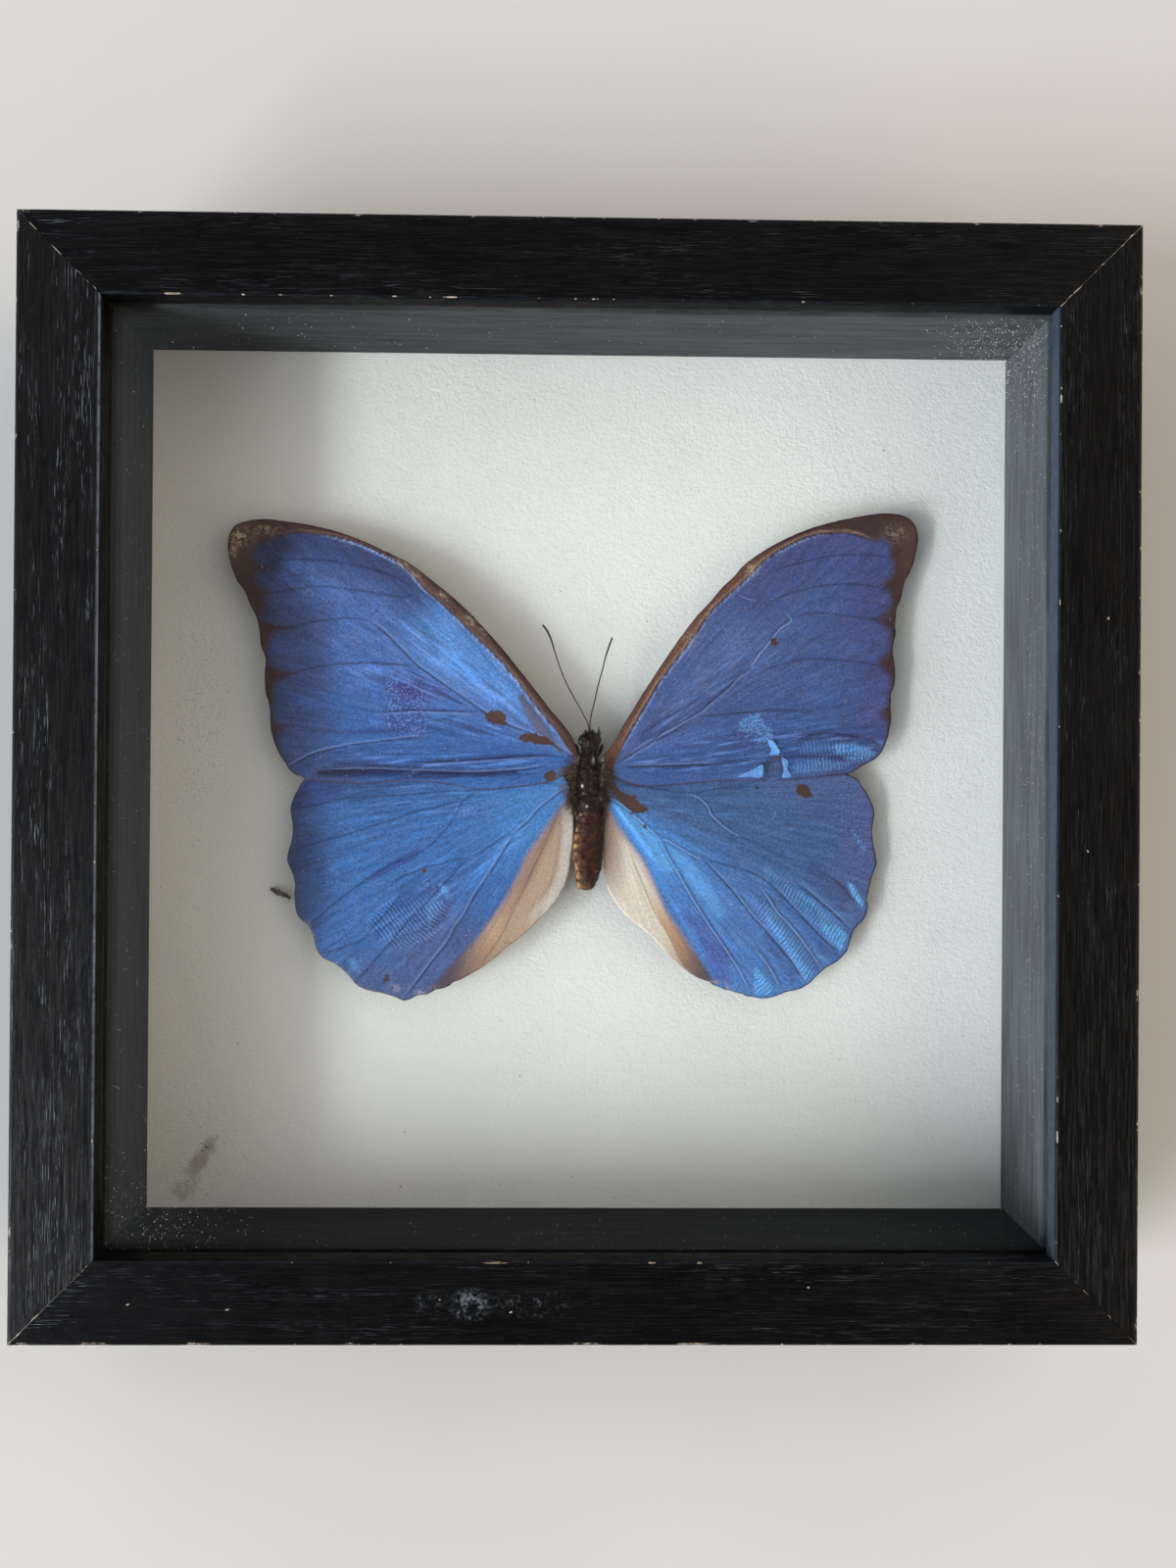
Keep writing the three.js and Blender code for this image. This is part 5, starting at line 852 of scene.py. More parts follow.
def flap(B, key, pts, lift, curl, azure, seed):
    """A thin piece of wing left standing at the tear: closed, its own relief, raised by lift and curled."""
    poly = np.array(pts, float); edge = catmull(poly, 0.22, closed=True)
    lowc, hic = edge.min(0), edge.max(0)
    gx, gy = np.meshgrid(np.arange(lowc[0], hic[0], 0.16), np.arange(lowc[1], hic[1], 0.16))
    G = np.stack([gx.ravel(), gy.ravel()], 1); G = G[inside(G, edge) & (seg_dist(G, np.vstack([edge, edge[:1]]))[0] > 0.08)]
    P = np.vstack([edge, G]); n0 = len(edge)
    out = geometry.delaunay_2d_cdt([Vector(p) for p in P], [(i, (i + 1) % n0) for i in range(n0)], [], 0, 1e-6)
    P = np.array([tuple(v) for v in out[0]]); T = np.array([tuple(f) for f in out[2]])
    T = T[inside(P[T].mean(1), edge)]
    a2 = (P[T[:, 1], 0] - P[T[:, 0], 0]) * (P[T[:, 2], 1] - P[T[:, 0], 1]) - (P[T[:, 2], 0] - P[T[:, 0], 0]) * (P[T[:, 1], 1] - P[T[:, 0], 1])
    T = np.where((a2 < 0)[:, None], T[:, ::-1], T)
    used = np.unique(T); remap = np.full(len(P), -1); remap[used] = np.arange(len(used)); P = P[used]; T = remap[T]; n = len(P)
    t = (P - P.mean(0)) @ np.array(curl)[:2]
    z = on_wing(key, P) + lift + 0.5 * np.clip(t, 0, 9) * curl[2] + 0.05 * fbm(P[:, 0] * 1.8, P[:, 1] * 1.8, seed, 2)
    e = np.concatenate([T[:, [0, 1]], T[:, [1, 2]], T[:, [2, 0]]])
    code = e[:, 0].astype(np.int64) * n + e[:, 1]; rev = e[:, 1].astype(np.int64) * n + e[:, 0]
    border = e[~np.isin(code, rev)]; rim = np.stack([border[:, 1], border[:, 0], border[:, 0] + n, border[:, 1] + n], 1)
    V = np.vstack([np.c_[P, z], np.c_[P, z - 0.09]]); two = lambda q: np.concatenate([q, q])
    az = azure * (0.6 + 0.4 * noise2(P[:, 0] * 1.4, P[:, 1] * 1.4, seed + 1)); rad = np.hypot(P[:, 0] - 4.9, P[:, 1] - 3.0)
    ang = np.arctan2(P[:, 1] - 3.0, P[:, 0] - 4.9)
    o = np.zeros(2 * n)
    base = B.n
    B.add(V, [T], 0, tone=np.tile(lin(96, 132, 196), (2 * n, 1)), brown=np.tile(lin(80, 60, 50), (2 * n, 1)), blue=o + 3.0, rub=o - 3, worn=o - 3, azure=two(az), dark=o, bright=o, rib=o, fan=two(np.c_[ang * 30, rad, 0 * rad]), edge=o + 1.0, rad=two(rad), soft=o + 1.0, mott=o, tan=o, gv=np.zeros((2 * n, 3)), gm=o)
    B.f += [rim + base, T[:, ::-1] + n + base]; B.fm += [np.full(len(rim), 1), np.full(len(T), 1)]

# ------------------------------------------------------------------ frame rails
CHIPS_IN = {                                # chips on the inner arris: position along the rail, half length, depth
 "top": [(-72.6, 1.6, .55), (-53.5, .5, .4), (-44.5, .5, .35), (-33.5, .6, .4), (-23.6, 1.5, .5), (-8.0, .5, .35), (-1.5, .5, .3), (2.0, .9, .4), (5.5, .5, .3), (14.9, .7, .4), (39, .4, .25), (-60, .4, .25)],
 "right": [(62.9, 1.3, .6), (56.3, .6, .5), (-32.2, .6, .5), (-45.2, .5, .4), (-68.6, .8, .5), (-70.8, .6, .4), (20, .3, .25), (-10, .3, .25)],
 "bottom": [(-21.8, .6, .5), (-13.5, .6, .5), (14.2, 2.8, .6), (50, .5, .3), (-62, .4, .3), (33, .4, .25)],
 "left": [(40, .4, .25), (-15, .4, .2), (-64, .5, .25)]}
CHIPS_OUT = {"top": [(-98.5, 1.0, .6), (-40, .7, .35), (30, 1.0, .4), (70, .6, .35), (92, .8, .4)],
 "right": [(37.5, 1.4, .7), (96.5, 1.6, .8), (70, .6, .4), (-20, .6, .35), (-52, .7, .4), (-88, .9, .5)],
 "bottom": [(67, 2.6, .7), (85, 2.8, .7), (-21, 3.6, .5), (-2, 4.0, .45), (40, .9, .4), (-60, .8, .4), (97.5, 1.5, .8)],
 "left": [(60, .6, .3), (-30, .7, .35), (-80, 1.2, .5), (97, 1.2, .5)]}
CHIPS_FACE = {"right": [(6.2, -29.5, .28), (9.5, 12, .2), (4.0, 61.0, .2)], "bottom": [(7.5, 78.8, .3), (6.5, 61.4, .24), (6.0, 11.5, .25), (8.4, 24.0, .25), (10.5, -41.0, .22)], "top": [(5, 48, .22), (11, -12, .2)], "left": [(8, 30, .2)]}

def rail(name, seed):
    rng = np.random.default_rng(seed)
    ro, ri, rb = 0.8, 0.6, 0.5
    arc = lambda cx, cz, r, a0, a1, k: [(cx + r * math.cos(a), cz + r * math.sin(a)) for a in np.radians(np.linspace(a0, a1, k))]
    prof = []                                                # (distance in from the outer side, height)
    prof += arc(rb, rb, rb, 270, 180, 4)
    prof += [(0, z) for z in np.linspace(rb, DEPTH - ro, 9)[1:-1]]
    prof += arc(ro, DEPTH - ro, ro, 180, 90, 9)
    prof += [(u, DEPTH) for u in np.linspace(ro, FACE - ri, 32)[1:-1]]
    prof += arc(FACE - ri, DEPTH - ri, ri, 90, 0, 8)
    prof += [(FACE, z) for z in np.linspace(DEPTH - ri, DEPTH - LIP, 5)[1:]]
    prof += [(FACE - (FACE - WALL) * t, DEPTH - LIP) for t in (0.5, 1)]
    prof += [(WALL, z) for z in np.linspace(DEPTH - LIP, rb, 4)[1:]]
    prof += arc(WALL - rb, rb, rb, 0, -90, 4)
    prof = np.array(prof); m = len(prof); u, h = prof[:, 0], prof[:, 1]
    S = 430; t = np.linspace(-1, 1, S)
    U = np.broadcast_to(u, (S, m)); H = np.broadcast_to(h, (S, m))
    half = OUT - U - 0.03
    X = t[:, None] * half
    # wear of the two front arrises
    bare = np.full((S, m), -1.0)
    push = np.zeros((S, m))
    arris_o = np.exp(-(np.hypot(U - 0.25, H - (DEPTH - 0.25)) / 0.46) ** 2)
    arris_i = np.exp(-(np.hypot(U - (FACE - 0.2), H - (DEPTH - 0.2)) / 0.23) ** 2)
    for table, ar in ((CHIPS_IN, arris_i), (CHIPS_OUT, arris_o)):
        chips = [(c, L, dp, 0) for c, L, dp in table.get(name, [])]
        for c in rng.uniform(-96, 96, 22 if table is CHIPS_OUT else 12): chips.append((c, rng.uniform(.10, .34), rng.uniform(.06, .16), 1))
        for c, L, dp, small in chips:
            q = np.clip(1 - ((X - c) / (L * 1.05)) ** 2, 0, 1) ** 0.35
            j = 0.42 + 0.95 * noise2(X * 3.3, U * 4 + H * 4, seed + 3)
            a = q * ar * j
            push = np.maximum(push, dp * 0.75 * np.clip(a * 1.5 - 0.35, 0, 1))
            bare = np.maximum(bare, (a - (0.50 if dp > 0.45 else 0.62)) * (2.6 if not small else 1.5))
    run = 0.5 + 0.5 * fbm(X * 0.10, U * 0 + 2.0, seed + 17, 3)
    # painted highlight: a bluish reflection of the light along the left rail's inner arris, faint on the other rails
    polish = (1.0 if name == "left" else 0.08) * np.exp(-(np.hypot(U - (FACE - 0.16), H - (DEPTH - 0.16)) / 0.24) ** 2) * (0.35 + 0.65 * run)
    mit = np.exp(-((half - np.abs(X)) / 0.30) ** 2) * (H > DEPTH - 0.3) * (0.25 + 1.1 * noise2(U * 1.5 + seed, np.sign(X) * 3 + 5, seed + 6))
    bare = np.maximum(bare, (mit - 0.92) * 2.2)
    thinrub = (arris_o * 0.85 + arris_i * 0.7) * step(0.50, 0.95, run)
    for c, k, r in CHIPS_FACE.get(name, []):                # (in from the outer side, along, radius)
        d = np.hypot((X - k) * 0.8, (U - c) * 1.2) / r
        on = H > DEPTH - 0.3
        bare = np.maximum(bare, np.where(on, (1.15 - d) * 1.2, -1)); push = np.maximum(push, np.where(on, 0.14 * np.clip(1.2 - d, 0, 1), 0))
    grain = fbm(X * 0.045, U * 1.7, seed, 3)
    pore = noise2(X * 0.13, U * 3.2, seed + 5); pore2 = noise2(X * 0.09 + 40, U * 3.9, seed + 8)
    dig = np.clip(pore - 0.70, 0, 1) * 0.28 + np.clip(pore2 - 0.74, 0, 1) * 0.22
    face = step(0.2, 1.2, U) * step(FACE - 0.1, FACE - 1.0, U) * (H > DEPTH - 0.5)
    side = (U < 0.3) * step(0.5, 2, H) * step(DEPTH - 0.5, DEPTH - 2, H)
    dz = face * (0.035 * grain - dig)
    du = side * (0.03 * fbm(X * 0.045, H * 1.7, seed + 40, 3) - np.clip(noise2(X * 0.28, H * 3.2, seed + 45) - 0.72, 0, 1) * 0.22)
    U2 = U + push * arris_o * 1.0 - push * arris_i * 1.0 - du * 1.0 * (U < 0.3)
    H2 = H - push * np.clip(arris_o + arris_i, 0, 1) + dz - np.where((H > DEPTH - 0.3) & (arris_o + arris_i < 0.2), push, 0)
    U2 = np.maximum(U2, 0.0); H2 = np.clip(H2, 0, DEPTH)
    half2 = OUT - U2 - 0.03
    X2 = np.clip(X, -half2, half2); X2[0] = -half2[0]; X2[-1] = half2[-1]
    wob = 0.05 * fbm(t[:, None] * 3 + U * 0, U * 0.0 + seed, seed + 2, 2)
    A = np.stack([X2, OUT - U2 - np.abs(wob) * 0, H2], -1).reshape(-1, 3)
    grainco = np.stack([X, U + np.where(U < 0.3, H - DEPTH, 0) + np.where((U > WALL - .3) & (U < FACE - .1) & (H < DEPTH - LIP + .3), 40 + H, 0) + np.where((U > FACE - 0.61) & (H > DEPTH - LIP - 0.01), np.clip(DEPTH - H, 0, LIP), 0), np.full_like(X, seed * 3.7)], -1).reshape(-1, 3)
    F = [grid_faces(S, m, wrap_v=True, flip=False)]
    n = len(A)
    prof_idx = np.arange(m)
    ends = []
    tri = geometry.tessellate_polygon([[Vector((float(a), float(b), 0)) for a, b in prof]])
    tri = np.array(tri)
    area = 0.5 * np.sum(u * np.roll(h, -1) - np.roll(u, -1) * h)
    def orient(T, positive):
        a2 = (u[T[:, 1]] - u[T[:, 0]]) * (h[T[:, 2]] - h[T[:, 0]]) - (u[T[:, 2]] - u[T[:, 0]]) * (h[T[:, 1]] - h[T[:, 0]])
        flipped = (a2 > 0) != positive
        return np.where(flipped[:, None], T[:, ::-1], T)
    ang = {"top": 0, "left": 90, "bottom": 180, "right": 270}[name]
    c, s = round(math.cos(math.radians(ang))), round(math.sin(math.radians(ang)))
    R = np.array([[c, -s, 0], [s, c, 0], [0, 0, 1.0]])
    V = A @ R.T
    # the end caps carry their own vertices so that the mitre stays sharp
    cap0 = V[:m]; cap1 = V[-m:]
    body_f = F[0]
    # outward check with one face on the front
    k = body_f[len(body_f) // 2 + 20]
    B = Build()
    at = dict(bare=bare.ravel(), gco=grainco, thin=thinrub.ravel(), facing=face.ravel(), polish=polish.ravel())
    cA = A[body_f].mean(1); lip = (cA[:, 2] < DEPTH - 0.45) & (OUT - cA[:, 1] > WALL + 0.05)
    f0 = V[body_f[:, 1]] - V[body_f[:, 0]]; f1 = V[body_f[:, 2]] - V[body_f[:, 0]]
    nz = np.cross(f0, f1)[:, 2]
    top = (np.abs(V[body_f].mean(1)[:, 2] - DEPTH) < 0.2)
    if nz[top].mean() < 0: body_f = body_f[:, ::-1]
    B.add(V, [body_f[~lip]], 0, **at); B.f.append(body_f[lip]); B.fm.append(np.full(int(lip.sum()), 1))
    # cap at t=+1 looks along +X of the untwisted rail; profile (u,h) maps to (-y, z)
    e = lambda q: {kk: vv[q] for kk, vv in (("bare", bare.ravel()), ("gco", grainco), ("thin", thinrub.ravel()), ("facing", face.ravel() * 0), ("polish", face.ravel() * 0))}
    for idx, sign in ((np.arange(m), -1), (np.arange(n - m, n), 1)):
        T = orient(tri, True)
        P3 = V[idx]; nn = np.cross(P3[T[:, 1]] - P3[T[:, 0]], P3[T[:, 2]] - P3[T[:, 0]]).sum(0)
        want = (R @ np.array([sign, 0, 0.0]))
        if nn @ want < 0: T = T[:, ::-1]
        B.add(P3, [T], 0, **e(idx))
    return B

def _sep(self, v, i):
    o = self.n("ShaderNodeSeparateXYZ"); self.put(o.inputs[0], v); return o.outputs[i]
Mat.sep = _sep

def black_paint(name="frame_black", spec=0.20):
    M = Mat(name); v = M.mm(); g = M.attr("gco", "Vector")
    facing = M.attr("facing")
    p1 = M.noise(M.stretch(g, 0.125, 6.6, 1), 1.0, 2.0, 0.5)
    p2 = M.noise(M.stretch(g, 0.25, 8.4, 1, (31, 5, 0)), 1.0, 1.0, 0.45)
    zone = M.noise(M.stretch(g, 0.028, 0.22, 1), 1.0, 3.0, 0.6)
    # pale streaks and hairlines along the grain: dust in the pores and painted sheen, drawn about four times stronger
    # on the left rail as a painted reflection of the light from the left
    left_rail_sheen = M.map(M.sep(v, 0), -85.3, -86.6, 0.24, 1.0)
    streak_dust_and_sheen = M.math("MULTIPLY", M.map(p1, 0.655, 0.69), M.map(zone, 0.44, 0.60))
    hair = M.math("MULTIPLY", M.map(p2, 0.675, 0.705), M.map(zone, 0.45, 0.60))
    dust = M.math("MULTIPLY", M.map(M.cells(v, 1.15, "F1"), 0.085, 0.05), M.map(M.noise(v, 0.09, 3, 0.6), 0.50, 0.64))
    base = M.mix(M.map(M.noise(v, 0.05, 3, 0.6), 0.3, 0.7), (0.0022, 0.0023, 0.0029), (0.0038, 0.0040, 0.0048))
    base = M.mix(M.map(p1, 0.36, 0.26), base, (0.002, 0.002, 0.0024))
    col = M.mix(M.math("MULTIPLY", streak_dust_and_sheen, M.math("MULTIPLY", left_rail_sheen, 0.52)), base, tuple(lin(72, 78, 90)))
    col = M.mix(M.math("MULTIPLY", hair, M.math("MULTIPLY", left_rail_sheen, 0.9)), col, tuple(lin(120, 130, 142)))
    # painted highlight along the inner arris
    col = M.mix(M.math("MULTIPLY", M.attr("polish"), M.map(M.noise(v, 0.5, 3, 0.6), 0.3, 0.6, 0.35, 0.95)), col, tuple(lin(104, 120, 146)))
    col = M.mix(M.math("MULTIPLY", dust, 0.35), col, tuple(lin(140, 142, 146)))
    th = M.map(M.math("ADD", M.attr("thin"), M.math("MULTIPLY", M.math("SUBTRACT", M.noise(v, 0.9, 4, 0.7), 0.5), 1.3)), 0.62, 0.92)
    col = M.mix(M.math("MULTIPLY", th, 0.6), col, tuple(lin(122, 112, 100)))
    # one smudge of pale residue on the lower rail
    x0 = M.n("ShaderNodeSeparateXYZ"); M.put(x0.inputs[0], v)
    def blob(cx, cy, rx, ry):
        a = M.math("POWER", M.math("DIVIDE", M.math("SUBTRACT", x0.outputs[0], cx), rx), 2.0)
        b = M.math("POWER", M.math("DIVIDE", M.math("SUBTRACT", x0.outputs[1], cy), ry), 2.0)
        return M.map(M.math("ADD", a, b), 1.0, 0.0)
    n3 = M.noise(v, 0.9, 5, 0.75)
    sm = M.math("MULTIPLY", blob(-18.6, -92.6, 4.4, 3.4), M.map(n3, 0.46, 0.66))
    sm2 = M.math("MULTIPLY", blob(-8.0, -92.4, 9.5, 3.0), M.map(n3, 0.50, 0.75, 0.0, 0.6))
    sm3 = M.math("MULTIPLY", blob(-25.5, -92.4, 4.6, 2.6), M.map(n3, 0.50, 0.75, 0.0, 0.5))
    sm = M.math("MULTIPLY", M.math("MAXIMUM", sm, M.math("MAXIMUM", sm2, sm3)), M.map(x0.outputs[2], 34.6, 35.4))
    col = M.mix(M.math("MULTIPLY", sm, 0.55), col, tuple(lin(138, 150, 160)))
    # dust and painted sheen of the light from the left on the inner side of the right-hand rail
    right_lip_dust_and_sheen = M.math("MULTIPLY", M.map(x0.outputs[0], 84.6, 84.9), M.map(x0.outputs[0], 85.5, 85.2))
    right_lip_dust_and_sheen = M.math("MULTIPLY", right_lip_dust_and_sheen, M.math("MULTIPLY", M.map(x0.outputs[2], 35.8, 35.2), M.map(x0.outputs[2], 31.0, 31.6)))
    right_lip_dust_and_sheen = M.math("MULTIPLY", right_lip_dust_and_sheen, M.map(M.math("ABSOLUTE", x0.outputs[1]), 85.6, 85.2))
    col = M.mix(M.math("MULTIPLY", right_lip_dust_and_sheen, M.map(n3, 0.3, 0.7, 0.60, 0.95)), col, tuple(lin(68, 81, 92)))
    # bare wood in the chips, with a pale rim of primer
    b = M.math("ADD", M.attr("bare"), M.math("MULTIPLY", M.math("SUBTRACT", M.noise(v, 1.9, 3, 0.6), 0.5), 0.55))
    wood = M.mix(M.map(M.noise(M.stretch(g, 0.5, 4, 1), 1.0, 3, 0.6), 0.35, 0.65), tuple(lin(204, 196, 182)), tuple(lin(146, 130, 112)))
    col = M.mix(M.map(b, 0.02, 0.12), col, tuple(lin(96, 86, 78)))
    col = M.mix(M.map(b, 0.10, 0.24), col, wood)
    h = M.math("SUBTRACT", M.math("MULTIPLY", M.noise(v, 1.3, 3, 0.6), 0.35), M.map(p1, 0.56, 0.70))
    rough = M.map(M.noise(v, 0.35, 3, 0.6), 0.3, 0.7, 0.30, 0.42, False)
    M.set(Base_Color=col, Roughness=rough, Normal=M.bump(h, 0.5, 0.00016))
    M.p.inputs["Specular IOR Level"].default_value = spec
    return M.m

# ------------------------------------------------------------------ plain parts: looks on the frame's own nodes
def dress(node, mat, bevel=0.0, seg=2):
    ob = NODES[node]
    ob.data.materials.clear(); ob.data.materials.append(mat)
    for p in ob.data.polygons: p.use_smooth = False
    if bevel:
        md = ob.modifiers.new("edge", "BEVEL"); md.width = bevel * 0.001; md.segments = seg; md.limit_method = "ANGLE"; md.angle_limit = math.radians(35)
        md.harden_normals = False

def spacer_material(name, amount, rise=0.0):
    M = Mat(name); v = M.mm()
    # amount sets the wall's brightness and rise a gradient along it, lighter towards +x: partly dust, partly painted
    # light and shade
    ends = M.map(M.sep(v, 0), -88, 88, 1.0 - rise, 1.0 + rise, False)
    along = M.noise(M.stretch(v, 0.05, 0.05, 0.8), 1.0, 3, 0.6)
    col = M.mix(M.map(along, 0.35, 0.65), tuple(lin(70, 73, 75) * amount), tuple(lin(86, 91, 93) * amount))
    col = M.mix(1.0, col, M.n_rgb(ends), "MULTIPLY")
    streak = M.noise(M.stretch(v, 0.11, 0.11, 2.8), 1.0, 3, 0.65)
    col = M.mix(M.math("MULTIPLY", M.map(streak, 0.52, 0.70), 0.18 * min(1.0, amount + 0.2)), col, tuple(lin(120, 122, 126)))
    dust = M.math("MULTIPLY", M.map(M.cells(v, 0.8, "F1"), 0.11, 0.06), M.map(M.noise(v, 0.1, 3, 0.6), 0.5, 0.65))
    col = M.mix(M.math("MULTIPLY", dust, 0.5), col, tuple(lin(150, 150, 150)))
    M.set(Base_Color=col, Roughness=0.72, Normal=M.bump(streak, 0.4, 0.00012))
    M.p.inputs["Specular IOR Level"].default_value = 0.10
    return M.m

def glass_material():
    M = Mat("picture_glass"); v = M.mm()
    # a noise mask for a thin dust layer; nothing reads it, and the roughness stays 0
    amount = M.map(M.noise(v, 0.035, 4, 0.6), 0.40, 0.75)
    M.set(Base_Color=(0.97, 0.985, 0.98), Roughness=0.0, Metallic=0.0)
    M.p.inputs["IOR"].default_value = 1.5
    M.p.inputs["Transmission Weight"].default_value = 1.0
    lp = M.n("ShaderNodeLightPath"); tr = M.n("ShaderNodeBsdfTransparent"); tr.inputs[0].default_value = (0.93, 0.945, 0.94, 1)
    mx = M.n("ShaderNodeMixShader"); M.put(mx.inputs[0], lp.outputs["Is Shadow Ray"])
    M.t.links.new(M.p.outputs[0], mx.inputs[1]); M.t.links.new(tr.outputs[0], mx.inputs[2]); M.t.links.new(mx.outputs[0], M.out.inputs["Surface"])
    return M.m

def board_material():
    M = Mat("board_offwhite"); v = M.mm()
    soft = M.noise(v, 0.03, 3, 0.55)
    col = M.mix(M.map(soft, 0.3, 0.7), (0.775, 0.780, 0.752), (0.810, 0.812, 0.785))
    fibre = M.noise(v, 1.4, 3, 0.6)
    col = M.mix(M.map(fibre, 0.25, 0.75), M.mix(0.06, col, (0.35, 0.33, 0.30)), col)
    x = M.n("ShaderNodeSeparateXYZ"); M.put(x.inputs[0], v)
    # painted shade: a warm, darker tint towards the left side, where the left rail's shadow falls
    left = M.map(M.math("ADD", x.outputs[0], M.math("MULTIPLY", M.math("SUBTRACT", M.noise(v, 0.05, 4, 0.6), 0.5), 26.0)), -52.0, -88.0)
    col = M.mix(M.math("MULTIPLY", left, 0.12), col, (0.52, 0.46, 0.37))
    pin = M.math("MULTIPLY", M.map(M.cells(v, 0.62, "F1"), 0.075, 0.045), M.map(M.noise(M.stretch(v, 1, 1, 1, (9, 4, 0)), 0.11, 3, 0.6), 0.56, 0.68))
    col = M.mix(M.math("MULTIPLY", pin, 0.45), col, (0.20, 0.18, 0.16))
    mould = M.attr("mould")
    dots = M.map(M.cells(v, 1.9, "F1"), 0.26, 0.14)
    md = M.math("MULTIPLY", M.math("MULTIPLY", dots, M.map(M.math("ADD", mould, M.math("MULTIPLY", M.noise(v, 0.5, 3, 0.6), 0.5)), 0.45, 0.95)), 0.62)
    col = M.mix(md, col, (0.17, 0.155, 0.14))
    # a dark brown smudge near the lower left corner
    stain = M.map(M.math("ADD", M.attr("stain"), M.math("MULTIPLY", M.math("SUBTRACT", M.noise(v, 0.45, 4, 0.7), 0.5), 1.4)), 0.25, 0.95)
    col = M.mix(M.math("MULTIPLY", stain, 0.6), col, (0.23, 0.19, 0.15))
    peb = M.math("ADD", M.noise(v, 1.9, 1, 0.6), M.math("MULTIPLY", M.noise(v, 1.0, 0, 0.5), 0.5))
    M.set(Base_Color=col, Roughness=0.72, Normal=M.bump(peb, 0.42, 0.00026))
    return M.m

def board_mesh():
    """Front face as a pebbled grid; sides and back close it."""
    a = 89.7; N = 229
    g = np.linspace(-a, a, N)
    X, Y = np.meshgrid(g, g, indexing="ij")
    rel = 0.030 * fbm(X * 0.95, Y * 0.95, 71, 1) + 0.012 * fbm(X * 0.16, Y * 0.16, 73, 2)
    edge = np.minimum(a - np.abs(X), a - np.abs(Y))
    Z = BOARD_Z - 0.10 + rel * step(0, 2, edge)
    V = np.stack([X, Y, Z], -1).reshape(-1, 3)
    px, py = V[:, 0], V[:, 1]
    mould = 1.0 * np.exp(-(((px + 75.5) / 5.5) ** 2 + ((py - 12) / 17) ** 2)) + 0.35 * np.exp(-(((px + 78) / 6) ** 2 + ((py - 40) / 22) ** 2)) + 0.25 * np.exp(-(((px + 70) / 9) ** 2 + ((py + 20) / 25) ** 2))
    # the dark smudge near the lower left corner
    stain = np.exp(-(((px + 74.5 + 0.55 * (py + 75.5)*-1) / 2.3) ** 2 + ((py + 75.0) / 5.0) ** 2)) + 0.5 * np.exp(-(((px + 78) / 5) ** 2 + ((py + 82) / 3) ** 2))
    B = Build(); B.add(V, [grid_faces(N, N)], 0, mould=mould, stain=stain)
    i = np.arange(N); loop = np.concatenate([i * N, (N - 1) * N + i[1:], (i[::-1][1:]) * N + N - 1, i[::-1][1:-1]])
    top = V[loop]; low = top.copy(); low[:, 2] = BOARD_LOW + 0.02
    m = len(loop); j = np.arange(m); j2 = (j + 1) % m
    W = np.vstack([top, low, [[0, 0, BOARD_LOW + 0.02]]])
    side = np.stack([j, j + m, j2 + m, j2], 1); back = np.stack([j2 + m, j + m, np.full(m, 2 * m)], 1)
    B.add(W, [side, back], 0, mould=0.0, stain=0.0)
    return B

def hardboard():
    M = Mat("hardboard"); v = M.mm()
    mesh = M.math("MULTIPLY", M.math("SINE", M.math("MULTIPLY", M.sep(v, 0), 4.2)), M.math("SINE", M.math("MULTIPLY", M.sep(v, 1), 4.2)))
    f = M.noise(v, 0.9, 5, 0.7); f2 = M.noise(M.stretch(v, 0.5, 1.6, 1), 0.35, 4, 0.7)
    col = M.mix(M.map(f, 0.3, 0.7), tuple(lin(112, 78, 50)), tuple(lin(150, 110, 74)))
    col = M.mix(M.map(f2, 0.52, 0.68, 0, 0.5), col, tuple(lin(84, 56, 36)))
    col = M.mix(M.map(M.noise(v, 0.02, 3, 0.6), 0.45, 0.7, 0, 0.25), col, tuple(lin(170, 138, 104)))
    M.set(Base_Color=col, Roughness=0.72, Normal=M.bump(M.math("ADD", mesh, M.math("MULTIPLY", f, 1.5)), 0.45, 0.0002))
    return M.m


def metal(name, a, b, rough, spots):
    M = Mat(name); v = M.mm()
    brush = M.noise(M.stretch(v, 0.5, 9.0, 2.0), 1.0, 3, 0.6); tarn = M.noise(v, 0.35, 5, 0.65)
    col = M.mix(M.map(tarn, 0.35, 0.7), tuple(lin(*a)), tuple(lin(*b)))
    col = M.mix(M.math("MULTIPLY", M.map(M.noise(v, 1.2, 4, 0.7), 0.60, 0.72), 0.7), col, tuple(lin(*spots)))
    M.set(Base_Color=col, Metallic=0.9, Roughness=M.map(tarn, 0.3, 0.75, rough - 0.08, rough + 0.14, False), Normal=M.bump(brush, 0.25, 0.00005))
    return M.m

# ------------------------------------------------------------------ body
BODY_R = [(-21.3, .15), (-21.0, 1.0), (-20.3, 1.65), (-19.2, 2.15), (-17.5, 2.6), (-15.0, 2.95), (-12.5, 3.02), (-10.0, 2.9), (-8.2, 2.7), (-7.0, 2.5), (-6.4, 2.35), (-5.4, 2.42), (-3.6, 2.5), (-1.4, 2.52), (0.6, 2.46), (2.4, 2.3), (3.8, 2.0), (4.8, 1.72), (5.6, 1.55), (6.4, 1.68), (7.4, 1.82), (8.3, 1.75), (9.0, 1.4), (9.5, .85), (9.7, .3)]

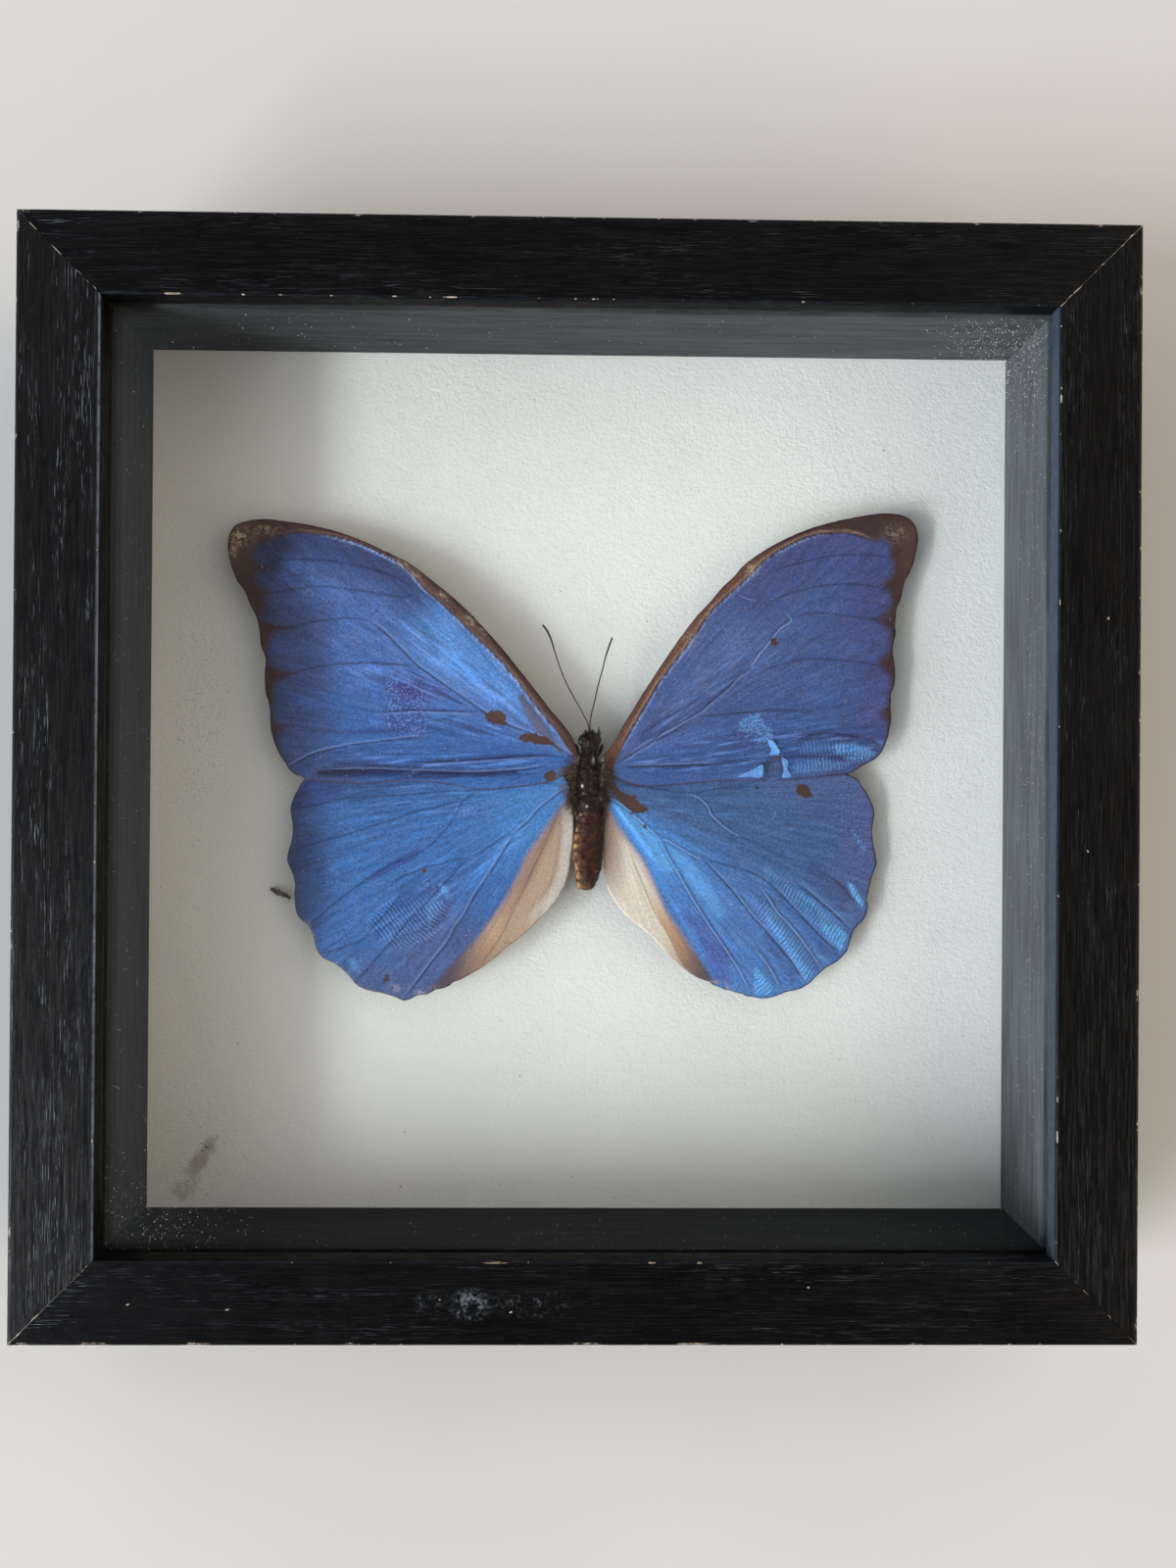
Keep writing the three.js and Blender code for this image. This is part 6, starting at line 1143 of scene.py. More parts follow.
def body_surface(Y, A, seed=5):
    """Radius of the body at distance Y along it and angle A round it (0 = towards +X, pi/2 = up)."""
    ys = [a for a, b in BODY_R]; rs = [b for a, b in BODY_R]
    r = np.interp(Y, ys, rs)
    up = np.sin(A)
    ab = step(-6.3, -6.9, Y)                                 # abdomen
    seg = (Y + 6.4) / 1.86 + 0.10 * np.sin(A * 2 + 1.0) + 0.10 * fbm(np.cos(A) * 1.3, Y * 0.2, seed, 2)
    s = seg - np.floor(seg)
    r = r + ab * (0.16 * np.clip(1 - s * 1.15, -1, 1) ** 2 - 0.07 - 0.20 * np.exp(-((s - 0.02) / 0.10) ** 2))
    r = r + ab * (0.34 * fbm(np.cos(A) * 1.6 + 3, Y * 0.55 + np.sin(A), seed + 1, 3) - 0.36 * np.exp(-((np.abs(np.cos(A)) - 0.80) / 0.14) ** 2) * 0.5)
    th = step(-6.6, -6.0, Y) * step(5.6, 4.8, Y)             # thorax plates
    cx = np.cos(A)
    lump = 0.30 * fbm(cx * 2.0 + 1, Y * 0.7 + np.sin(A), seed + 2, 4)
    r = r + th * (lump - 0.30 * np.exp(-((Y + 2.9 + 0.5 * cx * cx) / 0.22) ** 2) - 0.26 * np.exp(-((Y - 2.3 - 0.6 * cx * cx) / 0.25) ** 2) - 0.16 * np.exp(-(cx / 0.07) ** 2) * (up > 0) * step(-2.6, -2.0, Y))
    r = r + th * 0.34 * (up > 0) * (np.exp(-(((Y + 0.9) / 1.4) ** 2 + ((np.abs(cx) - 0.45) / 0.20) ** 2)) + 0.8 * np.exp(-(((Y + 4.7) / 0.9) ** 2 + ((cx + 0.18) / 0.26) ** 2)))
    hd = step(5.4, 6.2, Y)
    r = r + hd * 0.26 * fbm(np.cos(A) * 2.2 + 4, Y * 1.1 + np.sin(A) * 2, seed + 3, 4)
    return np.maximum(r, 0.03)

def body_point(Y, A, lift=0.0):
    r = body_surface(Y, A) + lift
    squash = 1.02 + 0.12 * step(-6.5, -4, Y) * step(5, 3, Y) - 0.14 * step(-6.0, -9, Y)
    lean = (0.22 * np.sin((Y + 8) * 0.24)) * step(-5, -9, Y) - 0.50 * step(-16.5, -20.8, Y)
    return np.stack([BODY_X + lean + r * np.cos(A), Y + 0 * r, BODY_Z + squash * r * np.sin(A)], -1)

def body_mesh():
    rng = np.random.default_rng(11)
    Y = np.unique(np.concatenate([np.linspace(-21.3, -20.2, 14), np.linspace(-20.2, -6, 160), np.linspace(-6, 5.5, 110), np.linspace(5.5, 9.7, 56)]))
    K = 104; A = np.linspace(0, 2 * np.pi, K, endpoint=False)
    YY, AA = np.meshgrid(Y, A, indexing="ij")
    V = body_point(YY, AA).reshape(-1, 3); m = len(Y)
    B = Build()
    f = grid_faces(m, K, wrap_v=True)
    c = V[f].mean(1); nn = np.cross(V[f[:, 1]] - V[f[:, 0]], V[f[:, 2]] - V[f[:, 0]]); rad = c - np.array([BODY_X, 0, BODY_Z]) * [1, 0, 1]; rad[:, 1] = 0
    if (nn * rad).sum() < 0: f = f[:, ::-1]
    V = np.vstack([V, [[BODY_X, Y[0] - 0.02, BODY_Z]], [[BODY_X, Y[-1] + 0.02, BODY_Z]]])
    j = np.arange(K); j2 = (j + 1) % K; a, b = m * K, m * K + 1
    cap0 = np.stack([np.full(K, a), j2, j], 1); cap1 = np.stack([np.full(K, b), (m - 1) * K + j, (m - 1) * K + j2], 1)
    for cap, want in ((cap0, -1), (cap1, 1)):
        n1 = np.cross(V[cap[:, 1]] - V[cap[:, 0]], V[cap[:, 2]] - V[cap[:, 0]]).sum(0)[1]
        if n1 * want < 0: cap[:] = cap[:, ::-1]
    yy = np.concatenate([YY.ravel(), [Y[0], Y[-1]]]); aa = np.concatenate([AA.ravel(), [0, 0]])
    seg = (yy + 6.4) / 1.86 + 0.10 * np.sin(aa * 2 + 1.0) + 0.10 * fbm(np.cos(aa) * 1.3, yy * 0.2, 5, 2); s = seg - np.floor(seg)
    ab = step(-6.0, -6.9, yy)
    gold = ab * (0.03 + 0.66 * step(-0.35, -0.85, np.cos(aa)) * step(-8.5, -12, yy) + 0.50 * step(-18, -20.5, yy) + 0.30 * np.exp(-((np.cos(aa) - 0.6) / 0.2) ** 2) * step(-12, -15, yy)) * (0.66 + 0.34 * step(0.95, 0.3, s))
    gold = np.clip(gold + 0.26 * ab * fbm(np.cos(aa) * 2.4, yy * 0.9 + np.sin(aa), 77, 3), 0, 1)
    line = ab * np.exp(-((s - 0.02) / 0.09) ** 2)
    th = step(-6.9, -5.6, yy)
    glint = 0.60 * ab * np.exp(-((np.cos(aa) + 0.88) / 0.10) ** 2) * (0.3 + 0.9 * noise2(yy * 1.3, aa * 0.5, 79)) * (np.sin(aa) > 0) * step(-8.0, -10.5, yy) * step(0.95, 0.70, s) * step(0.12, 0.30, s)
    # spark: painted highlights, two small white glints on top of the thorax
    spark = np.exp(-(((V[:, 0] - 0.55) / 0.17) ** 2 + ((V[:, 1] + 1.0) / 0.22) ** 2)) + np.exp(-(((V[:, 0] - 1.45) / 0.15) ** 2 + ((V[:, 1] + 4.9) / 0.17) ** 2)); spark = spark * (V[:, 2] > BODY_Z)
    blot = ab * step(0.0, 0.5, np.cos(aa)) * step(-10, -13, yy) * np.clip(0.35 + 1.5 * fbm(np.cos(aa) * 1.8, yy * 0.8, 81, 2), 0, 1)
    tipspot = np.exp(-(((V[:, 0] - 0.6) / 0.95) ** 2 + ((V[:, 1] + 19.4) / 0.6) ** 2)) * (V[:, 2] > BODY_Z)
    B.add(V, [f, cap0, cap1], 0, glint=glint, tipspot=tipspot, spark=spark, blot=blot, gold=gold, line=line, chest=th, shade=np.clip(0.5 + 0.5 * fbm(aa * 1.7, yy * 0.8, 78, 3), 0, 1))
    return B

def ball(c, r, squash=(1, 1, 1), nu=24, nv=14, bump=0.0, seed=0):
    a = np.linspace(0, 2 * np.pi, nu, endpoint=False); b = np.linspace(0, np.pi, nv + 2)[1:-1]
    BB, AA = np.meshgrid(b, a, indexing="ij")
    R = r * (1 + bump * fbm(AA * 2, BB * 3, seed, 3))
    V = np.stack([R * np.sin(BB) * np.cos(AA) * squash[0], R * np.sin(BB) * np.sin(AA) * squash[1], R * np.cos(BB) * squash[2]], -1).reshape(-1, 3)
    V = np.vstack([V, [0, 0, r * squash[2]], [0, 0, -r * squash[2]]]) + np.array(c)
    f = grid_faces(nv, nu, wrap_v=True); j = np.arange(nu); j2 = (j + 1) % nu; t = nv * nu
    caps = np.vstack([np.stack([np.full(nu, t), j, j2], 1), np.stack([np.full(nu, t + 1), (nv - 1) * nu + j2, (nv - 1) * nu + j], 1)])
    nn = np.cross(V[f[:, 1]] - V[f[:, 0]], V[f[:, 2]] - V[f[:, 0]])
    if (nn * (V[f].mean(1) - np.array(c))).sum() < 0: f = f[:, ::-1]
    nn = np.cross(V[caps[:, 1]] - V[caps[:, 0]], V[caps[:, 2]] - V[caps[:, 0]])
    if (nn * (V[caps].mean(1) - np.array(c))).sum() < 0: caps = caps[:, ::-1]
    return V, [f, caps]

def insect_skin():
    M = Mat("insect_body"); v = M.mm()
    n1 = M.noise(v, 1.4, 4, 0.65); n2 = M.noise(v, 0.5, 3, 0.6)
    abd = M.mix(M.map(n1, 0.35, 0.65), tuple(lin(24, 7, 5)), tuple(lin(64, 24, 15)))
    gold = M.mix(M.map(n1, 0.35, 0.7), tuple(lin(104, 60, 34)), tuple(lin(190, 138, 84)))
    g = M.math("MULTIPLY", M.attr("gold"), M.map(M.noise(v, 1.3, 3, 0.7), 0.34, 0.60))
    col = M.mix(g, abd, gold)
    col = M.mix(M.math("MULTIPLY", M.attr("glint"), M.map(n1, 0.36, 0.56, 0.25, 0.95)), col, tuple(lin(226, 184, 126)))
    col = M.mix(M.math("MULTIPLY", M.attr("blot"), 0.85), col, tuple(lin(22, 12, 10)))
    col = M.mix(M.math("MULTIPLY", M.attr("tipspot"), 0.85), col, tuple(lin(48, 44, 32)))
    chest = M.mix(M.map(n1, 0.35, 0.7), tuple(lin(10, 5, 4)), tuple(lin(36, 19, 15)))
    chest = M.mix(M.map(M.noise(v, 0.8, 4, 0.7), 0.57, 0.70, 0, 0.6), chest, tuple(lin(98, 74, 58)))
    col = M.mix(M.attr("chest"), col, chest)
    col = M.mix(M.math("MULTIPLY", M.attr("line"), 0.50), col, tuple(lin(16, 7, 5)))
    # painted highlights: the two white glints on the thorax
    col = M.mix(M.attr("spark"), col, tuple(lin(236, 230, 226)))
    M.set(Base_Color=col, Roughness=M.map(n2, 0.3, 0.7, 0.20, 0.40, False), Normal=M.bump(n1, 0.8, 0.0003))
    M.p.inputs["Specular IOR Level"].default_value = 0.20
    return M.m

def hair_material(name, a, b, tip):
    M = Mat(name)
    col = M.mix(M.attr("rnd"), tuple(lin(*a)), tuple(lin(*b)))
    col = M.mix(M.math("MULTIPLY", M.map(M.attr("along"), 0.3, 1.0), 0.6), col, tuple(lin(*tip)))
    M.set(Base_Color=col, Roughness=0.5)
    M.p.inputs["Specular IOR Level"].default_value = 0.04
    return M.m

def eye_material():
    M = Mat("eye"); v = M.mm()
    hexes = M.cells(v, 9.0, "F1", 0.3)
    col = M.mix(M.map(hexes, 0.2, 0.6), tuple(lin(26, 18, 15)), tuple(lin(12, 8, 7)))
    M.set(Base_Color=col, Roughness=0.22, Normal=M.bump(hexes, 0.35, 0.00004))
    return M.m

# ================================================================== assembly
# ---- rails
# one paint in three copies, as painted light and shade: the left rail's copy is glossier so it shows a stronger
# reflection of the light from the left, the other rails take a less shiny copy, and the lip faces one with almost no
# specular so they don't mirror the bright board
paint = black_paint(); paint_less_sheen = black_paint("frame_less_sheen", 0.09); lip_paint = black_paint("frame_lip", 0.03)
for k, name in enumerate(("top", "left", "bottom", "right")):
    rail(name, 101 + 7 * k).object("rail_" + name, [paint if name == "left" else paint_less_sheen, lip_paint], slot="frame_wood", replaces=["frame_rail_" + name])

# ---- glass, spacers, board, back
dress("glass_pane", glass_material())
# painted light and shade together with dust: the top and right walls, which face the lights, are made lighter, the left
# and bottom walls darker, and the top and bottom walls lighter towards the right end
for s, amount, rise in (("top", 0.70, 0.32), ("bottom", 0.13, 0.2), ("left", 0.29, 0.0), ("right", 1.0, 0.0)): dress("spacer_" + s, spacer_material("spacer_" + s, amount, rise), 0.25)
board_mesh().object("board", [board_material()], smooth=True, slot="board", replaces=["backing_board"])
dress("back_panel", hardboard(), 0.3)
steel = metal("tab_steel", (150, 152, 156), (118, 120, 126), 0.38, (96, 84, 72))
for s in ("top", "bottom", "left", "right"):
    for q in ("a", "b"): dress("tab_%s_%s" % (s, q), steel, 0.08)
brass = metal("hanger_brass", (196, 164, 96), (164, 132, 72), 0.34, (110, 82, 48))
dress("hanger_plate", brass, 0.12)
for s in ("left", "right"): dress("hanger_rivet_" + s, brass, 0.15)

# ---- wings
under = underside_material()
TEAR = [(39.6, .9), (39.4, 4.2), (37.8, 4.9), (36.4, 4.1), (35.5, 3.8), (35.5, .9)]
WINGS["HL"]["nibbles"] = [(-31, -42.3, 1.4, .35), (-27.5, -41.2, 1.2, .35), (-35, -43, .8, .25), (-24, -39.5, .8, .2)]
WINGS["HR"]["nibbles"] = [(57.4, -23, 1.0, .25), (25, -39.2, 1.4, .35), (27.5, -40.4, .8, .25), (54.6, -29.4, .7, .2)]
WINGS["FR"]["nibbles"] = [(62, 11, .7, .2), (60.4, 4.0, .5, .15)]
WINGS["FL"]["nibbles"] = [(-69, 46, .9, .15), (-60.5, 15, .6, .12)]
wing_top = wing_material("wing_blue", False)
SURF = {}
for key, node, z0, root in (("FL", "forewing_left", FORE_Z, (-0.8, 4.5)), ("FR", "forewing_right", FORE_Z, (4.9, 3.0)),
                            ("HL", "hindwing_left", HIND_Z, (-1.4, -0.6)), ("HR", "hindwing_right", HIND_Z, (4.9, -2.6))):
    B, info = wing(key, node, z0, root, {"FL": 21, "FR": 22, "HL": 23, "HR": 24}[key], TEAR if key == "FR" else None)
    B.object(node + "_scaled", [wing_top, under], slot="wing_blue", replaces=[node])
    SURF[key] = info

def on_wing(key, pts):
    P, z = SURF[key][0], SURF[key][1]
    return np.array([z[np.argmin(((P - p) ** 2).sum(1))] for p in np.asarray(pts, float)])

B = Build()
# the flaps' azure values are painted highlights
flap(B, "FR", [(30.8, 1.0), (32.6, 1.9), (34.2, 2.7), (35.7, 3.4), (35.9, 2.4), (35.8, 1.2), (33.2, 1.0)], 0.10, (.5, .6, .35), 0.75, 61)
flap(B, "FR", [(39.6, 4.9), (40.9, 4.0), (40.7, 2.7), (41.5, 1.2), (40.3, 0.9), (39.7, 1.0), (40.1, 2.5)], 0.12, (-.6, .3, .5), 0.85, 63)
flap(B, "FR", [(36.8, 8.3), (37.9, 8.0), (38.6, 6.9), (39.2, 5.9), (38.8, 5.3), (38.1, 5.4), (37.2, 5.3), (37.5, 6.4), (37.0, 7.3)], 0.16, (.6, .5, .7), 1.25, 65)
B.object("tear_flaps", [wing_top, under], slot="wing_blue")

# ---- body
skin = insect_skin()
body_mesh().object("body_skin", [skin], slot="insect_body", replaces=["body"])
dark_hair = hair_material("hair_dark", (6, 3, 3), (26, 14, 11), (66, 42, 32))
brown_hair = hair_material("hair_brown", (26, 16, 12), (86, 60, 44), (140, 108, 78))
gold_hair = hair_material("hair_gold", (40, 23, 15), (104, 70, 44), (150, 112, 74))
pale_hair = hair_material("hair_pale", (150, 134, 116), (208, 196, 178), (226, 218, 204))
rng = np.random.default_rng(3)
def fur(n, ylo, yhi, alo, ahi, length, radius, seed, back=0.8, out=0.35, jitter=0.35, sag=(0, 0, -0.1)):
    r = np.random.default_rng(seed)
    Y = r.uniform(ylo, yhi, n); A = r.uniform(alo, ahi, n)
    P = body_point(Y, A, -0.06)
    N = np.stack([np.cos(A), 0 * A, np.sin(A)], -1)
    D = N * out + np.array([0, -back, 0]) + r.normal(0, jitter, (n, 3))
    L = length * r.uniform(0.5, 1.25, n)
    return strands(P, D, L, radius * r.uniform(0.7, 1.3, n), sag, seed + 1)
H = Build()
for a in ((900, -6.2, 5.2, 0, 2 * np.pi, 0.8, 0.024, 31), (420, 5.2, 9.2, 0, 2 * np.pi, 0.6, 0.022, 33, 0.2, 0.8), (160, 8.4, 9.5, 0.2, 2.9, 0.8, 0.024, 35, -1.1, 0.5)):
    v, f, t, r_ = fur(*a); H.add(v, [f], 0, along=t, rnd=r_)
H.object("hair_thorax", [dark_hair], smooth=False, slot="insect_body")
H = Build()
for a in ((900, -20.6, -6.4, 0, 2 * np.pi, 0.6, 0.020, 41, 1.0, 0.20, 0.22), (120, -21.0, -19.6, 0, 2 * np.pi, 0.7, 0.022, 43, 1.0, 0.25, 0.3)):
    v, f, t, r_ = fur(*a); H.add(v, [f], 0, along=t, rnd=r_)
# tufts where the wings meet the body
def tuft(cx, cy, cz, n, spread, direction, length, radius, seed, jitter=0.45):
    r = np.random.default_rng(seed)
    P = np.array([cx, cy, cz]) + r.normal(0, 1, (n, 3)) * np.array(spread)
    D = np.array(direction, float) + r.normal(0, jitter, (n, 3))
    return strands(P, D, length * r.uniform(0.4, 1.3, n), radius * r.uniform(0.7, 1.2, n), (0, 0, -0.12), seed + 1)
H.object("hair_abdomen", [gold_hair], smooth=False, slot="insect_body")
H = Build()
for a in ((5.3, 1.0, 16.0, 150, (.5, 1.7, .3), (1, -.1, .15), 1.6, .040, 151), (-1.9, 1.6, 15.9, 130, (.5, 1.8, .3), (-1, -.1, .15), 1.5, .040, 155), (5.2, -3.4, 15.2, 110, (.4, .9, .3), (.8, -.8, .1), 1.5, .036, 153), (-1.7, -3.6, 15.2, 110, (.4, .9, .3), (-.7, -.9, .1), 1.5, .036, 157), (4.5, 2.2, 15.9, 230, (.45, 1.6, .4), (1, 0.0, .25), 1.5, .028, 51), (4.7, -1.8, 15.4, 230, (.5, 1.2, .4), (1, -.5, .2), 1.7, .028, 53), (4.6, -5.0, 15.0, 160, (.4, 1.2, .4), (.6, -1, .1), 1.6, .026, 54),
          (-0.7, 2.6, 16.0, 230, (.45, 1.7, .4), (-1, 0.0, .25), 1.5, .028, 55), (-0.9, -1.6, 15.4, 220, (.5, 1.3, .4), (-1, -.5, .2), 1.6, .028, 57), (-0.7, -4.9, 15.0, 150, (.4, 1.1, .4), (-.6, -1, .1), 1.5, .026, 58)):
    v, f, t, r_ = tuft(*a); H.add(v, [f], 0, along=t, rnd=r_)
H.object("hair_wing_bases", [brown_hair], smooth=False, slot="insect_body")
H = Build()
for a in ((4.2, 0.6, 16.4, 34, (.15, .9, .2), (.3, -1, .5), .8, .026, 60), (4.0, -2.8, 16.2, 24, (.2, .5, .2), (.5, -1, .2), .9, .024, 61), (0.2, -6.2, 16.2, 30, (.6, .25, .3), (-.3, -1, .1), .8, .022, 63), (1.4, -6.3, 16.9, 26, (.9, .2, .15), (0, -1, .1), .7, .022, 64), (4.4, 3.6, 16.3, 22, (.2, .5, .2), (.6, .6, .5), .7, .022, 65),
          (2.6, 4.0, 16.9, 18, (.18, .5, .12), (.3, .8, .2), .7, .030, 67), (-.6, 3.4, 16.2, 26, (.2, .9, .2), (-.5, .4, .4), .8, .022, 68)):
    v, f, t, r_ = tuft(*a); H.add(v, [f], 0, along=t, rnd=r_)
H.object("hair_pale_tufts", [pale_hair], smooth=False, slot="insect_body")
E_ = Build()
for sx in (-1, 1):
    v, f = ball((BODY_X + sx * 1.32, 7.95 + 0.08 * sx, 15.1), 1.12, (0.86, 1.0, 1.05), 36, 20); E_.add(v, f, 0)
E_.object("eyes", [eye_material()], slot="insect_body")
K_ = Build()
# palps, tongue base, folded legs
for path, r0, r1 in (([(BODY_X + 1.2, 8.2, 15.6), (BODY_X + 1.55, 8.9, 15.9), (BODY_X + 1.75, 9.6, 16.0), (BODY_X + 1.72, 10.5, 16.0)], .36, .06),
                     ([(BODY_X + 1.3, 8.4, 15.2), (BODY_X + 1.9, 9.0, 15.4), (BODY_X + 2.2, 9.4, 15.5)], .26, .07), ([(BODY_X + .3, 9.0, 15.2), (BODY_X + .5, 9.6, 15.4), (BODY_X + .45, 10.0, 15.6)], .30, .10),
                     ([(BODY_X - .7, 8.9, 14.9), (BODY_X - .8, 9.5, 15.0), (BODY_X - .75, 9.9, 15.0)], .30, .12)):
    p = catmull(path, 0.12); v, f = tube(p, np.linspace(r0, r1, len(p)) * (1 + 0.12 * np.sin(np.arange(len(p)))), 10); K_.add(v, f, 0, gold=0.1, line=0.0, chest=0.8, shade=0.5, glint=0.0, tipspot=0.0, spark=0.0, blot=0.0)
for sx in (-1, 1):
    for y0, y1, y2 in ((4.4, 7.2, 2.0), (1.0, 4.4, -3.2), (-1.8, -6.0, -11.5)):
        p = catmull([(BODY_X + sx * 1.2, y0, 12.4), (BODY_X + sx * 2.3, (y0 + y1) / 2, 11.5), (BODY_X + sx * 2.6, y1, 11.3), (BODY_X + sx * 1.6, (y1 + y2) / 2, 11.1), (BODY_X + sx * 0.9, y2, 11.4)], 0.25)
        v, f = tube(p, 0.24 - 0.12 * np.linspace(0, 1, len(p)) + 0.05 * np.exp(-((np.linspace(0, 1, len(p)) - .5) / .06) ** 2), 9); K_.add(v, f, 0, gold=0.25, line=0.0, chest=0.4, shade=0.5, glint=0.0, tipspot=0.0, spark=0.0, blot=0.0)
K_.object("palps_and_legs", [skin], slot="insect_body")

# ---- antennae
def antenna_material():
    M = Mat("antenna"); v = M.mm()
    col = M.mix(M.map(M.attr("along"), 0.0, 1.0), tuple(lin(30, 8, 5)), tuple(lin(14, 5, 4)))
    ring = M.map(M.math("SINE", M.math("MULTIPLY", M.attr("arc"), 17.0)), -0.2, 0.9)
    col = M.mix(M.math("MULTIPLY", ring, 0.35), col, tuple(lin(70, 32, 20)))
    M.set(Base_Color=col, Roughness=0.45, Normal=M.bump(ring, 0.4, 0.00004)); return M.m
ant = antenna_material()
def antenna(node, path, club, seed):
    p = catmull(path, 0.06); n = len(p); s = np.linspace(0, 1, n)
    arc = np.concatenate([[0], np.cumsum(np.linalg.norm(np.diff(p, axis=0), axis=1))])
    p = p + 0.02 * np.stack([fbm(arc * 0.8, s * 0, seed, 2), s * 0, fbm(arc * 0.8, s * 0 + 5, seed + 1, 2)], 1)
    r = 0.118 + 0.05 * np.exp(-s / 0.03) + club * step(0.70, 0.93, s) - 0.06 * step(0.985, 1.0, s)
    r = r * (1 + 0.07 * np.maximum(0, np.sin(arc * 17.0)))
    v, f = tube(p, r, 12); t = np.concatenate([np.repeat(s, 12), [0, 1]]); a = np.concatenate([np.repeat(arc, 12), [0, arc[-1]]])
    B = Build(); B.add(v, f, 0, along=t, arc=a)
    vb, fb = ball(tuple(p[0]), 0.30, (1, 1, 1), 14, 8, 0.1, seed); B.add(vb, fb, 0, along=0.0, arc=0.0)
    B.object(node + "_ringed", [ant], slot="insect_body", replaces=[node])
antenna("antenna_left", [(1.80, 9.1, 15.2), (1.82, 10.0, 15.5), (1.68, 10.9, 15.6), (1.15, 12.0, 15.7), (.35, 13.5, 15.65), (-1.0, 15.9, 15.5), (-2.65, 19.0, 15.15), (-3.9, 22.0, 14.85), (-4.95, 25.2, 14.5), (-5.95, 28.2, 14.1), (-6.65, 29.5, 13.9), (-7.35, 30.4, 13.8)], 0.085, 5)
antenna("antenna_right", [(2.12, 9.1, 15.2), (2.02, 10.2, 15.5), (2.0, 11.0, 15.6), (2.16, 12.4, 15.7), (2.72, 14.8, 15.6), (3.5, 18.4, 15.3), (4.3, 21.4, 15.0), (5.1, 24.6, 14.6), (6.25, 28.0, 14.2)], 0.05, 8)

# ---- cork pad and the loose fragment
def cork():
    M = Mat("cork"); v = M.mm()
    c = M.cells(v, 1.5, "F1"); col = M.mix(M.map(c, 0.1, 0.6), tuple(lin(188, 148, 104)), tuple(lin(140, 98, 62)))
    col = M.mix(M.map(M.noise(v, 1.6, 4, 0.7), 0.58, 0.66), col, tuple(lin(84, 54, 34)))
    M.set(Base_Color=col, Roughness=0.8, Normal=M.bump(c, 0.5, 0.0003)); return M.m
K = 64; a = np.linspace(0, 2 * np.pi, K, endpoint=False); prof = [(0.05, 8.62), (1.9, 8.62), (2.12, 8.75), (2.18, 9.4), (2.16, 10.3), (2.12, 10.95), (1.9, 11.08), (0.05, 11.08)]
PA = np.array(prof); RR = PA[:, 0][:, None] * (1 + 0.035 * fbm(np.cos(a)[None] * 2 + PA[:, 1][:, None], np.sin(a)[None] * 2 + PA[:, 1][:, None] * 0.7, 91, 3))
V = np.stack([BODY_X + RR * np.cos(a), -1.0 + RR * np.sin(a), np.broadcast_to(PA[:, 1][:, None], RR.shape)], -1).reshape(-1, 3)
f = grid_faces(len(prof), K, wrap_v=True); nn = np.cross(V[f[:, 1]] - V[f[:, 0]], V[f[:, 2]] - V[f[:, 0]]); cc = V[f].mean(1) - np.array([BODY_X, -1.0, 9.85])
if (nn * cc).sum() < 0: f = f[:, ::-1]
j = np.arange(K); j2 = (j + 1) % K; V = np.vstack([V, [[BODY_X, -1.0, 8.62], [BODY_X, -1.0, 11.08]]]); t = len(V) - 2
B = Build(); B.add(V, [f, np.stack([np.full(K, t), j2, j], 1), np.stack([np.full(K, t + 1), (len(prof) - 1) * K + j, (len(prof) - 1) * K + j2], 1)]); B.object("cork_pad", [cork()], slot="cork", replaces=["mount_pad"])

def debris_material():
    M = Mat("debris_brown"); v = M.mm()
    col = M.mix(M.map(M.noise(v, 2.0, 4, 0.7), 0.35, 0.65), tuple(lin(58, 46, 40)), tuple(lin(122, 102, 82)))
    M.set(Base_Color=col, Roughness=0.6, Normal=M.bump(M.noise(v, 3.0, 3, 0.6), 0.5, 0.0001)); return M.m
deb = debris_material()
B = Build()
c0 = np.array([-58.9, -22.7, 9.25]); tr = -0.52; ux = np.array([math.cos(tr), math.sin(tr), 0]); uy = np.array([-math.sin(tr), math.cos(tr), 0])
s = np.linspace(-1, 1, 40)
path = c0 + np.outer(s * 2.3, ux) + np.outer(0.16 * np.sin(s * 2.4), uy) + np.outer(-0.08 + 0.10 * np.cos(s * 2), [0, 0, 1])
rr = 0.50 * np.sqrt(np.clip(1 - s ** 2, 0.01, 1)) * (1 + 0.28 * fbm(s * 5, s * 0, 3, 3)) * (1 - 0.25 * s)
v, f = tube(path, rr, 16); v = v + 0.05 * np.stack([fbm(v[:, 0] * 3, v[:, 1] * 3, 4, 2)] * 3, 1); v[:, 2] = np.clip(v[:, 2], 8.66, 9.86); B.add(v, f)
for q, (dx, dy, l) in enumerate(((-1.6, .35, 1.2), (-.6, .4, .9), (.5, -.4, .9), (1.2, .35, 1.0), (1.9, -.1, .9))):
    p0 = c0 + ux * dx + uy * dy * .6; p = catmull([p0, p0 + uy * np.sign(dy) * l * .35 + ux * .15 * (-1) ** q, p0 + uy * np.sign(dy) * l * .55 + ux * .5 * (-1) ** q - np.array([0, 0, .15])], 0.1)
    v, f = tube(p, np.linspace(.09, .03, len(p)), 6); v[:, 2] = np.clip(v[:, 2], 8.66, 9.86); v[:, 0] = np.clip(v[:, 0], -61.3, -56.4); B.add(v, f)
B.object("loose_flake", [deb], slot="debris", replaces=["loose_fragment"])

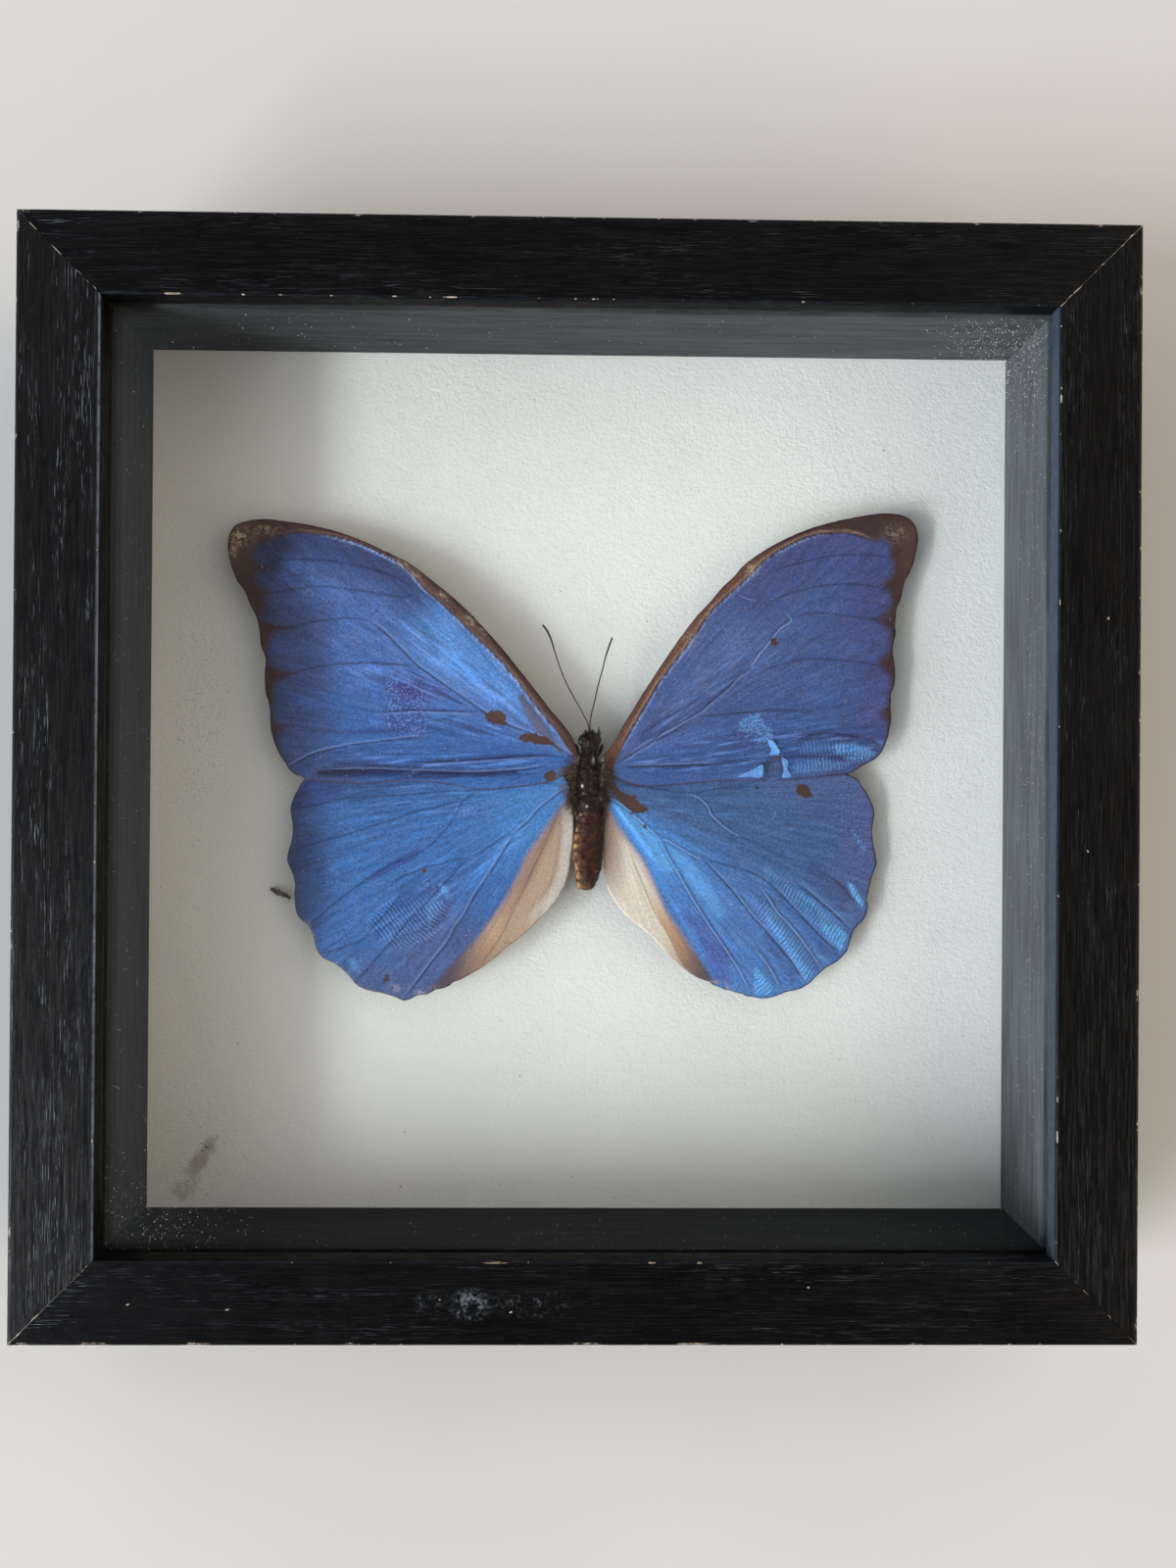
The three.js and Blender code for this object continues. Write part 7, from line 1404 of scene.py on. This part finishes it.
# ---- dark specks on the board
SPECKS = [(-73.4,-73.2,.31),(-21.3,32.6,.26),(-74.2,-73.9,.26),(-79.4,7.7,.24),(60.6,66.7,.17),(-34.2,-70.1,.20),(-20.6,31.9,.17),(-3.9,37.8,.14),(-11.4,-58.8,.17),(-67.3,-52.6,.17),(-24.2,35.4,.17),(-23.6,34.7,.17),(-34.9,-80.9,.17),(52.5,-55.3,.14),(4.5,-69.8,.14),(-22.8,-74.7,.14),(11.2,-68.4,.14),(13.4,32.0,.14),(-75.5,-12.2,.14),(23.6,58.3,.14),(-15,-80.5,.14),(-13.3,76.2,.14),(-3.7,-46.2,.14),(-9.4,76.1,.14),(-0.8,-78.9,.14),(12.1,-44.4,.12),(-58.2,-1.8,.12),(-65,-55.1,.12),(7.5,-82.9,.12),(-75.6,-16.7,.12),(-45.1,-82.4,.12),(16.8,81.1,.12),(33.6,44.3,.12),(2.4,-50.8,.12),(-80.1,11,.12),(-13.6,-64.5,.12),(-52.6,-70.1,.12),(81.1,4.7,.12),(-80.5,12.7,.12)]
pos = np.array([(x, y, BOARD_Z - 0.03) for x, y, r in SPECKS]); size = np.array([r for *_, r in SPECKS]) * 1.05
r = np.random.default_rng(77)
q = np.c_[r.normal(-75, 5, 420), r.normal(14, 19, 420)]; q = q[(q[:, 0] > -84.3) & (q[:, 0] < -58) & (np.abs(q[:, 1]) < 80)]
w = np.c_[r.normal(-74, 3.5, 60), r.normal(-75, 6, 60)]; w = w[(w[:, 0] > -84.3) & (w[:, 1] > -84.3)]
o = r.uniform(-84, 84, (170, 2))
pos = np.vstack([pos, np.c_[q, np.full(len(q), BOARD_Z - 0.03)], np.c_[w, np.full(len(w), BOARD_Z - 0.03)], np.c_[o, np.full(len(o), BOARD_Z - 0.03)]])
size = np.concatenate([size, r.uniform(.035, .11, len(q)), r.uniform(.04, .15, len(w)), r.uniform(.03, .085, len(o))])
v, f, rn = flecks(pos, size, 78); B = Build(); B.add(v, [f], 0, rnd=rn)
M = Mat("speck_dark"); M.set(Base_Color=M.mix(M.attr("rnd"), tuple(lin(44, 38, 36)), tuple(lin(104, 92, 80))), Roughness=0.8)
B.object("board_specks", [M.m], smooth=False, slot="debris")

# ---- dust on the glass
r = np.random.default_rng(90); P_, S_ = [], []
def scatter(n, cx, cy, sx, sy, lo_, hi_):
    p = np.c_[r.normal(cx, sx, n), r.normal(cy, sy, n)]; p = p[(np.abs(p[:, 0]) < 84.6) & (np.abs(p[:, 1]) < 84.6)]
    P_.append(p); S_.append(lo_ + (hi_ - lo_) * r.random(len(p)) ** 3)
scatter(2100, 78, 78, 6, 6, .03, .13); scatter(900, 82.5, 40, 1.8, 42, .02, .08); scatter(700, 81.5, -30, 2.5, 40, .02, .08); scatter(700, -74, -76, 9, 6, .03, .11); scatter(160, -50, 80, 25, 4, .04, .13); scatter(90, -62, 62, 14, 12, .05, .12); scatter(500, -81, 0, 2.5, 50, .02, .07)
scatter(240, 0, 82, 50, 2.6, .025, .08); scatter(220, 0, -82.5, 50, 2.2, .025, .08); scatter(300, -76, 10, 8, 50, .025, .08); scatter(420, 0, 0, 60, 60, .02, .065); scatter(200, 50, -72, 25, 9, .02, .07)
p = np.vstack(P_); v, f, rn = flecks(np.c_[p, np.full(len(p), GLASS_TOP + 0.012)], np.concatenate(S_), 92, 0.3)
B = Build(); B.add(v, [f], 0, rnd=rn)
n = 90; fx = np.where(r.random(n) < .35, r.normal(76, 7, n), np.where(r.random(n) < .5, r.normal(-72, 10, n), r.uniform(-82, 82, n))); fy = np.where(fx > 60, r.normal(72, 14, n), np.where(fx < -55, r.normal(-60, 20, n), r.uniform(-82, 82, n)))
fx = np.clip(fx, -82, 82); fy = np.clip(fy, -82, 82); an = r.uniform(0, 6.28, n)
v, f, t, rr_ = strands(np.c_[fx, fy, np.full(n, GLASS_TOP + 0.05)], np.c_[np.cos(an), np.sin(an), 0 * an + 0.0], r.uniform(.5, 2.2, n), r.uniform(.014, .026, n), (0, 0, 0), 93, 5, 0.7)
v[:, 2] = GLASS_TOP + 0.03 + np.abs(v[:, 2] - GLASS_TOP - 0.03) * 0.25
B.add(v, [f], 0, rnd=rr_)
M = Mat("dust_pale"); M.set(Base_Color=M.mix(M.attr("rnd"), tuple(lin(176, 178, 180)), tuple(lin(226, 226, 224))), Roughness=0.9)
B.object("glass_dust", [M.m], smooth=False, slot="debris")

# ------------------------------------------------------------------ floor, light, camera
bpy.ops.mesh.primitive_plane_add(size=6.0, location=(0, 0, -0.0002)); floor = bpy.context.active_object; floor.name = "floor"
M = Mat("floor_pale"); v = M.mm(); M.set(Base_Color=M.mix(M.map(M.noise(v, 0.006, 3, 0.5), 0.3, 0.7), (0.66, 0.655, 0.64), (0.70, 0.695, 0.68)), Roughness=0.85); floor.data.materials.append(M.m)

world = bpy.data.worlds.new("soft"); bpy.context.scene.world = world; world.use_nodes = True
nt = world.node_tree; bg = nt.nodes["Background"]
tc = nt.nodes.new("ShaderNodeTexCoord"); sx = nt.nodes.new("ShaderNodeSeparateXYZ"); nt.links.new(tc.outputs["Generated"], sx.inputs[0])
def ramp(src, a, b, c, d_):
    o = nt.nodes.new("ShaderNodeMapRange"); o.interpolation_type = "SMOOTHSTEP"; nt.links.new(src, o.inputs[0])
    for i, q in zip((1, 2, 3, 4), (a, b, c, d_)): o.inputs[i].default_value = q
    return o.outputs[0]
def wmix(fac, a, b):
    o = nt.nodes.new("ShaderNodeMix"); o.data_type = "RGBA"; nt.links.new(fac, o.inputs[0])
    for i, q in ((6, a), (7, b)):
        if isinstance(q, tuple): o.inputs[i].default_value = (*q, 1)
        else: nt.links.new(q, o.inputs[i])
    return o.outputs[2]
# dim overhead, a warm room to the right, a cooler one to the left
allr = wmix(ramp(sx.outputs[1], -0.48, -0.62, 0, 1), (0.040, 0.041, 0.044), (0.11, 0.102, 0.095))
allr = wmix(ramp(sx.outputs[1], 0.45, 0.58, 0, 1), allr, (0.85, 0.85, 0.85))
allr = wmix(ramp(sx.outputs[0], 0.46, 0.58, 0, 1), allr, (2.10, 1.80, 1.38))
allr = wmix(ramp(sx.outputs[0], -0.24, -0.46, 0, 1), allr, (0.38, 0.41, 0.47))
allr = wmix(ramp(sx.outputs[0], -0.48, -0.60, 0, 1), allr, (0.70, 0.72, 0.78))
nt.links.new(allr, bg.inputs[0]); bg.inputs[1].default_value = 1.0

def area(name, loc, target, sx_, sy_, power, colour):
    l = bpy.data.lights.new(name, "AREA"); l.shape = "RECTANGLE"; l.size = sx_; l.size_y = sy_; l.energy = power; l.color = colour
    o = bpy.data.objects.new(name, l); bpy.context.scene.collection.objects.link(o); o.location = loc
    z = (Vector(loc) - Vector(target)).normalized(); y = Vector((0, 1, 0)); x = y.cross(z).normalized(); y = z.cross(x)
    o.matrix_world = Matrix.Translation(loc) @ Matrix((x, y, z)).transposed().to_4x4(); return o
area("window", (-3.20, -2.16, 2.36), (0, -2.16, 0), 0.56, 3.36, 160.0, (0.95, 1.0, 1.05))
area("window_low", (-4.00, -2.00, 1.20), (0, -2.00, 0), 0.60, 2.80, 38.0, (0.95, 1.0, 1.05))

cam = bpy.data.cameras.new("camera"); cam.lens = 27.045; cam.sensor_width = 36.0; cam.sensor_fit = "AUTO"; cam.clip_start = 0.01; cam.clip_end = 20
co = bpy.data.objects.new("camera", cam); bpy.context.scene.collection.objects.link(co)
co.matrix_world = Matrix.Translation((-0.00175, -0.00136, 0.2442)) @ (Matrix.Rotation(math.radians(0.402), 4, "Z") @ Matrix.Rotation(math.radians(-0.870), 4, "Y") @ Matrix.Rotation(math.radians(0.187), 4, "X"))
bpy.context.scene.camera = co
bpy.context.scene.view_settings.view_transform = "Standard"
